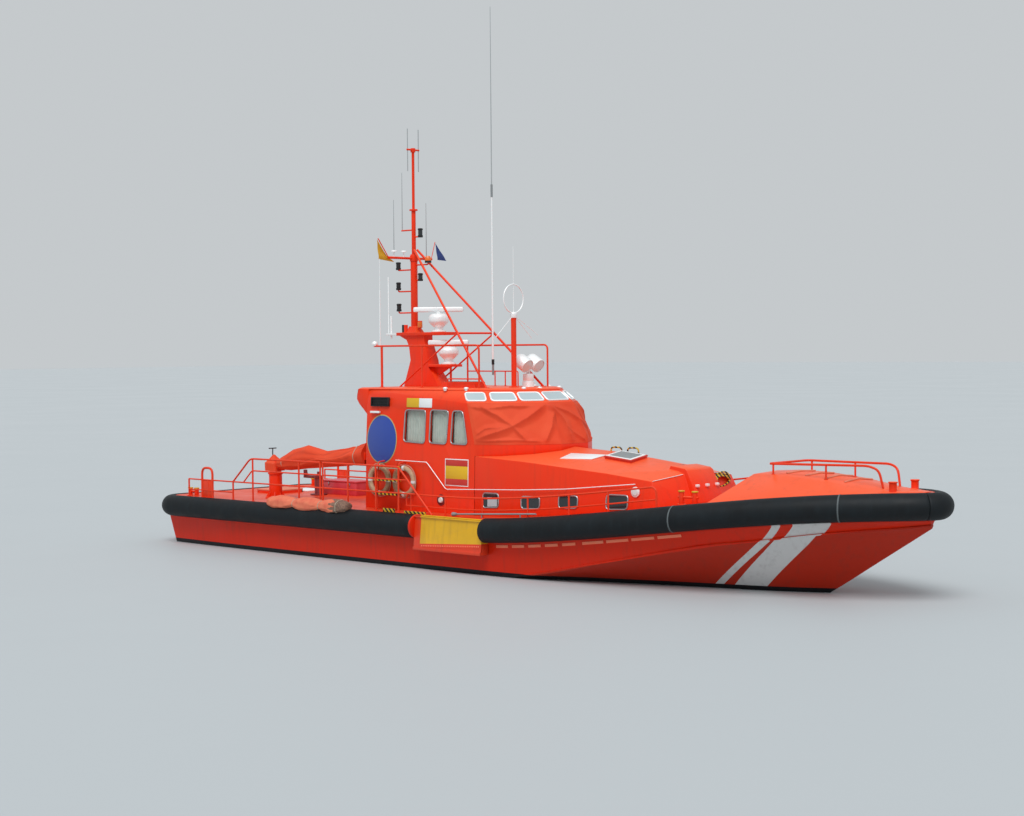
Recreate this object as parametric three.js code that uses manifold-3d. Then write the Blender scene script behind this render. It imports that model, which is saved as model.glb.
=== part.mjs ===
// A 21.6 m fast rescue boat of welded aluminium, afloat, as separate solids.
// Millimetres. +X is forward, +Y is to port, +Z is up, and the origin is on the waterline amidships.
import * as THREE from "three";
import { mergeVertices } from "three/addons/utils/BufferGeometryUtils.js";
import Module from "manifold-3d";

const wasm = await Module();
wasm.setup();

// Driving dimensions
const GAP = 0.3; // between pieces that touch

// The hull's side at the fender, seen from above: straight, then drawn in to the stem
const HALF_BEAM = 2385;
const BOW_START_X = 1000;
const BOW_TIP_X = 10390;
const BOW_FULLNESS = 1.3;
const TRANSOM_X = -10550;
const STERN_CORNER = 350;
const TRANSOM_RAKE = 0.45;
const TRANSOM_FOOT_X = -10470;

// The fender's centre height: level aft, then swept up to the bow
const FENDER_Z = 960;
const FENDER_RISE = 900;
const RISE_START_X = -400;
const RISE_END_X = 10470;
const FENDER_R = 270;
const FENDER_OUT = 85; // from the hull's side to the fender's centre
const FENDER_AFT_END_X = -1290;
const END_DISC = 60;
const FENDER_FORE_END_X = 860;
const BOW_CAP_ANGLE = 81.3;
const DECK_UP = 250; // deck above the fender's centre
const BELT_DOWN = 290;

// The hull's lines below the fender
const HULL_LINES = [
  // x, keel z, chine y, chine z
  [TRANSOM_FOOT_X, -620, 2250, -120],
  [-8500, -700, 2300, -112],
  [-6000, -810, 2330, -95],
  [-3000, -920, 2340, -65],
  [-500, -975, 2335, -10],
  [1700, -980, 2285, 60],
  [3900, -930, 2125, 480],
  [6100, -715, 1705, 930],
  [7250, -425, 1345, 1080],
  [8220, 110, 960, 1225],
  [9100, 655, 605, 1330],
  [9800, 1088, 310, 1400],
  [10340, 1423, 30, 1468],
];

// The raised foredeck's half sections
const FORECASTLE = [
  // foot x, shoulder x, shoulder y, shoulder z, ridge z
  [6250, 6760, 800, 2370, 2400],
  [7400, 7500, 770, 2360, 2400],
  [8500, 8500, 680, 2270, 2330],
  [9400, 9400, 520, 2150, 2210],
  [10000, 9980, 330, 2122, 2150],
  [10290, 10240, 120, 2116, 2126],
];

// The fore cabin trunk's half sections, the last one its front wall, which is bowed in plan
const TRUNK = [
  // foot x, foot y, knuckle x, knuckle y, knuckle z, crown z, bow of the foot, bow of the crown
  [-170, 1750, -170, 1718, 2530, 2740],
  [1300, 1745, 1300, 1700, 2460, 2715],
  [2400, 1700, 2400, 1640, 2375, 2650],
  [3500, 1610, 3500, 1530, 2285, 2540],
  [4600, 1480, 4570, 1380, 2155, 2390],
  [4870, 1440, 4600, 1375, 2150, 2310, 190, 190],
];

// The wheelhouse's plan at four heights, from its aft corner round to its nose
const HOUSE = [
  { z: 1210, plan: [[-3750, 1750], [-170, 1750], [400, 1500], [950, 1020], [1290, 460]] },
  { z: 2780, plan: [[-3750, 1715], [-170, 1715], [400, 1455], [950, 985], [1290, 450]] },
  { z: 3700, plan: [[-3750, 1665], [-450, 1665], [30, 1415], [530, 955], [880, 430]] },
  { z: 3980, plan: [[-3750, 1590], [-780, 1440], [-280, 1210], [200, 835], [510, 380]] },
];
const WALL = 60;
const SILL_Z = 2780;
const BROW_Z = 3700;
const HOUSE_TOP_Z = 3980;
const ROOF_TOP_Z = 4030;
const HOUSE_AFT_X = -3750;
const ROOF_AFT_X = -4100;

// Side windows: bottom aft, bottom fore, top fore and top aft corners
const SIDE_WINDOWS = [
  [[-2470, 2800], [-1770, 2770], [-1760, 3530], [-2430, 3530]],
  [[-1620, 2790], [-1070, 2770], [-1020, 3530], [-1600, 3540]],
  [[-930, 2790], [-400, 2780], [-570, 3530], [-890, 3530]],
];

const AFT_WINDOW = { y0: -1150, y1: -450, z0: 2560, z1: 3180 };
const DOOR = { y0: 250, y1: 970, z0: 1330, z1: 3080, thick: 45, play: 10, hingeX: -25, hingeY: -12 };

// Mast
const MAST_X = -3850;
const MAST_TOP_Z = 9700;
const COLLAR_Z = 8290;
const ARM_Z = 7120;
const RADAR_UPPER = { x: -3020, z: 5330, dome: 240, height: 440, bar: 1200, yaw: 40 };
const RADAR_LOWER = { x: -2690, z: 4560, dome: 240, height: 420, bar: 1000, yaw: 28 };

// Crane on the starboard side of the aft deck
const CRANE = { x: -7600, y: -1300, topZ: 1860, pivotX: 130, pivotZ: 2070, slot: 130 };

// Screws and rudders
const SHAFT_Y = 1100;
const SCREW = { x: -9330, z: -960, r: 400, hub: 150 };
const SHAFT_TILT = Math.atan(0.14);
const LOG_X = -6300;
const STRUT = { x0: -9080, x1: -8960, top: -430 };
const RUDDER = { x: -9900, seat: -440, top: -500, bottom: -1340 };

// Colours and finishes
const finish = (color, roughness, metalness = 0) =>
  new THREE.MeshStandardMaterial({ color, roughness, metalness });
const ORANGE = finish(0xe8401c, 0.4);
const DECK = finish(0xdc6a52, 0.75);
const RUBBER = finish(0x1a1e21, 0.7);
const CRIMSON = finish(0xd23a4a, 0.45);
const YELLOW = finish(0xe3ac12, 0.5);
const GLASS = finish(0x6f8a84, 0.08);
const CANVAS = finish(0xe0573a, 0.85);
const WHITE = finish(0xe9ecec, 0.4);
const DARK = finish(0x22262a, 0.5);
const STEEL = finish(0x9aa0a4, 0.35, 1);
const BRONZE = finish(0xa97b3c, 0.35, 1);
const RING_TAN = finish(0xb99a7c, 0.7);
const FLAG_CLOTH = finish(0xd9a520, 0.8);
const FLAG_BLUE = finish(0x2b3f7c, 0.8);

// Solids

const at = (x, y, z) => new THREE.Vector3(x, y, z);
const degrees = THREE.MathUtils.degToRad;

function solidOf(geometry) {
  const bare = new THREE.BufferGeometry().setAttribute("position", geometry.getAttribute("position"));
  if (geometry.index) bare.setIndex(geometry.index);
  const merged = mergeVertices(bare, 1e-3);
  const faces = new Uint32Array(merged.index.array);
  const build = () =>
    new wasm.Manifold(
      new wasm.Mesh({ numProp: 3, vertProperties: merged.attributes.position.array, triVerts: faces }),
    );
  const made = build();
  if (made.volume() > 0) return made;
  for (let i = 0; i < faces.length; i += 3) [faces[i], faces[i + 1]] = [faces[i + 1], faces[i]];
  return build();
}

function geometryOf(solid) {
  const mesh = solid.getMesh();
  const points = new Float32Array(mesh.numVert * 3);
  for (let i = 0; i < mesh.numVert; i++) {
    points.set(mesh.vertProperties.subarray(i * mesh.numProp, i * mesh.numProp + 3), i * 3);
  }
  const geometry = new THREE.BufferGeometry();
  geometry.setAttribute("position", new THREE.BufferAttribute(points, 3));
  geometry.setIndex(new THREE.BufferAttribute(mesh.triVerts, 1));
  geometry.computeVertexNormals();
  return geometry;
}

const join = (...solids) => solids.flat().reduce((all, next) => all.add(next));
const cut = (solid, ...tools) => tools.flat().reduce((rest, tool) => rest.subtract(tool), solid);

function box(x0, x1, y0, y1, z0, z1) {
  const geometry = new THREE.BoxGeometry(x1 - x0, y1 - y0, z1 - z0);
  return solidOf(geometry.translate((x0 + x1) / 2, (y0 + y1) / 2, (z0 + z1) / 2));
}

// A round bar from one point to another, with an end radius of its own where it tapers.
function rod(from, to, radius, sides = 8, endRadius = radius) {
  const along = to.clone().sub(from);
  const geometry = new THREE.CylinderGeometry(endRadius, radius, along.length(), sides);
  const turn = new THREE.Quaternion().setFromUnitVectors(at(0, 1, 0), along.clone().normalize());
  return solidOf(geometry.applyQuaternion(turn).translate(...from.clone().addScaledVector(along, 0.5)));
}

// One round bar bent through a list of points, mitred at each corner.
function bars(points, radius, sides = 5) {
  const ways = points.slice(1).map((end, i) => end.clone().sub(points[i]).normalize());
  const across = Math.abs(ways[0].y) < 0.9 ? at(0, 1, 0) : at(1, 0, 0);
  let side = across.clone().cross(ways[0]).normalize();
  const rings = points.map((point, i) => {
    const incoming = ways[Math.max(0, i - 1)];
    const outgoing = ways[Math.min(i, ways.length - 1)];
    const mitre = incoming.clone().add(outgoing).normalize();
    const up = incoming.clone().cross(side);
    const ring = Array.from({ length: sides }, (_, j) => {
      const angle = (2 * Math.PI * (j + 0.5)) / sides;
      const spoke = side.clone().multiplyScalar(radius * Math.cos(angle));
      spoke.addScaledVector(up, radius * Math.sin(angle));
      return spoke.addScaledVector(incoming, -spoke.dot(mitre) / incoming.dot(mitre)).add(point);
    });
    side = side.clone().applyQuaternion(new THREE.Quaternion().setFromUnitVectors(incoming, outgoing));
    return ring;
  });
  return loft(rings);
}

// A closed skin through rings of equally many points, with a fan at each end.
function loft(rings) {
  const count = rings[0].length;
  const faces = [];
  rings.slice(1).forEach((_, i) => {
    for (let j = 0; j < count; j++) {
      const [a, b] = [i * count + j, i * count + ((j + 1) % count)];
      faces.push(a, b, b + count, a, b + count, a + count);
    }
  });
  const last = (rings.length - 1) * count;
  for (let j = 1; j < count - 1; j++) faces.push(0, j + 1, j, last, last + j, last + j + 1);
  const geometry = new THREE.BufferGeometry().setFromPoints(rings.flat());
  geometry.setIndex(faces);
  return solidOf(geometry);
}

// A flat outline drawn in X and Z, thick from y0 to y1.
function plateXZ(corners, y0, y1, rounding = 0) {
  const outline = rounding ? roundedCorners(corners, rounding) : corners.map((c) => new THREE.Vector2(...c));
  const shape = new THREE.Shape(outline);
  const geometry = new THREE.ExtrudeGeometry(shape, { depth: y1 - y0, bevelEnabled: false });
  return solidOf(geometry.rotateX(Math.PI / 2).translate(0, y1, 0));
}

function roundedCorners(corners, rounding, steps = 2) {
  const points = [];
  corners.forEach((corner, i) => {
    const here = new THREE.Vector2(...corner);
    const before = new THREE.Vector2(...corners[(i + corners.length - 1) % corners.length]);
    const after = new THREE.Vector2(...corners[(i + 1) % corners.length]);
    const from = before.sub(here).setLength(rounding).add(here);
    const to = after.sub(here).setLength(rounding).add(here);
    points.push(...new THREE.QuadraticBezierCurve(from, here, to).getPoints(steps));
  });
  return points;
}

function turned(profile, sides = 20) {
  const geometry = new THREE.LatheGeometry(profile.map(([r, z]) => new THREE.Vector2(r, z)), sides);
  return solidOf(geometry.rotateX(Math.PI / 2));
}

const boat = new THREE.Group();

function add(name, solid, material, position = at(0, 0, 0)) {
  const mesh = new THREE.Mesh(geometryOf(solid), material);
  mesh.name = name;
  mesh.position.copy(position);
  boat.add(mesh);
  return mesh;
}

// One piece on each side: the port one is the starboard one mirrored.
function addPair(name, solid, material, position = at(0, 0, 0)) {
  add(name + "_starboard", solid, material, position);
  const port = add(name + "_port", solid, material, at(position.x, -position.y, position.z));
  port.scale.y = -1;
}

// Hull and fenders

const fenderZ = (x) =>
  FENDER_Z + FENDER_RISE * THREE.MathUtils.smoothstep(x, RISE_START_X, RISE_END_X);

// Points of the hull's side on the starboard half, from the stern to the stem, each with its way out.
function sidePoint(x, y, outX, outY) {
  return { x, y, outX, outY };
}

function sternPoints() {
  const corner = at(TRANSOM_X + STERN_CORNER, -(HALF_BEAM - STERN_CORNER), 0);
  const points = [sidePoint(TRANSOM_X, 0, -1, 0)];
  for (let angle = 0; angle <= 90; angle += 22.5) {
    const [out, side] = [Math.cos(degrees(angle)), Math.sin(degrees(angle))];
    points.push(
      sidePoint(corner.x - out * STERN_CORNER, corner.y - side * STERN_CORNER, -out, -side),
    );
  }
  return points;
}

const straightPoint = (x) => sidePoint(x, -HALF_BEAM, 0, -1);

function bowPoint(angle) {
  const length = BOW_TIP_X - BOW_START_X;
  const [sine, cosine] = [Math.sin(degrees(angle)), Math.cos(degrees(angle))];
  const x = BOW_START_X + length * sine;
  const y = -HALF_BEAM * cosine ** BOW_FULLNESS;
  if (angle === 0) return sidePoint(x, y, 0, -1);
  if (angle === 90) return sidePoint(x, 0, 1, 0);
  const slope = (HALF_BEAM * BOW_FULLNESS * cosine ** (BOW_FULLNESS - 1) * sine) / (length * cosine);
  const scale = Math.hypot(slope, 1);
  return sidePoint(x, y, slope / scale, -1 / scale);
}

function sideY(x) {
  if (x <= BOW_START_X) return HALF_BEAM;
  const sine = Math.min(1, (x - BOW_START_X) / (BOW_TIP_X - BOW_START_X));
  return HALF_BEAM * Math.sqrt(1 - sine * sine) ** BOW_FULLNESS;
}

const STRAIGHT_X = [-8400, -6400, -4400, -2400, FENDER_AFT_END_X, -400, 100, 500, FENDER_FORE_END_X];
const STRAIGHT = STRAIGHT_X.map(straightPoint);
const BOW_ANGLES = [0, 7, 14, 21, 28, 35, 42, 49, 56, 63, 70, 76, BOW_CAP_ANGLE, 85, 87.5];
const BOW = BOW_ANGLES.map(bowPoint);
const STATIONS = [...STRAIGHT, ...BOW];

// The deck's height: straight from station to station, as the belt is.
function deckZ(x) {
  const next = Math.max(1, STATIONS.findIndex((station) => station.x > x));
  const [a, b] = [STATIONS[next - 1].x, STATIONS[next].x];
  const share = THREE.MathUtils.clamp((x - a) / (b - a), 0, 1);
  return THREE.MathUtils.lerp(fenderZ(a), fenderZ(b), share) + DECK_UP;
}

// The deck belt that carries the fenders, one slab from side to side.
function belt(raise = 0) {
  const rings = [...sternPoints().slice(1), ...STATIONS].map(({ x, y }) => {
    const [low, high] = [fenderZ(x) - BELT_DOWN, fenderZ(x) + DECK_UP + raise];
    return [at(x, y, low), at(x, -y, low), at(x, -y, high), at(x, y, high)];
  });
  return loft(rings);
}

// What stands on the deck is cut by the deck raised by the gap.
const raisedDeck = belt(GAP);

// A fair curve through one column of the hull's lines.
function hullLine(x, column) {
  const next = Math.max(1, HULL_LINES.findIndex((line) => line[0] >= x));
  const row = (i) => HULL_LINES[THREE.MathUtils.clamp(i, 0, HULL_LINES.length - 1)];
  const slope = (i) => (row(i + 1)[column] - row(i - 1)[column]) / (row(i + 1)[0] - row(i - 1)[0]);
  const [[x0], [x1]] = [row(next - 1), row(next)];
  const [span, t] = [x1 - x0, (x - x0) / (x1 - x0)];
  return (
    row(next - 1)[column] * (2 * t ** 3 - 3 * t ** 2 + 1) +
    slope(next - 1) * span * (t ** 3 - 2 * t ** 2 + t) +
    row(next)[column] * (3 * t ** 2 - 2 * t ** 3) +
    slope(next) * span * (t ** 3 - t ** 2)
  );
}

// One section of the hull below the belt. The aftermost one leans with the transom.
function hullRing(x, isTransom = false) {
  const [keelZ, chineY, chineZ] = [1, 2, 3].map((column) => hullLine(x, column));
  const topZ = fenderZ(x) - BELT_DOWN + (isTransom ? 0 : 22);
  const topY = isTransom ? HALF_BEAM - 160 : sideY(x) - 8;
  const leaned = (z) => (isTransom ? x - TRANSOM_RAKE * z : x);
  const half = [[chineY, chineZ], [topY, topZ]];
  return [
    at(leaned(keelZ), 0, keelZ),
    ...half.map(([y, z]) => at(leaned(z), -y, z)),
    ...half.toReversed().map(([y, z]) => at(leaned(z), y, z)),
  ];
}

function bitt(x, y, z, spread, height, radius) {
  const top = z + height;
  const barZ = z + height * 0.55;
  const posts = [x - spread, x + spread].map((postX) =>
    join(
      rod(at(postX, y, z - 20), at(postX, y, top), radius, 8),
      rod(at(postX, y, top - 15), at(postX, y, top + 15), radius * 1.25, 8),
    ),
  );
  const bar = rod(at(x - spread * 1.5, y, barZ), at(x + spread * 1.5, y, barZ), radius * 0.45, 6);
  return join(...posts, bar);
}

const HATCH = { x: -9000, y: 0, half: 420, coaming: 60, lid: 35 };
const BITTS = [
  // x, y, half spread, height
  [5750, 1640, 170, 270],
  [-9950, 2080, 130, 190],
];

// Seats for the gear under the hull: shaft logs, strut pads and rudder bearings.
function gearSeats() {
  return [-1, 1].flatMap((side) => {
    const y = side * SHAFT_Y;
    return [
      rod(shaftPoint(LOG_X, y), shaftPoint(-5200, y), 85, 10),
      box(STRUT.x0 - 60, STRUT.x1 + 60, y - 60, y + 60, STRUT.top, -300),
      rod(at(RUDDER.x, y, RUDDER.seat), at(RUDDER.x, y, -250), 70, 12),
    ];
  });
}

// The plates that close the aft fenders' ends, beside the rescue zones.
function endDiscs() {
  const x0 = FENDER_AFT_END_X + GAP;
  const section = (x, y, outY) => fenderRing({ x, y, outX: 0, outY }).map((p) => at(x, p.y, p.z));
  return [-1, 1].map((side) =>
    loft([x0, x0 + END_DISC].map((x) => section(x, side * (HALF_BEAM - 5), side))),
  );
}

function hull() {
  const bowXs = BOW.map(({ x }) => x).filter((x) => x < 10330);
  const xs = [-8400, -6400, -4400, -2400, -400, ...bowXs, 10340];
  const body = loft([hullRing(TRANSOM_FOOT_X, true), ...xs.map((x) => hullRing(x))]);
  const skeg = plateXZ([[-7600, -600], [-7200, -1120], [-1500, -1190], [1200, -700]], -45, 45);
  const bitts = BITTS.flatMap(([x, y, spread, height]) =>
    [-1, 1].map((side) => bitt(x, side * y, deckZ(x), spread, height, 55)),
  );
  const { x, y, half, coaming } = HATCH;
  const deck = deckZ(x);
  const rim = cut(
    box(x - half, x + half, y - half, y + half, deck - 10, deck + coaming),
    box(x - half + 40, x + half - 40, y - half + 40, y + half - 40, deck + 5, deck + coaming + 10),
  );
  return join(belt(), body, skeg, bitts, rim, gearSeats(), endDiscs());
}

function forecastleForm(raise = 0) {
  const ring = ([footX, x, y, z, ridge]) => {
    const footY = sideY(footX) - 40;
    const foot = deckZ(footX) - 30;
    return [
      at(footX, -footY, foot),
      at(x, -y, z + raise),
      at(x, 0, ridge + raise),
      at(x, y, z + raise),
      at(footX, footY, foot),
    ];
  };
  return loft(FORECASTLE.map(ring));
}

function forecastle() {
  const post = (side) => {
    const foot = at(9724, side * 401, 2110);
    return join(
      rod(foot, at(foot.x, foot.y, 2317), 75, 14),
      rod(at(foot.x, foot.y, 2290), at(foot.x, foot.y, 2317), 92, 14),
    );
  };
  return join(cut(forecastleForm(), raisedDeck), post(-1), post(1));
}

// One section of the rubber fender: round, with a flat back against the hull's side.
function fenderRing({ x, y, outX, outY }, grow = 0) {
  const steps = 11;
  const radius = FENDER_R + grow;
  const reach = Math.acos((GAP - grow - FENDER_OUT) / radius);
  const centre = fenderZ(x);
  return Array.from({ length: steps }, (_, i) => {
    const angle = -reach + (2 * reach * i) / (steps - 1);
    const out = FENDER_OUT + radius * Math.cos(angle);
    return at(x + outX * out, y + outY * out, centre + radius * Math.sin(angle));
  });
}

const fenderRun = (points, grow = 0) => loft(points.map((point) => fenderRing(point, grow)));

const mirrored = (points) => points.map((p) => ({ ...p, y: -p.y, outY: -p.outY })).toReversed();

function fenders() {
  const side = [...sternPoints().slice(1), ...STRAIGHT.slice(0, 5)];
  add("fender_aft", fenderRun([...mirrored(side), ...side]), RUBBER);
  const capAt = BOW_ANGLES.indexOf(BOW_CAP_ANGLE);
  const fore = [STRAIGHT.at(-1), ...BOW.slice(0, capAt), bowPoint(BOW_CAP_ANGLE - 0.02)];
  addPair("fender_fore", fenderRun(fore), RUBBER);
  const cap = [...BOW.slice(capAt), bowPoint(90)];
  add("fender_bow_cap", fenderRun([...cap, ...mirrored(cap.slice(0, -1))]), RUBBER);
}

// The rescue zone: a blank leaning panel under a shelf and over a step.
function rescueZone() {
  const inner = -HALF_BEAM - GAP;
  const [x0, x1] = [FENDER_AFT_END_X + END_DISC + 2 * GAP, FENDER_FORE_END_X - GAP];
  const step = box(x0, x1, inner - 260, inner, 455, 520);
  const panel = loft(
    [[515, 235], [1235, 160]].map(([z, out]) => [
      at(x0, inner - out, z),
      at(x1, inner - out, z),
      at(x1, inner - out + 35, z),
      at(x0, inner - out + 35, z),
    ]),
  );
  const ribs = [x0, (x0 + x1) / 2, x1 - 20].map((x) => box(x, x + 20, inner - 170, inner, 500, 1190));
  return join(step, panel, ribs, box(x0, x1, inner - 200, inner, 1180, 1210));
}

// Superstructure

// The fore cabin's outer form, its sides run on down by the given amount.
function cabinForm(grow = 0, sink = 0) {
  const ring = ([footX, footY, x, y, z, crown, footBow = 0, crownBow = 0]) => {
    const footZ = deckZ(footX) - 60;
    const share = sink / (z - footZ);
    const [lowX, lowY] = [footX + (footX - x) * share, footY + (footY - y) * share];
    return [
      at(lowX - grow + footBow, 0, footZ - sink),
      at(lowX - grow, -lowY - grow, footZ - sink),
      at(x - grow, -y - grow, z + grow),
      at(x - grow + crownBow, 0, crown + grow),
      at(x - grow, y + grow, z + grow),
      at(lowX - grow, lowY + grow, footZ - sink),
    ];
  };
  return loft(TRUNK.map(ring));
}

// The cabin's hatch lies along the sloping roof, to starboard, with its lid hinged at the aft edge.
const CABIN_HATCH = { halfX: 370, halfY: 275, rim: 45, rise: 35, lid: 40, lip: 12 };
const HATCH_MIDDLE = at(3060, -350, 2525);
const HATCH_UP = at(0.1, -0.1675, 1).normalize();
const HATCH_FORE = at(1, 0, -0.1).normalize();

// A box along the roof's slopes, drawn from the given place.
function hatchBox(x0, x1, y0, y1, z0, z1, place) {
  const turn = new THREE.Matrix4().makeBasis(HATCH_FORE, HATCH_UP.clone().cross(HATCH_FORE), HATCH_UP);
  const geometry = new THREE.BoxGeometry(x1 - x0, y1 - y0, z1 - z0);
  geometry.translate((x0 + x1) / 2, (y0 + y1) / 2, (z0 + z1) / 2).applyMatrix4(turn);
  return solidOf(geometry.translate(...place));
}

// The raised hood over the cabin's fore end, in X and Z.
const HOOD_HALF = 450;
const HOOD = [
  [4300, 2300],
  [4360, 2425],
  [4740, 2372],
  [4800, 2330],
  [4970, 1990],
  [5150, 1600],
  [4650, 1600],
];

function foreCabin() {
  const wall = 50;
  const cavity = loft(
    TRUNK.slice(0, -1).map(([footX, footY, x, y, z, crown], i, rows) => {
      const back = i === 0 ? -100 : i === rows.length - 1 ? -60 : 0;
      return [
        at(footX + back, -footY + wall, deckZ(footX) - 200),
        at(x + back, -y + wall, z - wall),
        at(x + back, 0, crown - wall),
        at(x + back, y - wall, z - wall),
        at(footX + back, footY - wall, deckZ(footX) - 200),
      ];
    }),
  );
  const { halfX, halfY, rim, rise } = CABIN_HATCH;
  const [holeX, holeY] = [halfX - rim, halfY - rim];
  const coaming = hatchBox(-halfX, halfX, -halfY, halfY, -120, rise, HATCH_MIDDLE);
  const way = hatchBox(-holeX, holeX, -holeY, holeY, -350, rise + 10, HATCH_MIDDLE);
  return cut(join(cabinForm(), coaming, plateXZ(HOOD, -HOOD_HALF, HOOD_HALF)), cavity, way, raisedDeck);
}

// The lid lies on the coaming; its hinge is its origin.
function cabinHatchLid() {
  const { halfX, halfY, lid, lip } = CABIN_HATCH;
  return hatchBox(0, 2 * (halfX + lip), -halfY - lip, halfY + lip, -lid, 0, at(0, 0, 0));
}

function inset(plan, by) {
  const full = [...plan, ...plan.map(([x, y]) => [x, -y]).toReversed()].map((c) => new THREE.Vector2(...c));
  return full.map((here, i) => {
    const before = full[(i + full.length - 1) % full.length];
    const after = full[(i + 1) % full.length];
    const inward = (a, b) => new THREE.Vector2(b.y - a.y, a.x - b.x).normalize();
    const [n1, n2] = [inward(before, here), inward(here, after)];
    const middle = n1.clone().add(n2).normalize();
    return here.clone().addScaledVector(middle, by / middle.dot(n1));
  });
}

// The wheelhouse's outer form, drawn in by the given amount and run on below and above.
function house(by = 0, down = 0, up = 0) {
  const level = ({ z, plan }, shift) => inset(plan, by).map((p) => at(p.x, p.y, z + shift));
  const rings = HOUSE.map((row) => level(row, 0));
  if (down) rings.unshift(level(HOUSE[0], -down));
  if (up) rings.push(level(HOUSE.at(-1), up));
  return loft(rings);
}

// A window's cut through one leaning face, from its corners, held in by a margin.
function facePrism(corners, margin, depth, sink = 0) {
  const centre = corners.reduce((sum, c) => sum.add(c), at(0, 0, 0)).divideScalar(corners.length);
  const normal = corners[1].clone().sub(corners[0]).cross(corners[3].clone().sub(corners[0])).normalize();
  const held = corners.map((corner) => {
    const way = corner.clone().sub(centre);
    return corner.clone().addScaledVector(way.clone().normalize(), -margin);
  });
  return loft(
    [-depth, sink].map((d) => held.map((corner) => corner.clone().addScaledVector(normal, d))),
  );
}

function facets(lower, upper) {
  const [a, b] = [HOUSE[lower], HOUSE[upper]].map(({ z, plan }) =>
    [...plan.slice(1), ...plan.slice(1).map(([x, y]) => [x, -y]).toReversed()].map(([x, y]) => at(x, -y, z)),
  );
  return a.slice(1).map((_, i) => [a[i], a[i + 1], b[i + 1], b[i]]);
}

// Shrinks a face towards its middle: along by one share, up by another.
function pane([a, b, c, d], along, bottom, top) {
  const mix = (p, q, t) => p.clone().lerp(q, t);
  const [low0, low1] = [mix(a, d, bottom), mix(b, c, bottom)];
  const [high0, high1] = [mix(a, d, top), mix(b, c, top)];
  return [
    mix(low0, low1, along),
    mix(low1, low0, along),
    mix(high1, high0, along),
    mix(high0, high1, along),
  ];
}

const windscreens = facets(1, 2).map((face) => pane(face, 0.08, 0.18, 0.94));
const browPanes = facets(2, 3).map((face) => pane(face, 0.12, 0.22, 0.8));

function sideCuts() {
  return SIDE_WINDOWS.map((corners) => plateXZ(corners, -1900, -1450, 70));
}

function wheelhouseWalls() {
  const [x0, x1] = [HOUSE_AFT_X - 50, HOUSE_AFT_X + WALL + 60];
  const doorway = box(x0, x1, DOOR.y0, DOOR.y1, DOOR.z0, DOOR.z1);
  const window = box(x0, x1, AFT_WINDOW.y0, AFT_WINDOW.y1, AFT_WINDOW.z0, AFT_WINDOW.z1);
  const portCuts = SIDE_WINDOWS.map((corners) => plateXZ(corners, 1450, 1900, 70));
  const faceCuts = [...windscreens, ...browPanes].map((corners) => facePrism(corners, 0, 160, 90));
  const shell = cut(house(0, 50), house(WALL, 200, 60));
  const openings = [doorway, window, sideCuts(), portCuts, faceCuts].flat();
  return join(cut(shell, openings, cabinForm(GAP, 150), raisedDeck), hinges(-1));
}

// Panes stand in their cuts on the thin lining sheet that joins them.
function glazing(band, cuts) {
  const sheet = cut(house(WALL + 0.5), house(WALL + 12, 200, 60)).intersect(band);
  const glass = house(WALL - 30).intersect(join(cuts)).intersect(band);
  return join(sheet, cut(glass, house(WALL + 12, 200, 60)));
}

function sideGlazing() {
  const band = plateXZ([[-2600, 2700], [-190, 2700], [-465, 3610], [-2600, 3610]], -2000, 0);
  return glazing(band, SIDE_WINDOWS.map((corners) => plateXZ(shrunk(corners, 3), -1900, -1450, 66)));
}

function aftGlazing() {
  const { y0, y1, z0, z1 } = AFT_WINDOW;
  const sheet = box(HOUSE_AFT_X + WALL + 0.5, HOUSE_AFT_X + WALL + 12, y0 - 60, y1 + 60, z0 - 60, z1 + 60);
  return join(sheet, box(HOUSE_AFT_X + 30, HOUSE_AFT_X + WALL + 5, y0 + 3, y1 - 3, z0 + 3, z1 - 3));
}

function shrunk(corners, by) {
  const centre = corners.reduce(([sx, sz], [x, z]) => [sx + x / 4, sz + z / 4], [0, 0]);
  return corners.map(([x, z]) => [x - Math.sign(x - centre[0]) * by, z - Math.sign(z - centre[1]) * by]);
}

function frontGlazing() {
  const outline = [[-175, 2860], [1400, 2860], [1400, 3950], [-900, 3950], [-900, 3720], [-450, 3660]];
  const cuts = [...windscreens, ...browPanes].map((corners) => facePrism(corners, 4, 160, 90));
  return glazing(plateXZ(outline, -1600, 1600), cuts);
}

function windscreenCover() {
  const skin = cut(house(-14), house(-0.5, 200, 60));
  return skin.intersect(box(-330, 1500, -1800, 1800, SILL_Z - 5, BROW_Z + 20));
}

// The roof's end over the aft wall, in X and Z, its fore edges set off the wall by the gap.
const OVERHANG_HALF = 1625;
const OVERHANG = [[-3888, 3475], [-4075, 3638], [-4160, 3755], [-4150, 3870], [ROOF_AFT_X, HOUSE_TOP_Z + 10]];

function wheelhouseRoof() {
  const plan = HOUSE.at(-1).plan.map(([x, y], i) => (i === 0 ? [ROOF_AFT_X, y + 40] : [x, y]));
  const levels = [[HOUSE_TOP_Z + GAP, -4], [HOUSE_TOP_Z + 20, 4], [ROOF_TOP_Z, 60]];
  const plate = loft(levels.map(([z, by]) => inset(plan, by).map((p) => at(p.x, p.y, z))));
  const wallX = HOUSE_AFT_X - GAP;
  const overhang = plateXZ(
    [[wallX, 3350], ...OVERHANG, [wallX, HOUSE_TOP_Z + 10]],
    -OVERHANG_HALF,
    OVERHANG_HALF,
  );
  const skylight = box(-1800, -780, -1080, -730, ROOF_TOP_Z - 10, 4170);
  const { x, y, panZ } = SEARCHLIGHT;
  const lampFoot = rod(at(x, y, ROOF_TOP_Z - 10), at(x, y, panZ - 0.5), 140, 16);
  return join(plate, overhang, skylight, lampFoot);
}

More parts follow.
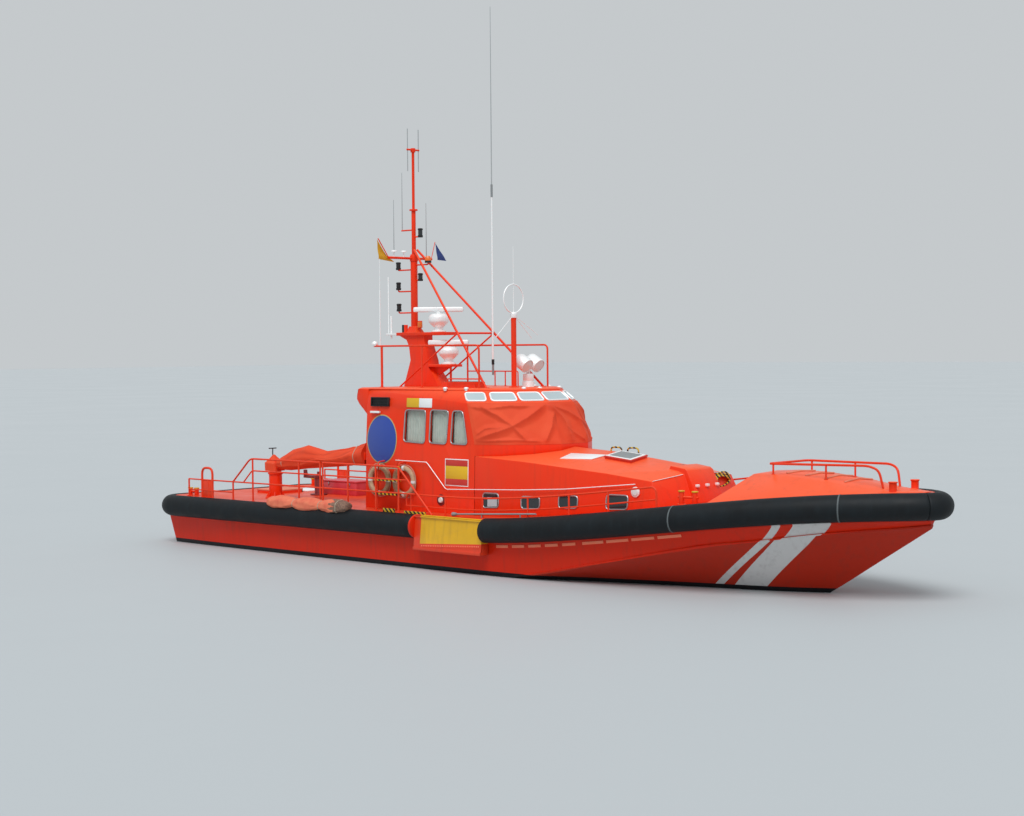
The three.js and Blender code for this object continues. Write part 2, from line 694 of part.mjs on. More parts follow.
// The door's hinges: the wall's knuckles below, the leaf's above, on one upright axis.
function hinges(part) {
  const { y0, z0, z1, hingeX, hingeY } = DOOR;
  const [x, y] = [HOUSE_AFT_X + hingeX, y0 + hingeY];
  return [z0 + 250, z1 - 250].map((z) => {
    const onWall = part < 0;
    const [low, high] = onWall ? [z - 60, z - 0.25] : [z + 0.25, z + 60];
    const strap = onWall
      ? box(x - 5, HOUSE_AFT_X + 5, y - 40, y + 5, low, high)
      : box(x - 5, x + 5, y, y + 60, low, high);
    return join(rod(at(x, y, low), at(x, y, high), 14, 10), strap);
  });
}

// The leaf is drawn on the boat's frame, then moved so that its hinge is its origin.
function aftDoor() {
  const { y0, y1, z0, z1, thick, play, hingeX, hingeY } = DOOR;
  const x0 = HOUSE_AFT_X + 5;
  const leaf = box(x0, x0 + thick, y0 + play, y1 - play, z0 + play, z1 - play);
  const hole = box(x0 - 20, x0 + thick + 20, y0 + 180, y1 - 180, z0 + 1150, z0 + 1550);
  const pane = box(x0 + 10, x0 + thick - 15, y0 + 170, y1 - 170, z0 + 1140, z0 + 1560);
  const straps = [z0 + 250, z1 - 250].map((z) =>
    box(HOUSE_AFT_X + hingeX - 5, x0 + 10, y0 + hingeY + 30, y0 + hingeY + 70, z + 0.25, z + 60),
  );
  const handle = rod(at(x0 - 45, y1 - 80, z0 + 800), at(x0 + 20, y1 - 80, z0 + 800), 14);
  const grip = rod(at(x0 - 45, y1 - 80, z0 + 740), at(x0 - 45, y1 - 80, z0 + 900), 14);
  const door = join(cut(leaf, hole), pane, hinges(1), straps, handle, grip);
  return door.translate(-HOUSE_AFT_X - hingeX, -y0 - hingeY, 0);
}

// The helm's floor, console and two seats.
function helm() {
  const [aft, fore, floorZ] = [-2900, -230, 1900];
  const floor = box(aft, fore, -1550, 1550, floorZ - 40, floorZ);
  const legs = [aft + 100, fore - 160].flatMap((x) =>
    [-1430, 1370].map((y) => box(x, x + 60, y, y + 60, deckZ(x) - 20, floorZ - 30)),
  );
  const profile = [[-750, floorZ - 10], [fore, floorZ - 10], [fore, 2560], [-420, 2640], [-750, 2500]];
  const desk = plateXZ(profile, -950, 950);
  const seats = [-620, 620].map((y) =>
    join(
      rod(at(-1650, y, floorZ - 10), at(-1650, y, 2330), 70, 10),
      box(-1900, -1380, y - 250, y + 250, 2320, 2420),
      plateXZ([[-1980, 2410], [-1870, 2410], [-1950, 3100], [-2040, 3100]], y - 240, y + 240),
    ),
  );
  const step = join(
    box(aft - 350, aft + 30, 150, 1050, 1520, 1560),
    box(aft, aft + 30, 150, 1050, 1540, floorZ - 20),
  );
  return cut(join(floor, legs, desk, seats, step), raisedDeck);
}

function sideLadder() {
  const stiles = [-3100, -2400].map((x) =>
    bars([at(x, -1690, 2330), at(x, -1930, 2310), at(x, -1980, deckZ(x) - 20)], 18),
  );
  const treads = [2220, 1900, 1580].map((z) => box(-3130, -2370, -2060, -1900, z - 15, z + 15));
  return cut(join(stiles, treads), raisedDeck, house(-GAP, 50));
}

function lifeRings() {
  const [aft, fore] = [-3200, -2360];
  const each = [aft, fore].map((x) => {
    const ring = new THREE.TorusGeometry(310, 60, 6, 18).rotateX(Math.PI / 2);
    return join(solidOf(ring.translate(x, -1810, 1880)), rod(at(x, -1810, 2160), at(x, -1690, 2180), 12, 6));
  });
  return cut(join(each, rod(at(aft, -1810, 2160), at(fore, -1810, 2160), 12, 6)), house(-GAP, 50));
}

// Mast and aerials

// The column's sections over the roof, the last three the foot of the pole.
const COLUMN = [
  // z, aft x, fore x, half width
  [ROOF_TOP_Z + GAP, -4005, -2800, 230],
  [4520, -3860, -3200, 190],
  [4660, -3820, -3214, 180],
  [4990, -3889, -3330, 160],
  [5150, -3990, -3375, 145],
  [5255, -4240, -3375, 140],
  [5300, -4240, -3375, 140],
];
const PLATFORM = { x0: -4280, x1: -2610, half: 210, z0: 5255, z1: 5330 };
const POLE_FOOT_Z = 5480;

function mastColumn() {
  const rect = ([z, x0, x1, half]) => [at(x0, -half, z), at(x1, -half, z), at(x1, half, z), at(x0, half, z)];
  const { x0, x1, half, z0, z1 } = PLATFORM;
  const poleFoot = loft([[z1 - 20, -4000, -3640, 140], [POLE_FOOT_Z, -3950, -3750, 95]].map(rect));
  const lower = box(-3226, -2422, -190, 190, 4500, 4560);
  const brace = plateXZ([[-3250, 4505], [-2600, 4505], [-3120, 4250]], -30, 30);
  const aftBar = box(-4815, -4200, -45, 45, 5265, 5320);
  const fittings = [
    // x, foot z, top z, radius
    [-4770, 5300, 6700, 12],
    [-4675, 5193, 5744, 24],
    [-4190, 5310, 5520, 75],
    [-3661, 5320, 5450, 25],
    [-3661, 5440, 5610, 58],
  ].map(([x, low, high, r]) => rod(at(x, 0, low), at(x, 0, high), r, r > 20 ? 12 : 6));
  const upper = box(x0, x1, -half, half, z0, z1);
  return join(loft(COLUMN.map(rect)), upper, poleFoot, lower, brace, aftBar, fittings);
}

const STAFF = { foot: at(MAST_X, -840, ARM_Z), tip: at(MAST_X, -1176, 7563), r: 12 };
const HALYARD = { foot: at(MAST_X, 585, ARM_Z), tip: at(MAST_X, 720, 7546), r: 10 };
const MAST_LAMPS = [
  // x, lamp foot z, lamp height, arm z
  [-4400, 6860, 190, 6850],
  [-4400, 6370, 190, 6330],
  [-4390, 5850, 190, 5810],
  [-3620, 7620, 220, 7640],
  [-3630, 6570, 190, 6590],
];

function mastPole() {
  const onPole = (z) => at(MAST_X, 0, z);
  const pole = join(
    rod(onPole(POLE_FOOT_Z + GAP), onPole(7220), 85, 12),
    rod(onPole(7200), onPole(COLLAR_Z + 20), 52, 10),
    rod(onPole(COLLAR_Z - 20), onPole(COLLAR_Z + 20), 100, 10),
    rod(onPole(COLLAR_Z), onPole(MAST_TOP_Z), 34, 8),
  );
  const lamps = MAST_LAMPS.map(([x, foot, height, arm]) =>
    join(
      bars([onPole(arm), at(x, 0, arm), at(x, 0, foot + 60)], 18),
      rod(at(x, 0, foot), at(x, 0, foot + height), 62, 10),
    ),
  );
  const crossarm = rod(at(MAST_X, -850, ARM_Z), at(MAST_X, 600, ARM_Z), 30, 8);
  const mushrooms = [-660, -340].map((y) =>
    join(
      rod(at(MAST_X, y, ARM_Z), at(MAST_X, y, 7290), 14),
      rod(at(MAST_X, y, 7270), at(MAST_X, y, 7300), 75, 10),
    ),
  );
  const whips = [
    // x, y, foot z, top z
    [MAST_X, -660, 7290, 8500],
    [MAST_X, 420, ARM_Z, 8480],
    [-4250, 0, 7800, 9220],
  ].map(([x, y, low, high]) => rod(at(x, y, low), at(x, y, high), 12, 6, 7));
  const whipArm = rod(onPole(7810), at(-4270, 0, 7810), 18);
  const beacon = join(
    bars([onPole(6960), at(-3360, 0, 6960), at(-3360, 0, 7010)], 18),
    rod(at(-3360, 0, 7000), at(-3360, 0, 7170), 80, 12),
  );
  const head = join(
    rod(at(MAST_X, -200, MAST_TOP_Z + 40), at(MAST_X, 200, MAST_TOP_Z + 40), 22, 6),
    rod(onPole(MAST_TOP_Z - 20), onPole(MAST_TOP_Z + 80), 60, 8),
    ...[-180, 180].map((y) => rod(at(MAST_X, y, 9220), at(MAST_X, y, 10240), 11, 6)),
  );
  const staff = rod(STAFF.foot, STAFF.tip, STAFF.r, 8);
  const halyard = rod(HALYARD.foot, HALYARD.tip, HALYARD.r, 8);
  return join(pole, ...lamps, crossarm, ...mushrooms, ...whips, whipArm, beacon, head, staff, halyard);
}

// What stands on the roof is cut by the roof raised by the gap.
const raisedRoof = box(-5000, 2000, -2000, 2000, 3000, ROOF_TOP_Z + GAP);

// The two stays, the bar between them and its braces down aft to the roof.
const STAY = { top: at(-3820, -40, 7361), foot: at(-514, -968, ROOF_TOP_Z - 20), r: 28 };
const CROSSBAR = { x: -1777, z: 5290, r: 24, braceX: -3770, braceY: 590 };

const crossbarY = () => {
  const share = (CROSSBAR.x - STAY.top.x) / (STAY.foot.x - STAY.top.x);
  return -THREE.MathUtils.lerp(STAY.top.y, STAY.foot.y, share);
};

function mastStays() {
  const { x, z, r, braceX, braceY } = CROSSBAR;
  const reach = crossbarY();
  const sides = [-1, 1].flatMap((side) => {
    const mirror = (p) => at(p.x, -side * p.y, p.z);
    return [
      rod(mirror(STAY.top), mirror(STAY.foot), STAY.r, 8),
      rod(at(x, side * reach, z), at(braceX, side * braceY, ROOF_TOP_Z - 20), 20, 6),
    ];
  });
  const bar = rod(at(x, -reach, z), at(x, reach, z), r, 8);
  return cut(join(sides, bar), raisedRoof, rod(at(MAST_X, 0, 7000), at(MAST_X, 0, 7700), 52 + GAP, 10));
}

// The tall aerial, clamped against the fore side of the stays' crossbar.
function tallWhip() {
  const { x: barX, z: barZ, r: barR } = CROSSBAR;
  const [x, y] = [barX + barR + 24, 520];
  const joints = [
    // foot z, top z, foot radius, top radius
    [4298, 4400, 34, 34],
    [4390, 8600, 28, 18],
    [8500, 8800, 26, 26],
    [8790, 12970, 14, 8],
  ].map(([low, high, r0, r1]) => rod(at(x, y, low), at(x, y, high), r0, 8, r1));
  return cut(join(joints), rod(at(barX, y - 100, barZ), at(barX, y + 100, barZ), barR + GAP, 8));
}

function radar(name, { x, z, dome, height, bar, yaw }) {
  const base = turned([
    [0, z + GAP],
    [dome * 0.72, z + GAP],
    [dome * 0.72, z + 30],
    [dome * 0.45, z + 60],
    [dome * 0.45, z + 110],
    [dome * 0.8, z + 190],
    [dome, z + 260],
    [dome, z + height - 70],
    [dome * 0.7, z + height - 0.5],
    [0, z + height - 0.5],
  ], 14);
  add(name + "_pedestal", base, WHITE, at(x, 0, 0));
  const scanner = join(
    rod(at(0, 0, z + height), at(0, 0, z + height + 50), 70, 12),
    box(-bar / 2, bar / 2, -65, 65, z + height + 40, z + height + 160),
  );
  const mesh = add(name + "_scanner", scanner, WHITE, at(x, 0, 0));
  mesh.rotation.z = degrees(yaw);
}

// Twin lamps either side of a thin plate, at rest looking down by the given angle.
const SEARCHLIGHT = { x: -620, y: 550, panZ: 4160, tiltZ: 4600, spacing: 195, r: 170, half: 190, down: 30 };

function searchlight() {
  const { x, y, panZ, tiltZ, spacing, r, half, down } = SEARCHLIGHT;
  const place = at(x, y, 0);
  const pinEnd = spacing - r - 0.5;
  const yoke = join(
    rod(at(0, 0, panZ), at(0, 0, tiltZ - 265), 125, 16),
    box(-50, 50, -16, 16, tiltZ - 275, tiltZ),
    rod(at(0, -pinEnd, tiltZ), at(0, pinEnd, tiltZ), 28, 10),
  );
  add("searchlight_yoke", yoke, WHITE, place);
  const back = [[0, -half], [r * 0.7, -half + 8], [r, -half + 90]];
  const front = [[r, half - 10], [r - 20, half], [0, half - 8]];
  const lamp = geometryOf(turned([...back, ...front], 18)).rotateY(Math.PI / 2);
  const drum = (side) => solidOf(lamp.clone().translate(0, side * spacing, 0));
  const bridge = rod(at(-110, -spacing, 80), at(-110, spacing, 80), 18, 8);
  const heads = geometryOf(join(drum(-1), drum(1), bridge)).rotateY(degrees(down)).translate(0, 0, tiltZ);
  add("searchlight_heads", solidOf(heads), WHITE, place);
}

function loopAerial() {
  const x = -560;
  const post = rod(at(x, 0, ROOF_TOP_Z + GAP), at(x, 0, 5640), 62, 12);
  const hub = rod(at(x, 0, 5630), at(x, 0, 5760), 80, 10);
  const ring = solidOf(new THREE.TorusGeometry(330, 16, 6, 28).rotateY(Math.PI / 2).translate(x, 0, 6070));
  const spine = rod(at(x, 0, 5750), at(x, 0, 7270), 9, 6, 5);
  const whiskers = [[-600, 5180], [840, 5230], [610, 5160]].map(([y, z]) =>
    rod(at(x, 0, 5700), at(x, y, z), 9, 6),
  );
  return join(post, hub, ring, spine, ...whiskers);
}

// Rails

const ROOF_RAIL = { y: 1156, z: 5005, aft: -4040, fore: -560, r: 22, aftPost: -3780 };

// One roof rail: its side, its other posts, its low bar's points and the low bar's short posts.
function roofRail(side, postXs, lowBar, shortXs) {
  const { z, aft, fore, r, aftPost } = ROOF_RAIL;
  const y = side * ROOF_RAIL.y;
  const foot = ROOF_TOP_Z + GAP;
  const lowZ = lowBar.at(-1)[1];
  const posts = [...postXs, fore].map((x) => rod(at(x, y, foot), at(x, y, z), r, 6));
  const shortPosts = shortXs.map((x) => rod(at(x, y, foot), at(x, y, lowZ), r * 0.7, 6));
  return join(
    bars([at(aft, y, z), at(fore, y, z)], r),
    rod(at(aftPost, y, foot), at(aftPost, y, z), 30, 8),
    bars(lowBar.map(([x, barZ]) => at(x, y, barZ)), r * 0.7),
    posts,
    shortPosts,
  );
}

function roofRailStarboard() {
  const { y, z } = ROOF_RAIL;
  const foot = ROOF_TOP_Z + GAP;
  const rail = roofRail(-1, [-2410], [[-1573, foot], [-1573, 4240], [-530, 4240]], []);
  const aerial = join(
    rod(at(-3830, -y, z - 10), at(-3830, -y, 6330), 16, 8),
    rod(at(-3830, -y, 6320), at(-3830, -y, 7080), 9, 6, 7),
  );
  return join(rail, aerial);
}

function roofRailPort() {
  const foot = ROOF_TOP_Z + GAP;
  return roofRail(1, [-3195], [[-3185, 4380], [-1512, 4380], [-1512, foot]].toReversed(), [-2270, -1930]);
}

const railY = (x, inboard = 90) => -(sideY(x) - inboard);

const AFT_RAIL = { high: 2255, mid: 1960, low: 1655, sternLow: 1390, splits: [-4740, -4650], r: 22 };

// The aft side rail, split amidships, with a diagonal down at each end and a hoop over the stern rail.
function aftRail() {
  const { high, mid, low, sternLow, splits, r } = AFT_RAIL;
  const deck = deckZ(-5000) - 20;
  const y = railY(-5000);
  const [gapAft, gapFore] = splits;
  const runs = [
    bars([at(-8050, y, low), at(-7360, y, high), at(gapAft, y, high)], r),
    bars([at(gapFore, y, high), at(-2040, y, high), at(-930, y, deck - 40)], r),
    bars([at(-7640, y, low), at(-7300, y, mid), at(gapAft, y, mid)], 18),
    bars([at(gapFore, y, mid), at(-1780, y, mid)], 18),
    bars([at(-9850, y, low), at(-1500, y, low)], 18),
    bars([at(-9850, y, sternLow), at(-8050, y, sternLow)], 18),
  ];
  const posts = [
    // x, top
    [-9850, low],
    [-9050, low],
    [-8050, low],
    [-7270, high],
    [-5520, high],
    [gapAft, high],
    [gapFore, high],
    [-3760, high],
    [-2800, high],
    [-2040, high],
  ].map(([x, top]) => rod(at(x, y, deck), at(x, y, top), r, 5));
  const [hoopAft, hoopFore, bend, top] = [-9300, -8880, 110, 1960];
  const hoop = bars(
    [
      at(hoopAft, y, deck),
      at(hoopAft, y, top - bend),
      at(hoopAft + bend, y, top),
      at(hoopFore - bend, y, top),
      at(hoopFore, y, top - bend),
      at(hoopFore, y, deck),
    ],
    30,
  );
  const infill = box(hoopAft, hoopFore, y - 8, y + 8, deck, 1640);
  return cut(join(runs, posts, hoop, infill), raisedDeck);
}

function foreRail() {
  const inboard = 160;
  const spot = (x, up) => at(x, railY(x, inboard), deckZ(x) + up);
  const [high, low, aft, fore] = [430, 170, -1850, 5150];
  const top = [spot(aft, low), spot(aft, high - 60), spot(aft + 60, high)];
  [-300, 1000, 2200, 3300, 4300].forEach((x) => top.push(spot(x, high)));
  top.push(spot(fore - 80, high), spot(fore, high - 80), spot(fore, -20));
  const lower = [aft, -300, 1000, 2200, 3300, 4300, fore].map((x) => spot(x, low));
  const posts = [-1700, -600, 550, 1880, 3000, 4000].map((x) => rod(spot(x, -20), spot(x, high), 20, 5));
  return cut(join(bars(top, 20), bars(lower, 16), posts), raisedDeck);
}

const BOW_RAIL = [
  // x, y, z along one side's top bar
  [7044, 696, 2580],
  [9180, 400, 2600],
  [9380, 345, 2520],
  [9450, 305, 2080],
];

function bowRail() {
  const [[aftX, aftY, aftZ], [foreX, foreY]] = BOW_RAIL;
  const side = (s) => {
    const top = [at(aftX, -s * 10, aftZ), ...BOW_RAIL.map(([x, y, z]) => at(x, s * y, z))];
    const posts = [7150, 8290].map((x) => {
      const y = s * THREE.MathUtils.mapLinear(x, aftX, foreX, aftY, foreY);
      return rod(at(x, y, 2160), at(x, y, 2585), 20, 6);
    });
    return join(bars(top, 24), ...posts);
  };
  return cut(join(side(-1), side(1)), forecastleForm(GAP));
}

// Aft deck

function cranePedestal() {
  const { x, y, topZ } = CRANE;
  const deck = deckZ(x) + GAP;
  return join(
    rod(at(x, y, deck), at(x, y, topZ), 165, 16),
    rod(at(x, y, deck), at(x, y, deck + 30), 260, 16),
  );
}

// The crane's hooded head, in X and Z from the slewing axis.
const HEAD = [
  [-230, 1900],
  [190, 1900],
  [190, 2130],
  [130, 2170],
  [20, 2215],
  [-90, 2280],
  [-160, 2265],
  [-230, 2160],
];
const HEAD_HALF = 200;
const HEAD_FLOOR_Z = 1935;

function craneHead() {
  const { topZ, pivotZ, slot } = CRANE;
  const block = plateXZ(HEAD, -HEAD_HALF, HEAD_HALF);
  const boomSlot = box(0, 300, -slot, slot, HEAD_FLOOR_Z, pivotZ + 300);
  const turret = rod(at(0, 0, topZ + 0.5), at(0, 0, 1910), 150, 16);
  const handle = join(
    rod(at(-100, 0, 2250), at(-100, 0, 2460), 14),
    rod(at(-100, -120, 2460), at(-100, 120, 2460), 14),
  );
  return join(cut(block, boomSlot), turret, handle);
}

const BOOM = [
  // x from the slewing axis, half width, low z, high z
  [70, 120, 1960, 2180],
  [700, 120, 2010, 2240],
  [3450, 95, 2290, 2470],
];

const boomRing = (grow) => ([x, half, low, high]) => [
  at(x, -half - grow, low - grow),
  at(x, half + grow, low - grow),
  at(x, half + grow, high + grow),
  at(x, -half - grow, high + grow),
];

function craneBoom() {
  const { pivotX, pivotZ, slot } = CRANE;
  const pinEnd = slot - 0.4;
  const pin = rod(at(pivotX, -pinEnd, pivotZ), at(pivotX, pinEnd, pivotZ), 60, 12);
  return join(loft(BOOM.map(boomRing(0))), pin);
}

// The laced canvas sleeve over the boom: an outer form less the boom's space, open along its underside.
const SLEEVE = [
  // x, half width, bottom, top
  [240, 190, 1900, 2300],
  [700, 205, 1935, 2450],
  [1300, 215, 1990, 2590],
  [2000, 185, 2060, 2460],
  [2800, 195, 2115, 2560],
  [3410, 205, 2170, 2700],
];

function boomCover() {
  const outer = loft(
    SLEEVE.map(([x, half, low, high]) => [
      at(x, -half, low + 60),
      at(x, -half * 0.6, low),
      at(x, half * 0.6, low),
      at(x, half, low + 60),
      at(x, half * 0.7, high - 60),
      at(x, 0, high),
      at(x, -half * 0.7, high - 60),
    ]),
  );
  const [first, second, last] = BOOM;
  const beyond = last.map((value, i) => value + (value - second[i]) * 0.1);
  const space = loft([first, second, beyond].map(boomRing(GAP)));
  const lacing = loft([[70, 30, 1500, 1970], [700, 30, 1500, 2020], [3650, 30, 1500, 2320]].map(boomRing(0)));
  return cut(outer, space, lacing);
}

const LOCKER = { x0: -7650, x1: -6350, y0: 300, y1: 950, height: 330, lid: 40 };

function locker() {
  const { x0, x1, y0, y1, height } = LOCKER;
  const deck = deckZ(x0) + GAP;
  return cut(
    box(x0, x1, y0, y1, deck, deck + height),
    box(x0 + 20, x1 - 20, y0 + 20, y1 - 20, deck + 20, deck + height + 20),
  );
}

function lockerLid() {
  const { x0, x1, y0, y1, lid } = LOCKER;
  return box(x0 - 15, x1 + 15, y0 - y1 - 15, 0, 0, lid);
}

const TOW = { x: -7450, y: 0, z: 1650 };

function towPost() {
  const deck = deckZ(TOW.x) + GAP;
  return join(
    rod(at(TOW.x, TOW.y, deck), at(TOW.x, TOW.y, TOW.z - 30.5), 110, 14),
    rod(at(TOW.x, TOW.y, deck), at(TOW.x, TOW.y, deck + 30), 220, 14),
    rod(at(TOW.x, TOW.y, TOW.z - 60), at(TOW.x, TOW.y, TOW.z + 160), 45, 12),
  );
}

function towHook() {
  const eye = cut(rod(at(0, 0, -30), at(0, 0, 60), 110, 16), rod(at(0, 0, -60), at(0, 0, 90), 52, 16));
  const shank = box(-420, -90, -45, 45, -20, 50);
  const tip = plateXZ([[-560, -20], [-400, -20], [-400, 50], [-470, 60], [-480, 190], [-560, 190]], -35, 35);
  return join(eye, shank, tip);
}

// The rolled rescue net, lying on the fender: a flattened roll, fat between its ties.
const NET_ROLL = { aft: -6330, fore: -3460, y: -2545, z: 1270, wide: 195, high: 150, turn: -20, lumps: 4 };

function netRoll() {
  const { aft, fore, y, z, wide, high, turn, lumps } = NET_ROLL;
  const [sine, cosine] = [Math.sin(degrees(turn)), Math.cos(degrees(turn))];
  const ring = (share) => {
    const fat = 0.82 + 0.18 * Math.abs(Math.sin(Math.PI * lumps * share));
    return Array.from({ length: 12 }, (_, i) => {
      const angle = (i * Math.PI) / 6;
      const [across, up] = [wide * fat * Math.cos(angle), high * fat * Math.sin(angle)];
      return at(
        THREE.MathUtils.lerp(aft, fore, share),
        y + across * cosine + up * sine,
        z - across * sine + up * cosine,
      );
    });
  };
  const roll = loft(Array.from({ length: 2 * lumps + 1 }, (_, i) => ring(i / (2 * lumps))));
  return cut(roll, fenderRun([-8400, -2400].map(straightPoint), GAP), raisedDeck);
}

function hatchLid(half, thick) {
  return join(
    box(-2 * half - 10, 0, -half - 10, half + 10, 0, thick),
    rod(at(-2 * half + 100, -70, thick + 25), at(-2 * half + 100, 70, thick + 25), 10),
    box(-2 * half + 85, -2 * half + 115, -70, -55, thick - 5, thick + 30),
    box(-2 * half + 85, -2 * half + 115, 55, 70, thick - 5, thick + 30),
  );
}

// Underwater gear

function screw() {
  const hub = turned([[0, -SCREW.hub], [60, -SCREW.hub], [75, -60], [70, 120], [25, 170], [0, 170]], 16);
  const shape = new THREE.Shape();
  shape.moveTo(-40, 50);
  shape.quadraticCurveTo(-170, 220, -90, SCREW.r - 20);
  shape.quadraticCurveTo(20, SCREW.r + 30, 110, SCREW.r - 60);
  shape.quadraticCurveTo(170, 200, 40, 50);
  const blades = [0, 1, 2, 3].map((i) => {
    const blade = new THREE.ExtrudeGeometry(shape, { depth: 18, bevelEnabled: false, curveSegments: 5 });
    blade.translate(0, 0, -9).rotateY(degrees(58)).rotateX(degrees(90 * i));
    return solidOf(blade);
  });
  const level = join(solidOf(geometryOf(hub).rotateY(-Math.PI / 2)), blades);
  return level.rotate([0, -THREE.MathUtils.radToDeg(SHAFT_TILT), 0]);
}

function shaftPoint(x, y) {
  return at(x, y, SCREW.z + (x - SCREW.x) * Math.tan(SHAFT_TILT));
}

function shaftLine() {
  const { x0, x1, top } = STRUT;
  const aftX = SCREW.x + (SCREW.hub + 0.5) * Math.cos(SHAFT_TILT);
  const shaft = rod(shaftPoint(aftX, 0), shaftPoint(LOG_X - 0.6, 0), 45, 10);
  const low = shaftPoint(x0, 0).z;
  const strut = plateXZ([[x0, low], [x1, low], [x1, top - GAP], [x0, top - GAP]], -18, 18);
  const bearing = rod(shaftPoint(x0 - 50, 0), shaftPoint(x1 + 50, 0), 75, 12);
  return join(shaft, strut, bearing);
}

function rudder() {
  const { seat, top, bottom } = RUDDER;
  const blade = (z, x0, x1, half) => {
    const widest = (x0 + x1) / 2 + 60;
    return [at(x0, 0, z), at(widest, -half, z), at(x1, 0, z), at(widest, half, z)];
  };
  return join(
    loft([blade(bottom, -270, 150, 22), blade(top, -300, 190, 36)]),
    rod(at(0, 0, top - 60), at(0, 0, seat - 0.5), 32, 12),
  );
}

// Flags: flat cloths, each beside its staff or halyard
function cloth(corners, thick) {
  const normal = corners[1].clone().sub(corners[0]).cross(corners[2].clone().sub(corners[0])).normalize();
  return loft([-thick / 2, thick / 2].map((d) => corners.map((c) => c.clone().addScaledVector(normal, d))));
}

// It hangs behind the crossarm, its hoist along the staff.
function sternFlag() {
  const spot = (share) => STAFF.foot.clone().lerp(STAFF.tip, share);
  const [low, peak] = [spot(0.1), spot(0.97)];
  const corners = [low, peak, at(MAST_X, -1118, 7076), at(MAST_X, -597, 7020)];
  const aft = at(-(30 + GAP + 4), 0, 0);
  return cloth(corners.map((c) => c.add(aft)), 8);
}

function signalFlag() {
  const peak = HALYARD.foot.clone().lerp(HALYARD.tip, 0.92);
  const corners = [peak, at(MAST_X, 782, 7108), at(MAST_X, 1093, 7092)];
  const fore = at(HALYARD.r + GAP + 4, 0, 0);
  return cloth(corners.map((c) => c.add(fore)), 8);
}

// Assembly

add("hull", hull(), ORANGE);
add("forecastle", forecastle(), ORANGE);
fenders();
addPair("rescue_zone", rescueZone(), YELLOW);

add("fore_cabin", foreCabin(), ORANGE);
const hatchHinge = HATCH_MIDDLE.clone()
  .addScaledVector(HATCH_FORE, -CABIN_HATCH.halfX - CABIN_HATCH.lip)
  .addScaledVector(HATCH_UP, CABIN_HATCH.rise + GAP + CABIN_HATCH.lid);
add("cabin_hatch_lid", cabinHatchLid(), DECK, hatchHinge);
add("wheelhouse_walls", wheelhouseWalls(), ORANGE);
add("wheelhouse_roof", wheelhouseRoof(), ORANGE);
add("windscreen_glazing", frontGlazing(), GLASS);
add("aft_glazing", aftGlazing(), GLASS);
addPair("side_glazing", sideGlazing(), GLASS);
add("windscreen_cover", windscreenCover(), CANVAS);
const doorHinge = at(HOUSE_AFT_X + DOOR.hingeX, DOOR.y0 + DOOR.hingeY, 0);
add("aft_door", aftDoor(), ORANGE, doorHinge);
add("helm_station", helm(), DARK);
addPair("side_ladder", sideLadder(), ORANGE);
addPair("life_rings", lifeRings(), RING_TAN);

add("mast_column", mastColumn(), ORANGE);
add("mast_pole", mastPole(), ORANGE);
add("mast_stays", mastStays(), ORANGE);
add("tall_whip", tallWhip(), WHITE);
radar("radar_upper", RADAR_UPPER);
radar("radar_lower", RADAR_LOWER);
searchlight();
add("loop_aerial", loopAerial(), ORANGE);
add("roof_rail_starboard", roofRailStarboard(), ORANGE);
add("roof_rail_port", roofRailPort(), ORANGE);

add("bow_rail", bowRail(), ORANGE);
addPair("fore_rail", foreRail(), ORANGE);
addPair("aft_rail", aftRail(), ORANGE);

const craneFoot = at(CRANE.x, CRANE.y, 0);
add("crane_pedestal", cranePedestal(), ORANGE);
add("crane_head", craneHead(), ORANGE, craneFoot);
add("crane_boom", craneBoom(), ORANGE, craneFoot);
add("crane_boom_cover", boomCover(), CANVAS, craneFoot);
add("deck_locker", locker(), CRIMSON);
const lockerHinge = at(0, LOCKER.y1, deckZ(LOCKER.x0) + LOCKER.height + 0.5);
add("deck_locker_lid", lockerLid(), CRIMSON, lockerHinge);
add("tow_post", towPost(), DARK);
add("tow_hook", towHook(), DARK, at(TOW.x, TOW.y, TOW.z));
add("rescue_net_roll", netRoll(), CANVAS);
const engineHinge = at(HATCH.x + HATCH.half, HATCH.y, deckZ(HATCH.x) + HATCH.coaming + 0.5);
add("engine_hatch_lid", hatchLid(HATCH.half, HATCH.lid), DECK, engineHinge);

addPair("screw", screw(), BRONZE, at(SCREW.x, -SHAFT_Y, SCREW.z));
addPair("shaft_line", shaftLine(), STEEL, at(0, -SHAFT_Y, 0));
addPair("rudder", rudder(), STEEL, at(RUDDER.x, -SHAFT_Y, 0));

add("stern_flag", sternFlag(), FLAG_CLOTH);
add("signal_flag", signalFlag(), FLAG_BLUE);

export default boat;
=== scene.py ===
"""A 21.6 m fast rescue boat afloat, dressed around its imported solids.

Metres. +X is forward, +Y is to port, +Z is up, and z = 0 is the water's surface.
"""
import itertools
import logging
import math
from dataclasses import dataclass
from enum import Enum
from typing import Callable, Iterable, Sequence

import bpy
from mathutils import Matrix, Vector, noise


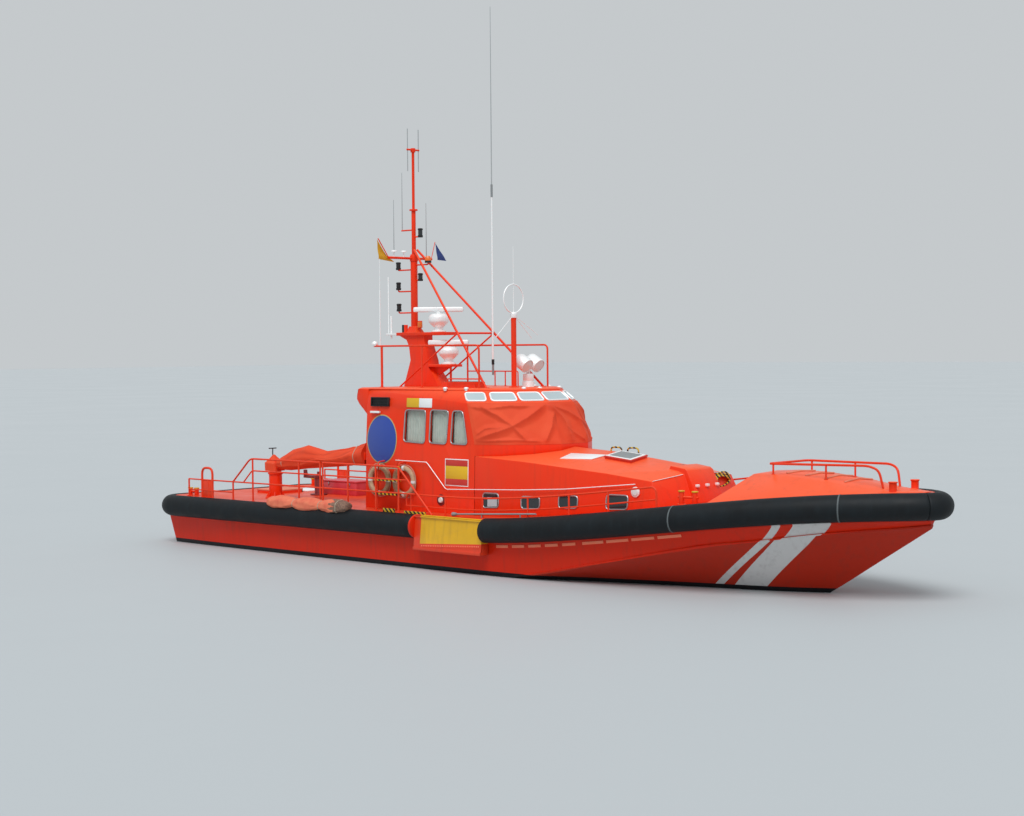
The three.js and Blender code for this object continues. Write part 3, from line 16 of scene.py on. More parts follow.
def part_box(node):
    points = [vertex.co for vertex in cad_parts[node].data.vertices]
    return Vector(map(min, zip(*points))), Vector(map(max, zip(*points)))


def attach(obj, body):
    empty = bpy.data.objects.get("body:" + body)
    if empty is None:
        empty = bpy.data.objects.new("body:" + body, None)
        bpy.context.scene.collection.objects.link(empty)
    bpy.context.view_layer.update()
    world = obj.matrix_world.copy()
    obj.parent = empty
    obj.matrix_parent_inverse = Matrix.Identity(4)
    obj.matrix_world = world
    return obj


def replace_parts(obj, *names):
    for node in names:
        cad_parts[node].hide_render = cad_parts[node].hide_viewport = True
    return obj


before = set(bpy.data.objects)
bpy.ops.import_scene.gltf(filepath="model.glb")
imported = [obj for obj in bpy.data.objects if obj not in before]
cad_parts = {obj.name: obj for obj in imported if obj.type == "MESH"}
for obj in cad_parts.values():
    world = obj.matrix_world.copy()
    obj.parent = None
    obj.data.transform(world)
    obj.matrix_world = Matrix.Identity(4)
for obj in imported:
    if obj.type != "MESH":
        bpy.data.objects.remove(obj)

log = logging.getLogger("rescue_boat")

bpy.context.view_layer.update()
MM = 0.001
Piece = bpy.types.Object
Socket = bpy.types.NodeSocket
Tree = bpy.types.NodeTree
Node = bpy.types.Node


class Side(Enum):
    """The two sides of the boat, as the sign of Y."""

    STARBOARD = -1
    PORT = 1

    @property
    def word(self) -> str:
        """The side's name as the nodes write it."""
        return self.name.lower()


# Finishes


def srgb(code: str) -> tuple[float, float, float, float]:
    """Turn an sRGB hex colour to linear.

    Args:
        code: Six hex digits.

    Returns:
        Linear red, green, blue and an alpha of 1.
    """
    channels = [int(code[i : i + 2], 16) / 255 for i in (0, 2, 4)]
    linear = [c / 12.92 if c <= 0.04045 else ((c + 0.055) / 1.055) ** 2.4 for c in channels]
    return (*linear, 1.0)


def add_node(tree: Tree, kind: str, inputs: dict | None = None, **settings: object) -> Node:
    """Add one node with its settings and links.

    Args:
        tree: The material's node tree.
        kind: The node's type.
        inputs: A value or a linked socket for each input, by name or number.
        settings: The node's own properties.

    Returns:
        The node.
    """
    made = tree.nodes.new(kind)
    for name, value in settings.items():
        setattr(made, name, value)
    for name, value in (inputs or {}).items():
        if isinstance(value, Socket):
            tree.links.new(value, made.inputs[name])
        else:
            made.inputs[name].default_value = value
    return made


def mixed(tree: Tree, factor: Socket | float, first: Socket | tuple, second: Socket | tuple) -> Socket:
    """Mix two colours and return the result."""
    made = add_node(tree, "ShaderNodeMix", {0: factor, 6: first, 7: second}, data_type="RGBA")
    return made.outputs[2]


def sum_of(tree: Tree, operation: str, first: Socket | float, second: Socket | float) -> Socket:
    """Take one arithmetic step on two values and return the result."""
    return add_node(tree, "ShaderNodeMath", {0: first, 1: second}, operation=operation).outputs[0]


def noise_of(tree: Tree, place: Socket, scale: float, detail: float) -> Socket:
    """A noise pattern of a scale over a place."""
    inputs = {"Vector": place, "Scale": scale, "Detail": detail}
    return add_node(tree, "ShaderNodeTexNoise", inputs).outputs[0]


def ramp(tree: Tree, value: Socket, span: tuple, low: float = 0.0, high: float = 1.0) -> Socket:
    """A value that runs from low to high while another runs over a span."""
    inputs = {"Value": value, "From Min": span[0], "From Max": span[1], "To Min": low, "To Max": high}
    return add_node(tree, "ShaderNodeMapRange", inputs).outputs[0]


def axes_of(tree: Tree, vector: Socket) -> Iterable[Socket]:
    """The x, y and z of a vector."""
    return add_node(tree, "ShaderNodeSeparateXYZ", {0: vector}).outputs


def facing_up(tree: Tree) -> Socket:
    """How far the face looks up, from -1 to 1."""
    _, _, up = axes_of(tree, add_node(tree, "ShaderNodeNewGeometry").outputs["Normal"])
    return up


def leaning(tree: Tree, x: Socket, z: Socket, start: float, lean: float) -> Socket:
    """1 where x lies past a line that starts at the waterline and leans with height, or 0."""
    upright = sum_of(tree, "SUBTRACT", x, sum_of(tree, "MULTIPLY", z, lean))
    return sum_of(tree, "GREATER_THAN", upright, start)


# The parts of the noise that show as worn patches and as streaks, and how far streaks are drawn out
PATCH_SPAN = (0.35, 0.7)
STREAK_SPAN = (0.52, 0.78)
STREAK_SCALE = (9.0, 9.0, 0.7)
GRAIN_STRENGTH = 0.7
COAT_ROUGHNESS = 0.12


@dataclass(frozen=True)
class Finish:
    """A surface of one base material: its colour, its wear and its grain.

    Patches of the worn colour are soft clouds of a real size, streaks run down as rain leaves
    them, and the grain is the fine unevenness of the surface itself.
    """

    name: str
    colour: str
    worn: str
    roughness: float = 0.5
    metallic: float = 0.0
    patch_mm: float = 700.0
    wear: float = 0.5
    streaks: float = 0.0
    streak_colour: str = "5a3a30"
    grain_mm: float = 9.0
    grain_depth_mm: float = 0.15
    coat: float = 0.0
    specular: float = 0.5

    def paint(self, tree: Tree, place: Socket, patches: Socket) -> Socket:
        """The base colour before streaks: by default the two colours mixed in patches."""
        amount = sum_of(tree, "MULTIPLY", patches, self.wear)
        return mixed(tree, amount, srgb(self.colour), srgb(self.worn))

    def relief(self, tree: Tree, place: Socket) -> tuple[Socket, float]:
        """The height pattern of the grain and its depth in metres."""
        return noise_of(tree, place, 1 / (self.grain_mm * MM), 2.0), self.grain_depth_mm * MM

    def build(self) -> bpy.types.Material:
        """Make the material, or return it if it is made.

        Returns:
            The material.
        """
        known = bpy.data.materials.get(self.name)
        if known:
            return known
        material = bpy.data.materials.new(self.name)
        material.use_nodes = True
        tree = material.node_tree
        shader = tree.nodes["Principled BSDF"]
        place = add_node(tree, "ShaderNodeTexCoord").outputs["Object"]
        patches = ramp(tree, noise_of(tree, place, 1 / (self.patch_mm * MM), 5.0), PATCH_SPAN)
        colour = self.paint(tree, place, patches)
        if self.streaks:
            stretch = {"Vector": place, "Scale": STREAK_SCALE}
            drawn = add_node(tree, "ShaderNodeMapping", stretch).outputs[0]
            rain = ramp(tree, noise_of(tree, drawn, 1.0, 6.0), STREAK_SPAN)
            amount = sum_of(tree, "MULTIPLY", rain, self.streaks)
            colour = mixed(tree, amount, colour, srgb(self.streak_colour))
        rough = ramp(tree, patches, (0.0, 1.0), self.roughness - 0.05, self.roughness + 0.08)
        height, depth = self.relief(tree, place)
        surface = {"Height": height, "Distance": depth, "Strength": GRAIN_STRENGTH}
        bump = add_node(tree, "ShaderNodeBump", surface)
        tree.links.new(colour, shader.inputs["Base Color"])
        tree.links.new(rough, shader.inputs["Roughness"])
        tree.links.new(bump.outputs[0], shader.inputs["Normal"])
        shader.inputs["Metallic"].default_value = self.metallic
        shader.inputs["Coat Weight"].default_value = self.coat
        shader.inputs["Coat Roughness"].default_value = COAT_ROUGHNESS
        shader.inputs["Specular IOR Level"].default_value = self.specular
        return material


@dataclass(frozen=True)
class SunlitEnamel(Finish):
    """Gloss enamel whose faces that look up have gone chalky in the sun."""

    chalk: str = "f5683c"
    # How far a face looks up where the chalk begins and where it is full, and how strong it is then
    chalk_span: tuple = (0.45, 0.95)
    chalk_most: float = 0.75

    def paint(self, tree: Tree, place: Socket, patches: Socket) -> Socket:
        """The enamel, paler where the face looks up.

        Args:
            tree: The material's node tree.
            place: The place on the piece.
            patches: How worn each place is, from 0 to 1.

        Returns:
            The colour.
        """
        base = super().paint(tree, place, patches)
        up = ramp(tree, facing_up(tree), self.chalk_span, high=self.chalk_most)
        return mixed(tree, up, base, srgb(self.chalk))


@dataclass(frozen=True)
class HullPaint(Finish):
    """The hull's coats: enamel, black boot-top, dark bottom paint, two bow stripes and the deck, with
    painted shade under the chine.
    """

    # A deeper red under the chine: painted shade where the plating looks down
    under_chine_shade: str = "b92a12"
    stripe: str = "d3d3d2"
    boot_top: str = "15161a"
    bottom: str = "4a1a18"
    deck: str = "e24a26"
    boot_top_z: float = 0.1
    bottom_z: float = -0.12
    belt_z: float = 1.75
    # Where a face counts as deck: how far it looks up, and above which height
    deck_level: float = 0.9
    deck_z: float = 1.0
    # The chine's height at x = 0 and its slope, aft and fore
    chine: tuple = ((-0.263, 0.19), (0.04, 0.143))
    # Each stripe's aft and fore edges, first under the chine and then over it, each as x at the
    # waterline and lean
    stripes: tuple = (
        ((5.73, 1.43), (5.91, 1.43), (6.06, 1.13), (6.21, 1.13)),
        ((6.15, 1.268), (6.805, 1.244), (6.281, 1.228), (6.726, 1.355)),
    )

    def paint(self, tree: Tree, place: Socket, patches: Socket) -> Socket:
        """The coats, one over another, by place, with painted shade under the chine.

        Args:
            tree: The material's node tree.
            place: The place on the piece.
            patches: How worn each place is, from 0 to 1.

        Returns:
            The colour.
        """
        colour = super().paint(tree, place, patches)
        x, _, z = axes_of(tree, place)
        heights = []
        for foot, slope in self.chine:
            heights.append(sum_of(tree, "ADD", sum_of(tree, "MULTIPLY", x, slope), foot))
        # Painted shade: the plating under the chine is darker
        under = sum_of(tree, "LESS_THAN", z, sum_of(tree, "MINIMUM", *heights))
        colour = mixed(tree, under, colour, srgb(self.under_chine_shade))
        below_belt = sum_of(tree, "LESS_THAN", z, self.belt_z)
        for edges in self.stripes:
            past = [leaning(tree, x, z, *edge) for edge in edges]
            low = sum_of(tree, "SUBTRACT", past[0], past[1])
            high = sum_of(tree, "SUBTRACT", past[2], past[3])
            pair = {0: under, 2: high, 3: low}
            choice = add_node(tree, "ShaderNodeMix", pair, data_type="FLOAT").outputs[0]
            shown = sum_of(tree, "MULTIPLY", choice, below_belt)
            colour = mixed(tree, shown, colour, srgb(self.stripe))
        for top, paint in ((self.boot_top_z, self.boot_top), (self.bottom_z, self.bottom)):
            colour = mixed(tree, sum_of(tree, "LESS_THAN", z, top), colour, srgb(paint))
        level = sum_of(tree, "GREATER_THAN", facing_up(tree), self.deck_level)
        deck = sum_of(tree, "MULTIPLY", level, sum_of(tree, "GREATER_THAN", z, self.deck_z))
        return mixed(tree, deck, colour, srgb(self.deck))


@dataclass(frozen=True)
class SplitPaint(Finish):
    """Two plain colours: the second lies under a height, which rises forward, and aft of a place."""

    second: str = "d83a18"
    # The height where they meet at x = 0 and its slope, and the place that the second lies aft of
    meet_z: float = 0.655
    rise: float = 0.055
    meet_x: float = -1.03

    def paint(self, tree: Tree, place: Socket, patches: Socket) -> Socket:
        """The first colour past both meeting lines, the second before either.

        Args:
            tree: The material's node tree.
            place: The place on the piece.
            patches: How worn each place is, from 0 to 1.

        Returns:
            The colour.
        """
        x, _, z = axes_of(tree, place)
        level = sum_of(tree, "SUBTRACT", z, sum_of(tree, "MULTIPLY", x, self.rise))
        under = sum_of(tree, "LESS_THAN", level, self.meet_z)
        aft = sum_of(tree, "LESS_THAN", x, self.meet_x)
        before = sum_of(tree, "MAXIMUM", under, aft)
        return mixed(tree, before, super().paint(tree, place, patches), srgb(self.second))


@dataclass(frozen=True)
class HazardPaint(Finish):
    """Slanting stripes of two colours."""

    stripe: str = "17181a"
    pitch_mm: float = 130.0

    def paint(self, tree: Tree, place: Socket, patches: Socket) -> Socket:
        """Stripes that slant the same way along each axis.

        Args:
            tree: The material's node tree.
            place: The place on the piece.
            patches: How worn each place is, from 0 to 1.

        Returns:
            The colour.
        """
        x, y, z = axes_of(tree, place)
        along = sum_of(tree, "ADD", sum_of(tree, "ADD", x, y), z)
        share = sum_of(tree, "FRACT", sum_of(tree, "DIVIDE", along, self.pitch_mm * MM), 0.0)
        striped = sum_of(tree, "LESS_THAN", share, 0.5)
        return mixed(tree, striped, super().paint(tree, place, patches), srgb(self.stripe))


@dataclass(frozen=True)
class Cloth(Finish):
    """Woven cloth: the weave shows as two crossed sets of threads, drawn coarser than real."""

    thread_mm: float = 7.0
    weave_depth_mm: float = 0.4
    # The colour of the painted shade on the shadow side of creases
    crease_shade_colour: str = "a82c12"

    def paint(self, tree: Tree, place: Socket, patches: Socket) -> Socket:
        """The cloth, darker with painted shade on the shadow side of its creases, which the piece's own
        attribute marks.
        """
        marks = add_node(tree, "ShaderNodeAttribute", attribute_name="crease").outputs["Fac"]
        return mixed(tree, marks, super().paint(tree, place, patches), srgb(self.crease_shade_colour))

    def relief(self, tree: Tree, place: Socket) -> tuple[Socket, float]:
        """Threads along the cloth and down it.

        Args:
            tree: The material's node tree.
            place: The place on the piece.

        Returns:
            The height pattern and its depth in metres.
        """
        heights = []
        inputs = {"Vector": place, "Scale": 1 / (self.thread_mm * MM) / math.tau, "Distortion": 0.4}
        for way in ("X", "Z"):
            settings = {"wave_type": "BANDS", "bands_direction": way, "wave_profile": "SIN"}
            heights.append(add_node(tree, "ShaderNodeTexWave", inputs, **settings).outputs[1])
        return sum_of(tree, "MULTIPLY", *heights), self.weave_depth_mm * MM


@dataclass(frozen=True)
class Glazing(Finish):
    """Tinted window glass, thin and smooth."""

    body: float = 0.13
    bending: float = 1.5

    def build(self) -> bpy.types.Material:
        """Glass with its body colour: it shines, and what stands behind it shows through.

        Returns:
            The material.
        """
        material = super().build()
        shader = material.node_tree.nodes["Principled BSDF"]
        shader.inputs["Alpha"].default_value = self.body
        shader.inputs["IOR"].default_value = self.bending
        return material


# Sprayed two-pack enamel on welded aluminium: even, glossy, a little faded and streaked by rain
ENAMEL = SunlitEnamel(
    "orange_marine_enamel", "ec330c", "e2421f", 0.36, wear=0.4, streaks=0.15, specular=0.25
)
# The same enamel on the hull, painted deeper as shade because its sides look down or level, with its other
# coats
HULL = HullPaint("hull_marine_enamel", "db280a", "ce2e10", 0.38, wear=0.5, streaks=0.2, specular=0.2)
# Rails are handled and salted, so their enamel is duller
RAIL = Finish("orange_rail_enamel", "e83a14", "cc4a2c", 0.4, patch_mm=300, wear=0.4, specular=0.3)
# Deck paint with grit in it: matt, faded, grey where it is walked on
DECK = Finish("non_slip_deck_paint", "e08468", "cc7c66", 0.8, wear=0.6, grain_mm=5, grain_depth_mm=0.8)
# A closed-cell foam fender in a sprayed polyurethane skin: satin black, scuffed brown-grey
RUBBER = Finish(
    "black_polyurethane_skin", "070c10", "121b20", 0.58, patch_mm=350, wear=0.7, streaks=0.25,
    streak_colour="222c30", grain_mm=25, grain_depth_mm=0.9, specular=0.28,
)
# The bitts' caps: yellow enamel, knocked and streaked
YELLOW = Finish("yellow_deck_enamel", "dba70f", "c79a1c", 0.45, wear=0.7, streaks=0.25, grain_mm=14)
# Salmon pads and studs of faded enamel, paler than the plating round them
PAD = Finish("faded_pad_enamel", "fa7a58", "f08a6c", 0.5, patch_mm=120, wear=0.8, specular=0.3)
# The rescue zones: the same yellow, orange at their aft end and foot
ZONE = SplitPaint("yellow_rescue_enamel", "e0ab0c", "cb9c18", 0.45, wear=0.7, streaks=0.25)
# Treads, hoops and deck edges that mustn't be overlooked: yellow with black stripes
HAZARD = HazardPaint("hazard_stripe_paint", "d8b21c", "b99a2a", 0.5)
# The straps where two lengths of fender meet: the same skin, grey with salt
SEAM = Finish("grey_fender_seam", "5b6264", "3c4244", 0.6)
# PVC-coated polyester canvas: matt orange, paler in worn patches, its creases darkened with painted shade
CANVAS = Cloth("orange_pvc_canvas", "dd4420", "e45a36", 0.7, patch_mm=500, wear=0.6, specular=0.3)
# The net is rolled in salmon canvas; its ragged fore end shows brown-grey mesh
NET = Cloth("salmon_net_canvas", "e07a5a", "d2604a", 0.85, patch_mm=160, wear=0.8)
MESH = Cloth("brown_rescue_mesh", "8a6a58", "5c4a42", 0.9, patch_mm=40, wear=0.9, thread_mm=22)
# Sun-bleached cotton, greenish through the glass
CURTAIN = Cloth("pale_curtain_cotton", "e0e8dd", "c6d2c8", 0.85, patch_mm=160, wear=0.5)
# Laminated glass with a green tint; the brow panes are opaque and pale, a painted reflection of the sky,
# and the cabin's blind takes the same pale paint
GLASS = Glazing("tinted_laminated_glass", "2c3c38", "34443f", 0.06, wear=0.3, grain_depth_mm=0.0)
PAINTED_SKY_AND_BLIND = Finish("sky_lit_glass", "b4c2c6", "a3b4ba", 0.08, wear=0.4, grain_depth_mm=0.0)
DARK_GLASS = Finish(
    "dark_cabin_glass", "0d1317", "1b262b", 0.12, patch_mm=900, grain_depth_mm=0.02, coat=0.6
)
# Powder-coated or sprayed steel and aluminium fittings
WHITE = Finish("white_enamel", "e6e8e6", "cfd1ca", 0.35, streaks=0.2, streak_colour="8d8478", coat=0.2)
DARK = Finish("dark_grey_enamel", "202428", "33383c", 0.45)
BLACK = Finish("black_plastic", "121314", "232526", 0.5)
MAROON = Finish("dark_red_enamel", "6e1a1c", "84262a", 0.45, streaks=0.2)
WHIP = Finish("weathered_whip_fibreglass", "a4aaab", "8f9597", 0.5)
GREY = Finish("grey_enamel", "8c9294", "74797b", 0.5, streaks=0.2, streak_colour="5d5a54")
CRIMSON = Finish("crimson_enamel", "c9303f", "d65a60", 0.4, streaks=0.2, coat=0.2)
BLUE = Finish("blue_enamel", "20409a", "2b4ba0", 0.35, coat=0.3)
RED = Finish("red_enamel", "c32a20", "cf4636", 0.4)
# Bare metal: stainless rubbed by hands and weather, and bronze as cast, darker in its hollows
STEEL = Finish("brushed_stainless", "b9bdbf", "a3a8ab", 0.32, metallic=1.0, patch_mm=120, grain_mm=2)
BRONZE = Finish("cast_propeller_bronze", "b08a48", "8c6a34", 0.35, metallic=1.0, patch_mm=90, grain_mm=4)
# Ring buoys in an old, sun-bleached skin, and the polyester line on them
FOAM = Finish(
    "weathered_ring_buoy_skin", "c0a080", "a98767", 0.75,
    patch_mm=90, wear=0.8, grain_mm=6, grain_depth_mm=0.5,
)
ROPE = Cloth("three_strand_rope", "b9b19d", "8f8875", 0.9, patch_mm=40, thread_mm=12)
# Moulded lamp lenses, ribbed and glossy
LENS = Finish("clear_lamp_lens", "dfe6e4", "c6d0ce", 0.1, grain_mm=12, grain_depth_mm=0.6, coat=0.5)
AMBER = Finish("amber_lamp_lens", "e8741a", "d0600f", 0.15, grain_mm=12, grain_depth_mm=0.6, coat=0.5)
# Wool-like polyester bunting, faded
FLAG_YELLOW = Cloth("yellow_flag_bunting", "d9a520", "b98a1c", 0.8, patch_mm=60)
FLAG_BLUE = Cloth("blue_flag_bunting", "2b3f7c", "3a4c86", 0.8, patch_mm=60)
# Painted plates and rims
YELLOW_PLATE = Finish("yellow_plate_enamel", "e0b318", "cfa41c", 0.45)
GOLD = Finish("dull_gold_enamel", "b9a86a", "a3935a", 0.5)
# The stage's matt floor
FLOOR = Finish("pale_studio_floor", "b7bdc0", "b4babd", 0.6, patch_mm=9000, wear=0.4, grain_depth_mm=0.0)


# Modelling


def turns(count: int) -> list[float]:
    """Equal angles round a circle, in radians."""
    return [math.tau * i / count for i in range(count)]


def clear_selection() -> None:
    """Deselect everything, so that an operator acts on nothing unmeant."""
    bpy.ops.object.select_all(action="DESELECT")


def only(piece: Piece) -> Piece:
    """Select one piece alone and make it active.

    Args:
        piece: The piece.

    Returns:
        The piece.
    """
    clear_selection()
    piece.select_set(True)
    bpy.context.view_layer.objects.active = piece
    return piece


def primitive(name: str, operator: Callable, **values: object) -> Piece:
    """Add a primitive under a name.

    Args:
        name: The new piece's name.
        operator: The bpy.ops function that adds it.
        values: The operator's own values.

    Returns:
        The new piece, its place applied to its mesh.
    """
    clear_selection()
    operator(**values)
    piece = bpy.context.object
    piece.name = name
    bpy.ops.object.transform_apply(location=True, rotation=True, scale=True)
    return piece


def in_edit(piece: Piece, *steps: Callable[[], object]) -> Piece:
    """Run operators on all of a piece's mesh in edit mode.

    Args:
        piece: The piece.
        steps: Functions that each call one operator, in order.

    Returns:
        The piece.
    """
    only(piece)
    bpy.ops.object.mode_set(mode="EDIT")
    for step in steps:
        bpy.ops.mesh.select_all(action="SELECT")
        step()
    bpy.ops.object.mode_set(mode="OBJECT")
    return piece


def modified(piece: Piece, kind: str, **settings: object) -> Piece:
    """Add one modifier and apply it.

    Args:
        piece: The piece.
        kind: The modifier's type.
        settings: The modifier's own properties.

    Returns:
        The piece.
    """
    only(piece)
    modifier = piece.modifiers.new(kind.lower(), kind)
    for name, value in settings.items():
        setattr(modifier, name, value)
    bpy.ops.object.modifier_apply(modifier=modifier.name)
    return piece


def bevelled(piece: Piece, width: float, segments: int = 2, angle: float = 30) -> Piece:
    """Round a piece's edges that turn by more than an angle."""
    limits = {"limit_method": "ANGLE", "angle_limit": math.radians(angle), "use_clamp_overlap": False}
    return modified(piece, "BEVEL", width=width, segments=segments, **limits)


def smoothed(piece: Piece, angle: float = 35) -> Piece:
    """Shade a piece smooth, with creases past an angle.

    Args:
        piece: The piece.
        angle: The sharpest turn that is shaded smooth, in degrees.

    Returns:
        The piece.
    """
    only(piece)
    bpy.ops.object.shade_smooth_by_angle(angle=math.radians(angle))
    return piece


def joined(name: str, pieces: Iterable[Piece]) -> Piece:
    """Join pieces into one mesh.

    Args:
        name: The name of what they make.
        pieces: The pieces, the first of which takes in the others.

    Returns:
        The joined piece.
    """
    pieces = list(pieces)
    only(pieces[0])
    for piece in pieces:
        piece.select_set(True)
    if len(pieces) > 1:
        bpy.ops.object.join()
    pieces[0].name = name
    return pieces[0]


def loft(name: str, rings: Sequence[Sequence[Vector]], closed: bool = True, caps: bool = True) -> Piece:
    """A skin through rings of equally many points, bent from a flat grid.

    Args:
        name: The piece's name.
        rings: The rings, in order along the piece.
        closed: Whether each ring closes on itself.
        caps: Whether the two ends are filled.

    Returns:
        The piece, its faces outwards.
    """
    columns = len(rings[0]) + closed
    size = {"x_subdivisions": columns - 1, "y_subdivisions": len(rings) - 1, "size": 1}
    piece = primitive(name, bpy.ops.mesh.primitive_grid_add, **size)
    points = [point for ring in rings for point in (*ring, *ring[:closed])]
    piece.data.vertices.foreach_set("co", [value for point in points for value in point])
    piece.data.update()
    steps = [lambda: bpy.ops.mesh.remove_doubles(threshold=1e-5)]
    if closed and caps:
        steps.append(lambda: bpy.ops.mesh.fill_holes(sides=0))
    steps.append(lambda: bpy.ops.mesh.normals_make_consistent(inside=False))
    return in_edit(piece, *steps)


def circle(centre: Vector, radius: float, first: Vector, second: Vector, sides: int) -> list[Vector]:
    """Points round a centre in the plane of two directions."""
    ways = [first * (radius * math.cos(a)) + second * (radius * math.sin(a)) for a in turns(sides)]
    return [centre + way for way in ways]


def rounded(points: Sequence[Vector], radius: float, steps: int = 4, closed: bool = False) -> list[Vector]:
    """A path with its corners rounded off.

    Args:
        points: The corners.
        radius: How far along each leg a corner's curve reaches.
        steps: Pieces of each curve.
        closed: Whether the path closes on itself.

    Returns:
        The path's points.
    """
    points = [Vector(p) for p in points]
    path = []
    for i, here in enumerate(points):
        if not closed and i in (0, len(points) - 1):
            path.append(here)
            continue
        before, after = points[i - 1] - here, points[(i + 1) % len(points)] - here
        start = here + before.normalized() * min(radius, before.length * 0.45)
        end = here + after.normalized() * min(radius, after.length * 0.45)
        for step in range(steps + 1):
            t = step / steps
            path.append(start * (1 - t) ** 2 + here * (2 * t * (1 - t)) + end * t**2)
    return path


def tube(
    name: str,
    points: Sequence,
    radius: float,
    corner: float = 0.0,
    sides: int = 12,
    closed: bool = False,
) -> Piece:
    """A round bar along a path.

    Args:
        name: The piece's name.
        points: The path's corners.
        radius: The bar's radius.
        corner: How far along its legs each corner is rounded.
        sides: Faces round the bar.
        closed: Whether the bar closes on itself.

    Returns:
        The piece.
    """
    path = rounded(points, corner, closed=closed) if corner else [Vector(p) for p in points]
    count = len(path)
    rings, side = [], None
    for i, here in enumerate(path):
        before = path[i - 1] if closed or i else here
        after = path[(i + 1) % count] if closed or i < count - 1 else here
        way = (after - before).normalized()
        if side is None:
            side = way.cross(Vector((0, 0, 1)) if abs(way.z) < 0.9 else Vector((0, 1, 0))).normalized()
        side = (side - way * side.dot(way)).normalized()
        rings.append(circle(here, radius, side, way.cross(side), sides))
    if closed:
        rings.append(rings[0])
    return smoothed(loft(name, rings, caps=not closed), 50)


def rod(
    name: str,
    start: Sequence,
    end: Sequence,
    radius: float,
    end_radius: float | None = None,
    sides: int = 20,
    edge: float = 0.0,
) -> Piece:
    """A straight round bar or cone.

    Args:
        name: The piece's name.
        start: The middle of its first end.
        end: The middle of its other end.
        radius: The bar's radius at its start.
        end_radius: The radius at its end, where it tapers.
        sides: Faces round the bar.
        edge: The width of its eased rims, or 0 for sharp ones.

    Returns:
        The piece.
    """
    start, end = Vector(start), Vector(end)
    turn = (end - start).to_track_quat("Z", "Y").to_euler()
    sizes = {"radius1": radius, "radius2": radius if end_radius is None else end_radius}
    place = {"location": (start + end) / 2, "rotation": turn, "depth": (end - start).length}
    piece = primitive(name, bpy.ops.mesh.primitive_cone_add, vertices=sides, **sizes, **place)
    if edge:
        bevelled(piece, edge)
    return smoothed(piece)


def turned(name: str, profile: Sequence[Sequence[float]], centre: Sequence, sides: int = 40) -> Piece:
    """A form turned about an upright axis.

    Args:
        name: The piece's name.
        profile: Pairs of radius and height, from the foot to the top.
        centre: The axis's foot.
        sides: Faces round the form.

    Returns:
        The piece.
    """
    x, y = Vector((1, 0, 0)), Vector((0, 1, 0))
    rings = [circle(Vector(centre) + Vector((0, 0, z)), r, x, y, sides) for r, z in profile]
    return smoothed(loft(name, rings), 40)


def block(name: str, low: Sequence, high: Sequence, edge: float = 0.006) -> Piece:
    """A box with eased edges.

    Args:
        name: The piece's name.
        low: Its lowest corner.
        high: Its highest corner.
        edge: The width of its eased edges.

    Returns:
        The piece.
    """
    low, high = Vector(low), Vector(high)
    place = {"location": (low + high) / 2, "scale": high - low}
    piece = primitive(name, bpy.ops.mesh.primitive_cube_add, size=1, **place)
    return smoothed(bevelled(piece, edge), 30)


def slab(name: str, outline: Sequence, depth: Sequence, edge: float = 0.003) -> Piece:
    """A flat outline given a thickness.

    Args:
        name: The piece's name.
        outline: The outline's points, in one plane.
        depth: The way and distance that it is extruded.
        edge: The width of its eased edges.

    Returns:
        The piece.
    """
    piece = primitive(name, bpy.ops.mesh.primitive_circle_add, vertices=len(outline), fill_type="NGON")
    for vertex, point in zip(piece.data.vertices, outline):
        vertex.co = Vector(point)
    in_edit(
        piece,
        lambda: bpy.ops.mesh.extrude_region_move(TRANSFORM_OT_translate={"value": Vector(depth)}),
        lambda: bpy.ops.mesh.normals_make_consistent(inside=False),
    )
    return smoothed(bevelled(piece, edge) if edge else piece, 30)


def dressed(node: str, edge: float = 0.0, angle: float = 35) -> Piece:
    """A merged copy of a solid with its edges eased.

    Args:
        node: The solid's name.
        edge: The width of the eased edges, or 0 for none.
        angle: The sharpest turn that is shaded smooth, in degrees.

    Returns:
        The copy, which stands for the solid.
    """
    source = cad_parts[node]
    piece = source.copy()
    piece.data = source.data.copy()
    piece.parent = None
    piece.name = node + "_form"
    for key in list(piece.keys()):
        del piece[key]
    bpy.context.scene.collection.objects.link(piece)
    piece.data.materials.clear()
    in_edit(
        piece,
        lambda: bpy.ops.mesh.remove_doubles(threshold=2e-5),
        lambda: bpy.ops.mesh.dissolve_limited(angle_limit=math.radians(0.6)),
    )
    if edge:
        bevelled(piece, edge)
    smoothed(piece, angle)
    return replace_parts(piece, node)


def placed(
    piece: Piece,
    finish: Finish,
    body: str = "boat",
    replaces: Sequence[str] = (),
) -> Piece:
    """Give a finished piece its material, its body and the solids that it stands for.

    Args:
        piece: The piece.
        finish: Its finish.
        body: The body that it rides on.
        replaces: The solids that it stands for.

    Returns:
        The piece.
    """
    piece.data.materials.clear()
    piece.data.materials.append(finish.build())
    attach(piece, body)
    if replaces:
        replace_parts(piece, *replaces)
    log.info("%s rides on %s: %d faces", piece.name, body, len(piece.data.polygons))
    return piece


def marked_crease_shade(piece: Piece, depth: Sequence[float]) -> Piece:
    """Mark how much painted shade each point of a cloth takes in its creases, for its finish to darken.

    Args:
        piece: The cloth.
        depth: A value from 0 to 1 for each of its points.

    Returns:
        The cloth.
    """
    marks = piece.data.attributes.new("crease", "FLOAT", "POINT")
    marks.data.foreach_set("value", depth)
    return piece


def repainted(piece: Piece, finish: Finish, test: Callable[[Vector], bool]) -> Piece:
    """Give some faces of a placed piece another finish.

    Args:
        piece: The piece.
        finish: The other finish.
        test: Whether a face gets it, by the face's middle.

    Returns:
        The piece.
    """
    piece.data.materials.append(finish.build())
    for face in piece.data.polygons:
        if test(face.center):
            face.material_index = len(piece.data.materials) - 1
    return piece


def lerp(a: float, b: float, t: float) -> float:
    """The value a share t of the way from a to b."""
    return a + (b - a) * t


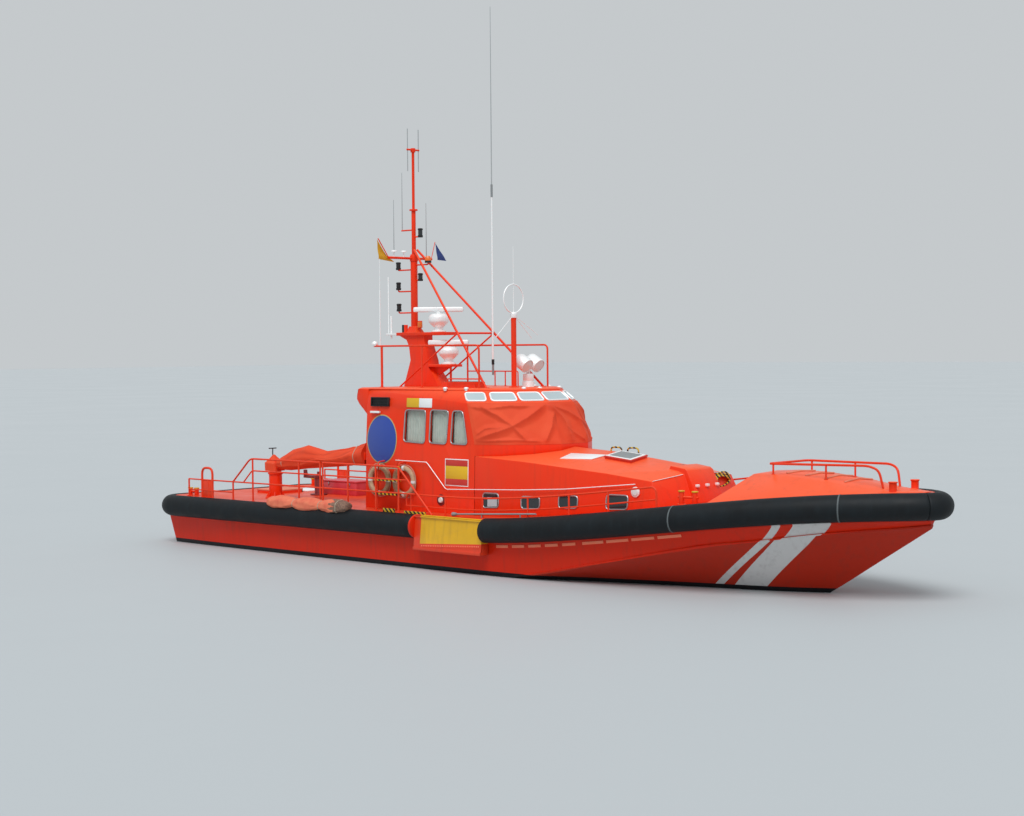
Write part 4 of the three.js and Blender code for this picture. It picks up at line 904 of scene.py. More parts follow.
def read_off(x: float, rows: Sequence[Sequence[float]], column: int) -> float:
    """Read a table of rows that each begin with their x.

    Args:
        x: The place, past which the end rows hold on.
        rows: The table.
        column: The column's number.

    Returns:
        The column's value, straight between the rows.
    """
    for first, second in zip(rows, rows[1:]):
        if x <= second[0] or second is rows[-1]:
            share = min(1, max(0, (x - first[0]) / (second[0] - first[0])))
            return lerp(first[column], second[column], share)
    return rows[-1][column]


# Hull


@dataclass(frozen=True)
class HullForm:
    """The hull's shape, from which everything on the deck and the fenders is placed."""

    half_beam: float = 2.385
    bow_start: float = 1.0
    bow_tip: float = 10.39
    fullness: float = 1.3
    transom: float = -10.55
    corner: float = 0.35
    foot: float = -10.47
    stem_foot: float = 10.34
    # The transom's rake, and the hollow of the topsides, which begins forward of a place
    rake: float = 0.45
    hollow: float = 0.06
    hollow_from: float = 4.0
    # The fender's centre: its height aft, how far it rises forward, and between which places
    fender_z: float = 0.96
    rise: float = 0.9
    rise_from: float = -0.4
    rise_to: float = 10.47
    fender_r: float = 0.27
    fender_out: float = 0.085
    deck_up: float = 0.25
    belt_down: float = 0.29
    # x, keel z, chine y, chine z
    lines: tuple = (
        (-10.47, -0.62, 2.25, -0.12),
        (-8.5, -0.7, 2.3, -0.112),
        (-6.0, -0.81, 2.33, -0.095),
        (-3.0, -0.92, 2.34, -0.065),
        (-0.5, -0.975, 2.335, -0.01),
        (1.7, -0.98, 2.285, 0.06),
        (3.9, -0.93, 2.125, 0.48),
        (6.1, -0.715, 1.705, 0.93),
        (7.25, -0.425, 1.345, 1.08),
        (8.22, 0.11, 0.96, 1.225),
        (9.1, 0.655, 0.605, 1.33),
        (9.8, 1.088, 0.31, 1.4),
        (10.34, 1.423, 0.03, 1.468),
    )

    def fender_height(self, x: float) -> float:
        """The fender's centre height at x."""
        t = min(1, max(0, (x - self.rise_from) / (self.rise_to - self.rise_from)))
        return self.fender_z + self.rise * t * t * (3 - 2 * t)

    def deck(self, x: float) -> float:
        """The deck's height at x."""
        return self.fender_height(x) + self.deck_up

    def half_width(self, x: float) -> float:
        """The deck's half width at x, with the round stern corners.

        Args:
            x: The place along the hull.

        Returns:
            The half width.
        """
        if x < self.transom + self.corner:
            inward = max(0, self.corner**2 - (x - self.transom - self.corner) ** 2)
            return self.half_beam - self.corner + math.sqrt(inward)
        if x <= self.bow_start:
            return self.half_beam
        sine = min(1, (x - self.bow_start) / (self.bow_tip - self.bow_start))
        return self.half_beam * math.sqrt(1 - sine * sine) ** self.fullness

    def line(self, x: float, column: int) -> float:
        """A fair curve through one column of the hull's lines.

        Args:
            x: The place along the hull.
            column: The column's number in the lines.

        Returns:
            The column's value there.
        """
        rows = self.lines
        last = len(rows) - 1
        after = next((i for i, row in enumerate(rows) if row[0] >= x), last) or 1
        slopes = []
        for i in (after - 1, after):
            low, high = rows[max(0, i - 1)], rows[min(last, i + 1)]
            slopes.append((high[column] - low[column]) / (high[0] - low[0]))
        start, end = rows[after - 1], rows[after]
        span = end[0] - start[0]
        t = (x - start[0]) / span
        return (
            start[column] * (2 * t**3 - 3 * t**2 + 1)
            + slopes[0] * span * (t**3 - 2 * t**2 + t)
            + end[column] * (3 * t**2 - 2 * t**3)
            + slopes[1] * span * (t**3 - t**2)
        )

    def side_y(self, x: float, z: float) -> float:
        """The plating's half width between the chine and the belt.

        Args:
            x: The place along the hull.
            z: The height.

        Returns:
            The distance of the plating from the middle.
        """
        chine_y, chine_z = self.line(x, 2), self.line(x, 3)
        top_y, top_z = self.half_width(x) - 0.008, self.fender_height(x) - self.belt_down + 0.022
        t = (z - chine_z) / (top_z - chine_z)
        return chine_y + (t - self.flare(x, t)) * (top_y - chine_y)

    def flare(self, x: float, t: float) -> float:
        """How hollow the topsides are, as a share of their overhang, a share t of the way up."""
        return self.hollow * min(1, max(0, (x - self.hollow_from) / 4)) * math.sin(math.pi * t)

    def outline(self, step: float = 0.25) -> list[tuple[Vector, Vector]]:
        """The starboard side in plan.

        Args:
            step: The distance of its points along the straight side.

        Returns:
            Points from the stern's middle to the stem, each with its way out.
        """
        points = [(Vector((self.transom, 0, 0)), Vector((-1, 0, 0)))]
        centre = Vector((self.transom + self.corner, self.corner - self.half_beam, 0))
        for i in range(9):
            angle = math.radians(i * 11.25)
            way = Vector((-math.cos(angle), -math.sin(angle), 0))
            points.append((centre + way * self.corner, way))
        count = round((self.bow_start - centre.x) / step)
        for i in range(1, count):
            x = lerp(centre.x, self.bow_start, i / count)
            points.append((Vector((x, -self.half_beam, 0)), Vector((0, -1, 0))))
        return points + [self.bow_station(math.radians(2 * i)) for i in range(46)]

    @property
    def bow_length(self) -> float:
        """How far the bow's curve reaches forward."""
        return self.bow_tip - self.bow_start

    def bow_station(self, angle: float) -> tuple[Vector, Vector]:
        """A point of the starboard bow's curve.

        Args:
            angle: The point's angle, from 0 abeam to a right angle ahead.

        Returns:
            The point and its way out.
        """
        sine, cosine = math.sin(angle), max(math.cos(angle), 1e-9)
        x, y = self.bow_start + self.bow_length * sine, -self.half_beam * cosine**self.fullness
        here = Vector((x, y, 0))
        if cosine < 1e-6:
            return here, Vector((1, 0, 0))
        widening = self.half_beam * self.fullness * cosine ** (self.fullness - 1)
        return here, Vector((widening * sine / (self.bow_length * cosine), -1, 0)).normalized()


FORM = HullForm()


@dataclass
class Hull:
    """The welded hull with its deck, chine rails, bitts and seats for the gear below."""

    bottom_points: int = 7
    side_points: int = 8
    chine_rail: float = 0.03
    hatch_x: float = -9.0
    hatch_half: float = 0.42
    coaming: float = 0.06
    # x, y, half spread, height
    bitts: tuple = ((5.75, 1.64, 0.17, 0.27), (-9.95, 2.08, 0.13, 0.19))
    # The skeg's side in x and z, and its half thickness
    skeg: tuple = ((-7.6, -0.6), (-7.2, -1.12), (-1.5, -1.19), (1.2, -0.7))
    skeg_half: float = 0.045
    # The shafts: their distance from the middle, and the height and slope of their line
    shaft_y: float = 1.1
    shaft_foot: tuple = (-9.33, -0.96)
    shaft_slope: float = 0.14
    end_disc: tuple = (-1.2897, 2.38)

    def section(self, x: float) -> list[Vector]:
        """One closed section of the hull below the belt.

        Args:
            x: The section's place. The aftermost ones lean with the transom.

        Returns:
            The points, from the keel up to starboard and down to port.
        """
        keel, chine_y, chine_z = (FORM.line(x, column) for column in (1, 2, 3))
        lean = FORM.rake * min(1, max(0, (-8.4 - x) / 2.07))
        top_z = FORM.fender_height(x) - FORM.belt_down + 0.022 * (1 - lean / FORM.rake)
        top_y = lerp(FORM.half_width(max(x, -10.2)) - 0.008, FORM.half_beam - 0.16, lean / FORM.rake)
        rail = min(self.chine_rail, chine_y * 0.3)
        half = []
        for i in range(self.bottom_points):
            t = i / self.bottom_points
            half.append((chine_y * t, lerp(keel, chine_z, t)))
        half += [(chine_y + rail, chine_z - 0.01), (chine_y + rail, chine_z + 0.018)]
        half.append((chine_y, chine_z + 0.03))
        for i in range(1, self.side_points + 1):
            t = i / self.side_points
            y = lerp(chine_y, top_y, t) - FORM.flare(x, t) * (top_y - chine_y)
            half.append((y, lerp(chine_z + 0.03, top_z, t)))
        starboard = [Vector((x - lean * z, -y, z)) for y, z in half]
        port = [Vector((x - lean * z, y, z)) for y, z in reversed(half[1:])]
        return starboard + port

    def belt_section(self, x: float) -> list[Vector]:
        """One closed section of the belt that carries the fenders and the deck.

        Args:
            x: The section's place.

        Returns:
            The points, from the starboard foot over the deck to the port foot.
        """
        y = FORM.half_width(x)
        low, high = FORM.fender_height(x) - FORM.belt_down, FORM.deck(x)
        ease = min(0.02, y * 0.2)
        across = [y * share for share in (-0.75, -0.5, -0.25, 0, 0.25, 0.5, 0.75)]
        ring = [(-y, low), (-y, high - ease), (-y + ease, high), *((w, high) for w in across)]
        ring += [(y - ease, high), (y, high - ease), (y, low)]
        return [Vector((x, *point)) for point in ring]

    def shell(self) -> Piece:
        """The plated hull, the belt and the keel's skeg.

        Returns:
            One shell with the seats for the gear below.
        """
        below = [lerp(FORM.foot, FORM.stem_foot, i / 84) for i in range(85)]
        body = smoothed(loft("hull_plating", [self.section(x) for x in below]), 25)
        corner = [math.cos(math.radians(a)) for a in range(0, 90, 10)]
        belt = [FORM.transom + FORM.corner * (1 - cosine) for cosine in corner]
        belt += [lerp(FORM.transom + FORM.corner, FORM.bow_start, i / 44) for i in range(45)]
        bow = [math.sin(math.radians(a)) for a in (*range(3, 84, 3), 84.5, 86, 87.5)]
        belt += [FORM.bow_start + FORM.bow_length * sine for sine in bow]
        deck = smoothed(loft("hull_belt", [self.belt_section(x) for x in belt]), 25)
        outline = [(x, self.skeg_half, z) for x, z in self.skeg]
        skeg = slab("skeg", outline, (0, -2 * self.skeg_half, 0), 0.012)
        return joined("hull_shell", [body, deck, skeg, *self.gear_seats()])

    def gear_seats(self) -> list[Piece]:
        """Shaft logs, strut pads, rudder bearings and the plates that close the aft fenders.

        Returns:
            The parts.
        """
        parts = []
        for side in Side:
            y = side.value * self.shaft_y
            foot_x, foot_z = self.shaft_foot
            ends = [(x, y, foot_z + (x - foot_x) * self.shaft_slope) for x in (-6.3, -5.2)]
            parts.append(rod("shaft_log", *ends, 0.085, edge=0.006))
            parts.append(block("strut_pad", (-9.14, y - 0.06, -0.43), (-8.9, y + 0.06, -0.32), 0.01))
            parts.append(rod("rudder_bearing", (-9.9, y, -0.44), (-9.9, y, -0.3), 0.07, edge=0.005))
            middle = Vector((self.end_disc[0], side.value * self.end_disc[1], 0))
            section = Fenders.section(middle, Vector((0, side.value, 0)), 24, 0.0)
            parts.append(slab("end_disc", section, (0.06, 0, 0), 0.008))
        return parts

    def bitt(self, x: float, y: float, spread: float, height: float) -> tuple[list[Piece], list[Piece]]:
        """A pair of mooring posts.

        Args:
            x: The middle between the posts.
            y: Their distance to port.
            spread: How far each post stands from the middle.
            height: The posts' height over the deck.

        Returns:
            The posts with their pads and bar, and their caps.
        """
        deck, top = FORM.deck(x), FORM.deck(x) + height
        posts, caps = [], []
        for px in (x - spread, x + spread):
            posts.append(rod("bitt_post", (px, y, deck - 0.01), (px, y, top), 0.055, edge=0.004))
            pad = ((px, y, deck - 0.005), (px, y, deck + 0.012))
            posts.append(rod("bitt_pad", *pad, 0.09, edge=0.004))
            caps.append(rod("bitt_cap", (px, y, top - 0.015), (px, y, top + 0.015), 0.069, edge=0.008))
        reach, bar_z = spread * 1.5, deck + height * 0.55
        posts.append(rod("bitt_bar", (x - reach, y, bar_z), (x + reach, y, bar_z), 0.025, edge=0.006))
        return posts, caps

    def build(self) -> None:
        """Make the shell, the bitts and the engine hatch's coaming."""
        placed(self.shell(), HULL, replaces=["hull"])
        posts, caps = [], []
        for x, y, spread, height in self.bitts:
            for side in Side:
                new_posts, new_caps = self.bitt(x, side.value * y, spread, height)
                posts += new_posts
                caps += new_caps
        placed(joined("mooring_bitts", posts), ENAMEL)
        placed(joined("mooring_bitt_caps", caps), YELLOW)
        x, half, deck = self.hatch_x, self.hatch_half, FORM.deck(self.hatch_x)
        low, high = deck - 0.01, deck + self.coaming
        inner = half - 0.04
        walls = [
            block("coaming", (x - half, -half, low), (x - inner, half, high)),
            block("coaming", (x + inner, -half, low), (x + half, half, high)),
            block("coaming", (x - half, -half, low), (x + half, -inner, high)),
            block("coaming", (x - half, inner, low), (x + half, half, high)),
        ]
        placed(joined("engine_hatch_coaming", walls), ENAMEL)


@dataclass
class Fenders:
    """The foam fenders round the boat, in four lengths, with their seams."""

    sides: int = 26
    aft_end: float = -1.29
    fore_start: float = 0.86
    cap_start_x: float = 10.28
    seam_xs: tuple = (5.72, 8.96)
    strap_half: float = 0.015
    # Each run of pads: its start, then the pads' pitch, length and number
    pads: tuple = ((1.1, 0.46, 0.34, 5), (3.46, 0.6, 0.52, 4))
    # How far under the fender's centre the pads' feet and heads lie
    pad_down: tuple = (0.38, 0.32)

    @staticmethod
    def section(point: Vector, way: Vector, sides: int, grow: float) -> list[Vector]:
        """One section of fender: round, with a flat back on the hull's side.

        Args:
            point: The hull's side in plan.
            way: The way out from it.
            sides: Points round the section.
            grow: How much fatter it is than its size.

        Returns:
            The section's points.
        """
        radius = FORM.fender_r + grow
        reach = math.acos((0.0003 - FORM.fender_out) / radius)
        centre = FORM.fender_height(point.x)
        ring = []
        for i in range(sides):
            angle = lerp(-reach, reach, i / (sides - 1))
            out = FORM.fender_out + radius * math.cos(angle)
            ring.append(Vector((point.x, point.y, centre + radius * math.sin(angle))) + way * out)
        return ring

    def run(self, name: str, stations: Sequence[tuple[Vector, Vector]]) -> Piece:
        """One length of fender, slightly uneven as sprayed foam is, its ends eased.

        Args:
            name: The piece's name.
            stations: Points of the hull's side in plan, each with its way out.

        Returns:
            The length of fender.
        """
        rings = []
        for i, (point, way) in enumerate(stations):
            uneven = 0.004 * noise.noise(Vector((point.x * 0.9, point.y * 0.9, 3.1))) - 0.003
            end = min(i, len(stations) - 1 - i)
            rings.append(self.section(point, way, self.sides, uneven - (0.012 if end == 0 else 0)))
            if end == 0:
                inner = stations[i - 1 if i else 1][0]
                eased = self.section(point + (inner - point).normalized() * 0.015, way, self.sides, uneven)
                rings.insert(len(rings) - (1 if i else 0), eased)
        return smoothed(loft(name, rings), 50)

    @staticmethod
    def mirrored(stations: Sequence[tuple[Vector, Vector]]) -> list[tuple[Vector, Vector]]:
        """The same stations on the port side, in the other order."""
        flip = Vector((1, -1, 1))
        return [(point * flip, way * flip) for point, way in reversed(stations)]

    def skin(self, name: str, stations: Sequence[tuple[Vector, Vector]], node: str) -> None:
        """Make one length of fender and place it for its solid."""
        placed(self.run(name, stations), RUBBER, replaces=[node])

    def build(self) -> None:
        """Make the four lengths, their seam straps and the pads under them."""
        outline = FORM.outline()
        abeam = Vector((0, -1, 0))
        aft = [s for s in outline[1:] if s[0].x < self.aft_end - 0.05]
        aft.append((Vector((self.aft_end, -FORM.half_beam, 0)), abeam))
        self.skin("fender_aft_skin", self.mirrored(aft) + aft, "fender_aft")
        start, meet = self.fore_start, self.cap_start_x
        fore = [(Vector((start, -FORM.half_beam, 0)), abeam)]
        fore += [s for s in outline if start + 0.05 < s[0].x < meet - 0.025]
        ends = [(meet + gap - FORM.bow_start) / FORM.bow_length for gap in (-0.002, 0.002)]
        fore.append(FORM.bow_station(math.asin(ends[0])))
        cap = [FORM.bow_station(math.asin(ends[1]))]
        cap += [s for s in outline if s[0].x > meet + 0.012]
        for side in Side:
            stations = fore if side is Side.STARBOARD else self.mirrored(fore)
            node = "fender_fore_" + side.word
            self.skin(node + "_skin", stations, node)
        self.skin("fender_bow_skin", cap + self.mirrored(cap[:-1]), "fender_bow_cap")
        placed(joined("fender_seams", self.seams(outline)), SEAM)
        placed(joined("belt_pads", self.belt_pads()), PAD)

    def belt_pads(self) -> list[Piece]:
        """The pale welded pads in a row under the fore fenders.

        Returns:
            The pads.
        """
        pads = []
        foot, head = self.pad_down
        for start, pitch, length, count in self.pads:
            for i, side in itertools.product(range(count), Side):
                outline = []
                x = start + i * pitch
                for px, down in ((x, foot), (x + length, foot), (x + length, head), (x, head)):
                    z = FORM.fender_height(px) - down
                    outline.append((px, side.value * (FORM.side_y(px, z) - 0.003), z))
                pads.append(slab("pad", outline, (0, side.value * 0.016, 0), 0.002))
        return pads

    def seams(self, outline: Sequence[tuple[Vector, Vector]]) -> list[Piece]:
        """Thin straps round the fenders where two lengths of foam meet.

        Args:
            outline: Points of the hull's side in plan, each with its way out.

        Returns:
            The straps.
        """
        straps = []
        flip = Vector((1, -1, 1))
        for x in self.seam_xs:
            point, way = min(outline, key=lambda station: abs(station[0].x - x))
            along = Vector((-way.y, way.x, 0)) * self.strap_half
            rings = [self.section(point + along * s, way, self.sides, 0.003) for s in (-1, 1)]
            straps.append(loft("seam", rings))
            straps.append(loft("seam", [[p * flip for p in ring] for ring in rings]))
        return straps


@dataclass
class RescueZones:
    """The low yellow panels amidships, where people are taken aboard."""

    edge_z: float = 1.225
    edge_y: float = 2.55
    # The row of studs: number, where it starts, its height at x = 0 and its slope
    stud_count: int = 33
    stud_from: float = -0.95
    stud_z: float = 0.595
    stud_slope: float = 0.055
    stud: tuple = ((0, 0), (0.028, 0), (0.028, 0.03), (0, 0.03))

    def build(self) -> None:
        """Make both panels with a rolled top edge and a row of studs."""
        for side in Side:
            node = "rescue_zone_" + side.word
            low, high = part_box(node)
            y = side.value * self.edge_y
            ends = [(x, y, self.edge_z) for x in (low.x + 0.02, high.x - 0.02)]
            piece = joined(node + "_panel", [dressed(node, 0.003), tube("panel_edge", ends, 0.014)])
            placed(piece, ZONE, replaces=[node])
            face = max(abs(low.y), abs(high.y))
            studs = []
            for i in range(self.stud_count):
                x = lerp(self.stud_from, high.x - 0.05, i / (self.stud_count - 1))
                z = self.stud_z + self.stud_slope * x
                outline = [(x + across, side.value * face, z + up) for across, up in self.stud]
                studs.append(slab("stud", outline, (0, side.value * 0.005, 0), 0.0015))
            placed(joined(node + "_studs", studs), PAD)


# Superstructure


@dataclass(frozen=True)
class HouseForm:
    """The wheelhouse's plan at its sill and its brow, half of each, from aft round to the nose."""

    sill_z: float = 2.78
    brow_z: float = 3.7
    sill: tuple = ((-3.75, 1.715), (-0.17, 1.715), (0.4, 1.455), (0.95, 0.985), (1.29, 0.45))
    brow: tuple = ((-3.75, 1.665), (-0.45, 1.665), (0.03, 1.415), (0.53, 0.955), (0.88, 0.43))
    crown_z: float = 3.98
    crown: tuple = ((-3.75, 1.59), (-0.78, 1.44), (-0.28, 1.21), (0.2, 0.835), (0.51, 0.38))

    def side_y(self, z: float) -> float:
        """The half width of the flat side at a height.

        Args:
            z: The height.

        Returns:
            The half width.
        """
        if z < self.sill_z:
            return lerp(1.75, 1.715, (z - 1.21) / (self.sill_z - 1.21))
        return lerp(1.715, 1.665, (z - self.sill_z) / (self.brow_z - self.sill_z))

    @staticmethod
    def both_halves(half: Sequence[Sequence[float]], z: float) -> list[Vector]:
        """A half plan's points at a height, from starboard round the nose to port."""
        starboard = [Vector((x, -y, z)) for x, y in half]
        return starboard + [Vector((x, y, z)) for x, y in reversed(half)]

    def ring(self, z: float) -> list[Vector]:
        """The plan at a height between sill and brow, from starboard round the nose to port.

        Args:
            z: The height.

        Returns:
            The plan's points.
        """
        t = (z - self.sill_z) / (self.brow_z - self.sill_z)
        pairs = zip(self.sill, self.brow)
        return self.both_halves([(lerp(a[0], b[0], t), lerp(a[1], b[1], t)) for a, b in pairs], z)

    def brow_pane(self, leg: int, shares: tuple[float, float, float, float]) -> tuple[list[Vector], Vector]:
        """A pane on the leaning brow over the windscreens.

        Args:
            leg: The facet, counted from starboard round the nose.
            shares: The pane's ends along the facet, then its foot and its head up it.

        Returns:
            The pane's corners and the facet's way out.
        """
        low = self.both_halves(self.brow[1:], self.brow_z)
        high = self.both_halves(self.crown[1:], self.crown_z)
        start, end, foot, head = shares
        corners = []
        for t, v in ((start, foot), (end, foot), (end, head), (start, head)):
            top = high[leg].lerp(high[leg + 1], t)
            corners.append(low[leg].lerp(low[leg + 1], t).lerp(top, v))
        out = (corners[1] - corners[0]).cross(corners[3] - corners[0]).normalized()
        return corners, out


HOUSE = HouseForm()


@dataclass
class Wheelhouse:
    """The wheelhouse: its shell, glass, covers, frames, curtains and what hangs on its sides."""

    # bottom aft, bottom fore, top fore and top aft corners, x and z
    windows: tuple = (
        ((-2.47, 2.8), (-1.77, 2.77), (-1.76, 3.53), (-2.43, 3.53)),
        ((-1.62, 2.79), (-1.07, 2.77), (-1.02, 3.53), (-1.6, 3.54)),
        ((-0.93, 2.79), (-0.4, 2.78), (-0.57, 3.53), (-0.89, 3.53)),
    )
    cover_low: float = 2.79
    cover_high: float = 3.71
    cover_columns: int = 230
    cover_rows: int = 48
    # A curtain's gathers, and how far it hangs from the wall
    gathers: int = 9
    curtain_in: float = 0.1
    roof_lamps: tuple = (
        (-1.3, -1.5), (-0.73, -1.4), (0.3, -0.6), (0.42, -0.2), (-1.3, 1.5), (-0.73, 1.4), (0.3, 0.6),
    )
    roof_lamp_head: tuple = ((0, 0.03), (0.05, 0.03), (0.055, 0.055), (0.04, 0.075), (0, 0.08))
    # x and z of the handrail's corners and of its standoffs
    handrail_path: tuple = (
        (-2.67, 2.36), (-1.64, 2.35), (-1.01, 1.76), (1.27, 1.85), (2.5, 1.92), (4.26, 2.09),
    )
    standoffs: tuple = (
        (-2.62, 2.36), (-1.7, 2.35), (-0.95, 1.762), (0.15, 1.805),
        (1.27, 1.85), (2.5, 1.92), (3.4, 2.005), (4.2, 2.084),
    )
    oval_middle: tuple = (-3.205, 2.83)
    louvre_bars: tuple = (
        (-3.58, -2.97, 3.595, 3.612), (-3.58, -2.97, 3.79, 3.81),
        (-3.58, -3.555, 3.6, 3.8), (-2.995, -2.97, 3.6, 3.8),
    )
    louvre_slats: tuple = (3.62, 3.655, 3.69, 3.725, 3.76)
    low_lamp: tuple = (-1.22, 1.505)
    # The ladders' stiles and treads
    stile_xs: tuple = (-3.1, -2.4)
    tread_zs: tuple = (2.22, 1.9, 1.58)
    # The ring buoys: where they hang, their two radii, and the height of the rail over them
    ring_xs: tuple = (-3.2, -2.36)
    ring_y: float = 1.81
    ring_z: float = 1.88
    ring_radius: float = 0.305
    ring_body: float = 0.06
    ring_rail_z: float = 2.165
    # The brow panes' ends along their facets, from the starboard side to the nose
    brow_panes: tuple = ((0.03, 0.87), (0.08, 0.94), (0.08, 0.95), (0.07, 0.93))

    # Each fold also carries painted shade on its shadow side
    # The cover's folds: height and reach in metres, then places, each as the faces round the nose
    # and the share of the way up
    face_width: float = 0.72
    cover_folds: tuple = (
        (0.07, 0.26, (0.05, 0.1), (0.92, 0.27), (1.52, 0.42), (2.3, 0.72), (2.9, 0.96)),
        (0.06, 0.22, (0.5, 0.92), (1.1, 0.7), (1.52, 0.42), (1.85, 0.05)),
        (0.065, 0.24, (2.92, 0.96), (3.25, 0.68), (3.35, 0.5), (3.4, 0.03)),
        (0.05, 0.19, (3.0, 0.93), (3.6, 0.75), (4.05, 0.5), (4.9, 0.3)),
        (0.05, 0.19, (2.42, 0.03), (2.85, 0.42), (3.12, 0.85)),
        (0.04, 0.15, (3.3, 0.45), (3.6, 0.23), (3.95, 0.03)),
        (0.04, 0.15, (3.8, 0.74), (3.98, 0.4), (4.0, 0.05)),
        (0.035, 0.11, (0.03, 0.06), (1.48, 0.1), (2.35, 0.05)),
        (0.04, 0.17, (0.1, 0.2), (0.55, 0.37), (1.15, 0.4)),
        (0.035, 0.15, (0.08, 0.9), (0.8, 0.84), (1.6, 0.92), (2.4, 0.9)),
        (0.035, 0.15, (4.1, 0.9), (4.5, 0.5), (4.7, 0.06)),
        (0.07, 0.26, (4.6, 0.92), (5.3, 0.6), (6.1, 0.3), (6.95, 0.12)),
        (0.06, 0.22, (5.1, 0.05), (5.5, 0.45), (6.0, 0.7), (6.6, 0.92)),
        (0.035, 0.11, (4.8, 0.05), (5.7, 0.1), (6.97, 0.06)),
        (0.04, 0.17, (5.8, 0.42), (6.4, 0.42), (6.9, 0.24)),
        (0.035, 0.15, (5.3, 0.9), (6.1, 0.85), (6.9, 0.9)),
    )

    def frames(self) -> list[Piece]:
        """The frames of the side windows.

        Returns:
            The frames.
        """
        made = []
        for side in Side:
            for corners in self.windows:
                points = [(x, side.value * (HOUSE.side_y(z) + 0.004), z) for x, z in corners]
                made.append(tube("window_frame", points, 0.016, corner=0.09, sides=10, closed=True))
        return made

    def curtain(self, name: str, corners: Sequence, side: Side) -> Piece:
        """A gathered curtain behind one window.

        Args:
            name: The curtain's name.
            corners: The window's corners, x and z.
            side: The side that it is on.

        Returns:
            The curtain.
        """
        (x0, z0), (x1, _), (x2, z1), (x3, _) = corners
        y = side.value * (HOUSE.side_y(3.2) - self.curtain_in)
        columns, rows = 60, 10
        rings = []
        for j in range(rows + 1):
            v = j / rows
            low, high = lerp(x0, x3, v) - 0.03, lerp(x1, x2, v) + 0.03
            wave = 0.016 * (1 - 0.25 * v)
            ring = []
            for i in range(columns + 1):
                u = i / columns
                ripple = wave * math.sin(math.tau * self.gathers * u + 0.5 * math.sin(3 * v + 7 * u))
                ring.append(Vector((lerp(low, high, u), y + ripple, lerp(z0 - 0.04, z1 + 0.03, v))))
            rings.append(ring)
        piece = modified(loft(name, rings, closed=False), "SOLIDIFY", thickness=0.0012, offset=0)
        return smoothed(piece, 60)

    def brow_windows(self) -> None:
        """The brow's panes, pale with a painted reflection of the sky, in pale rounded frames."""
        frames, panes = [], []
        count = 2 * len(self.brow_panes) - 1
        for leg in range(count):
            mirrored = leg >= len(self.brow_panes)
            start, end = self.brow_panes[count - 1 - leg if mirrored else leg]
            if mirrored:
                start, end = 1 - end, 1 - start
            corners, out = HOUSE.brow_pane(leg, (start, end, 0.2, 0.82))
            edge = [c + out * 0.004 for c in corners]
            frames.append(tube("brow_frame", edge, 0.02, corner=0.07, closed=True))
            outline = rounded([c + out * 0.002 for c in corners], 0.07, closed=True)
            panes.append(slab("brow_pane", outline, out * 0.006, 0))
        placed(joined("brow_window_frames", frames), WHITE)
        placed(joined("brow_window_panes", panes), PAINTED_SKY_AND_BLIND)

    def creases(self, s: float, v: float) -> tuple[float, float]:
        """How the canvas lies at one place: drawn tight along its edges, with folds between them and
        painted shade on each fold's shadow side.

        Args:
            s: The place along the cover, in faces from starboard round the nose.
            v: The share of the way up it.

        Returns:
            How far the canvas stands off, in metres, and how much painted shade it takes there, from 0 to
            1.
        """
        scale = Vector((self.face_width, self.cover_high - self.cover_low))
        here = Vector((s, v)) * scale
        lift = 0.01 + 0.02 * (noise.noise(Vector((s * 1.3, v * 1.9, 0.4))) + 0.35)
        shade = 0.0
        for height, width, *places in self.cover_folds:
            near, side, taper = math.inf, 0.0, 1.0
            for i, (a, b) in enumerate(zip(places, places[1:])):
                start, along = Vector(a) * scale, (Vector(b) - Vector(a)) * scale
                share = min(1.0, max(0.0, (here - start).dot(along) / along.length_squared))
                off = here - start - along * share
                if off.length < near:
                    near, side = off.length, along.x * off.y - along.y * off.x
                    reached = (i + share) / (len(places) - 1)
                    taper = min(1.0, 0.35 + 5 * reached, 0.35 + 5 * (1 - reached))
            slope = max(0.0, 1 - near / (width * (1.0 if side > 0 else 0.7)))
            lift = max(lift, 0.01 + height * taper * slope**1.5)
            # Painted shade on the shadow side of the fold
            if side < 0:
                shade = max(shade, 0.42 * taper * slope**1.5)
        edge = max(0.0, min(1.0, v / 0.07, (1 - v) / 0.07, s / 0.12, (7 - s) / 0.12))
        return 0.006 + (lift - 0.006) * edge, shade * edge

    def cover(self) -> Piece:
        """The canvas over the windscreens, drawn tight at the pillars and creased between them.

        Returns:
            The cover, with the painted shade of its folds marked.
        """
        rings, depth = [], []
        for j in range(self.cover_rows + 1):
            v = j / self.cover_rows
            plan = HOUSE.ring(lerp(self.cover_low, self.cover_high, v))[1:-1]
            lengths = [0.0]
            for a, b in zip(plan, plan[1:]):
                lengths.append(lengths[-1] + (b - a).length)
            ring = []
            for i in range(self.cover_columns + 1):
                along = lengths[-1] * i / self.cover_columns
                leg = max(k for k in range(len(plan) - 1) if lengths[k] <= along + 1e-9)
                a, b = plan[leg], plan[leg + 1]
                t = (along - lengths[leg]) / (b - a).length
                out = Vector(((b - a).y, -(b - a).x, 0.25)).normalized()
                lift, fold_shade = self.creases(leg + t, v)
                ring.append(a.lerp(b, t) + out * lift)
                depth.append(fold_shade)
            rings.append(ring)
        piece = marked_crease_shade(loft("windscreen_canvas", rings, closed=False), depth)
        return smoothed(modified(piece, "SOLIDIFY", thickness=0.0015, offset=1), 60)

    def plate(self, name: str, side: Side, size: Sequence[float], out: float, thick: float) -> Piece:
        """A flat plate on the house's side.

        Args:
            name: The plate's name.
            side: The side that it is on.
            size: Its x0, x1, z0 and z1.
            out: How far its back stands off the wall.
            thick: Its thickness.

        Returns:
            The plate.
        """
        x0, x1, z0, z1 = size
        corners = ((x0, z0), (x1, z0), (x1, z1), (x0, z1))
        outline = [(x, side.value * (HOUSE.side_y(z) + out), z) for x, z in corners]
        return slab(name, outline, (0, side.value * thick, 0))

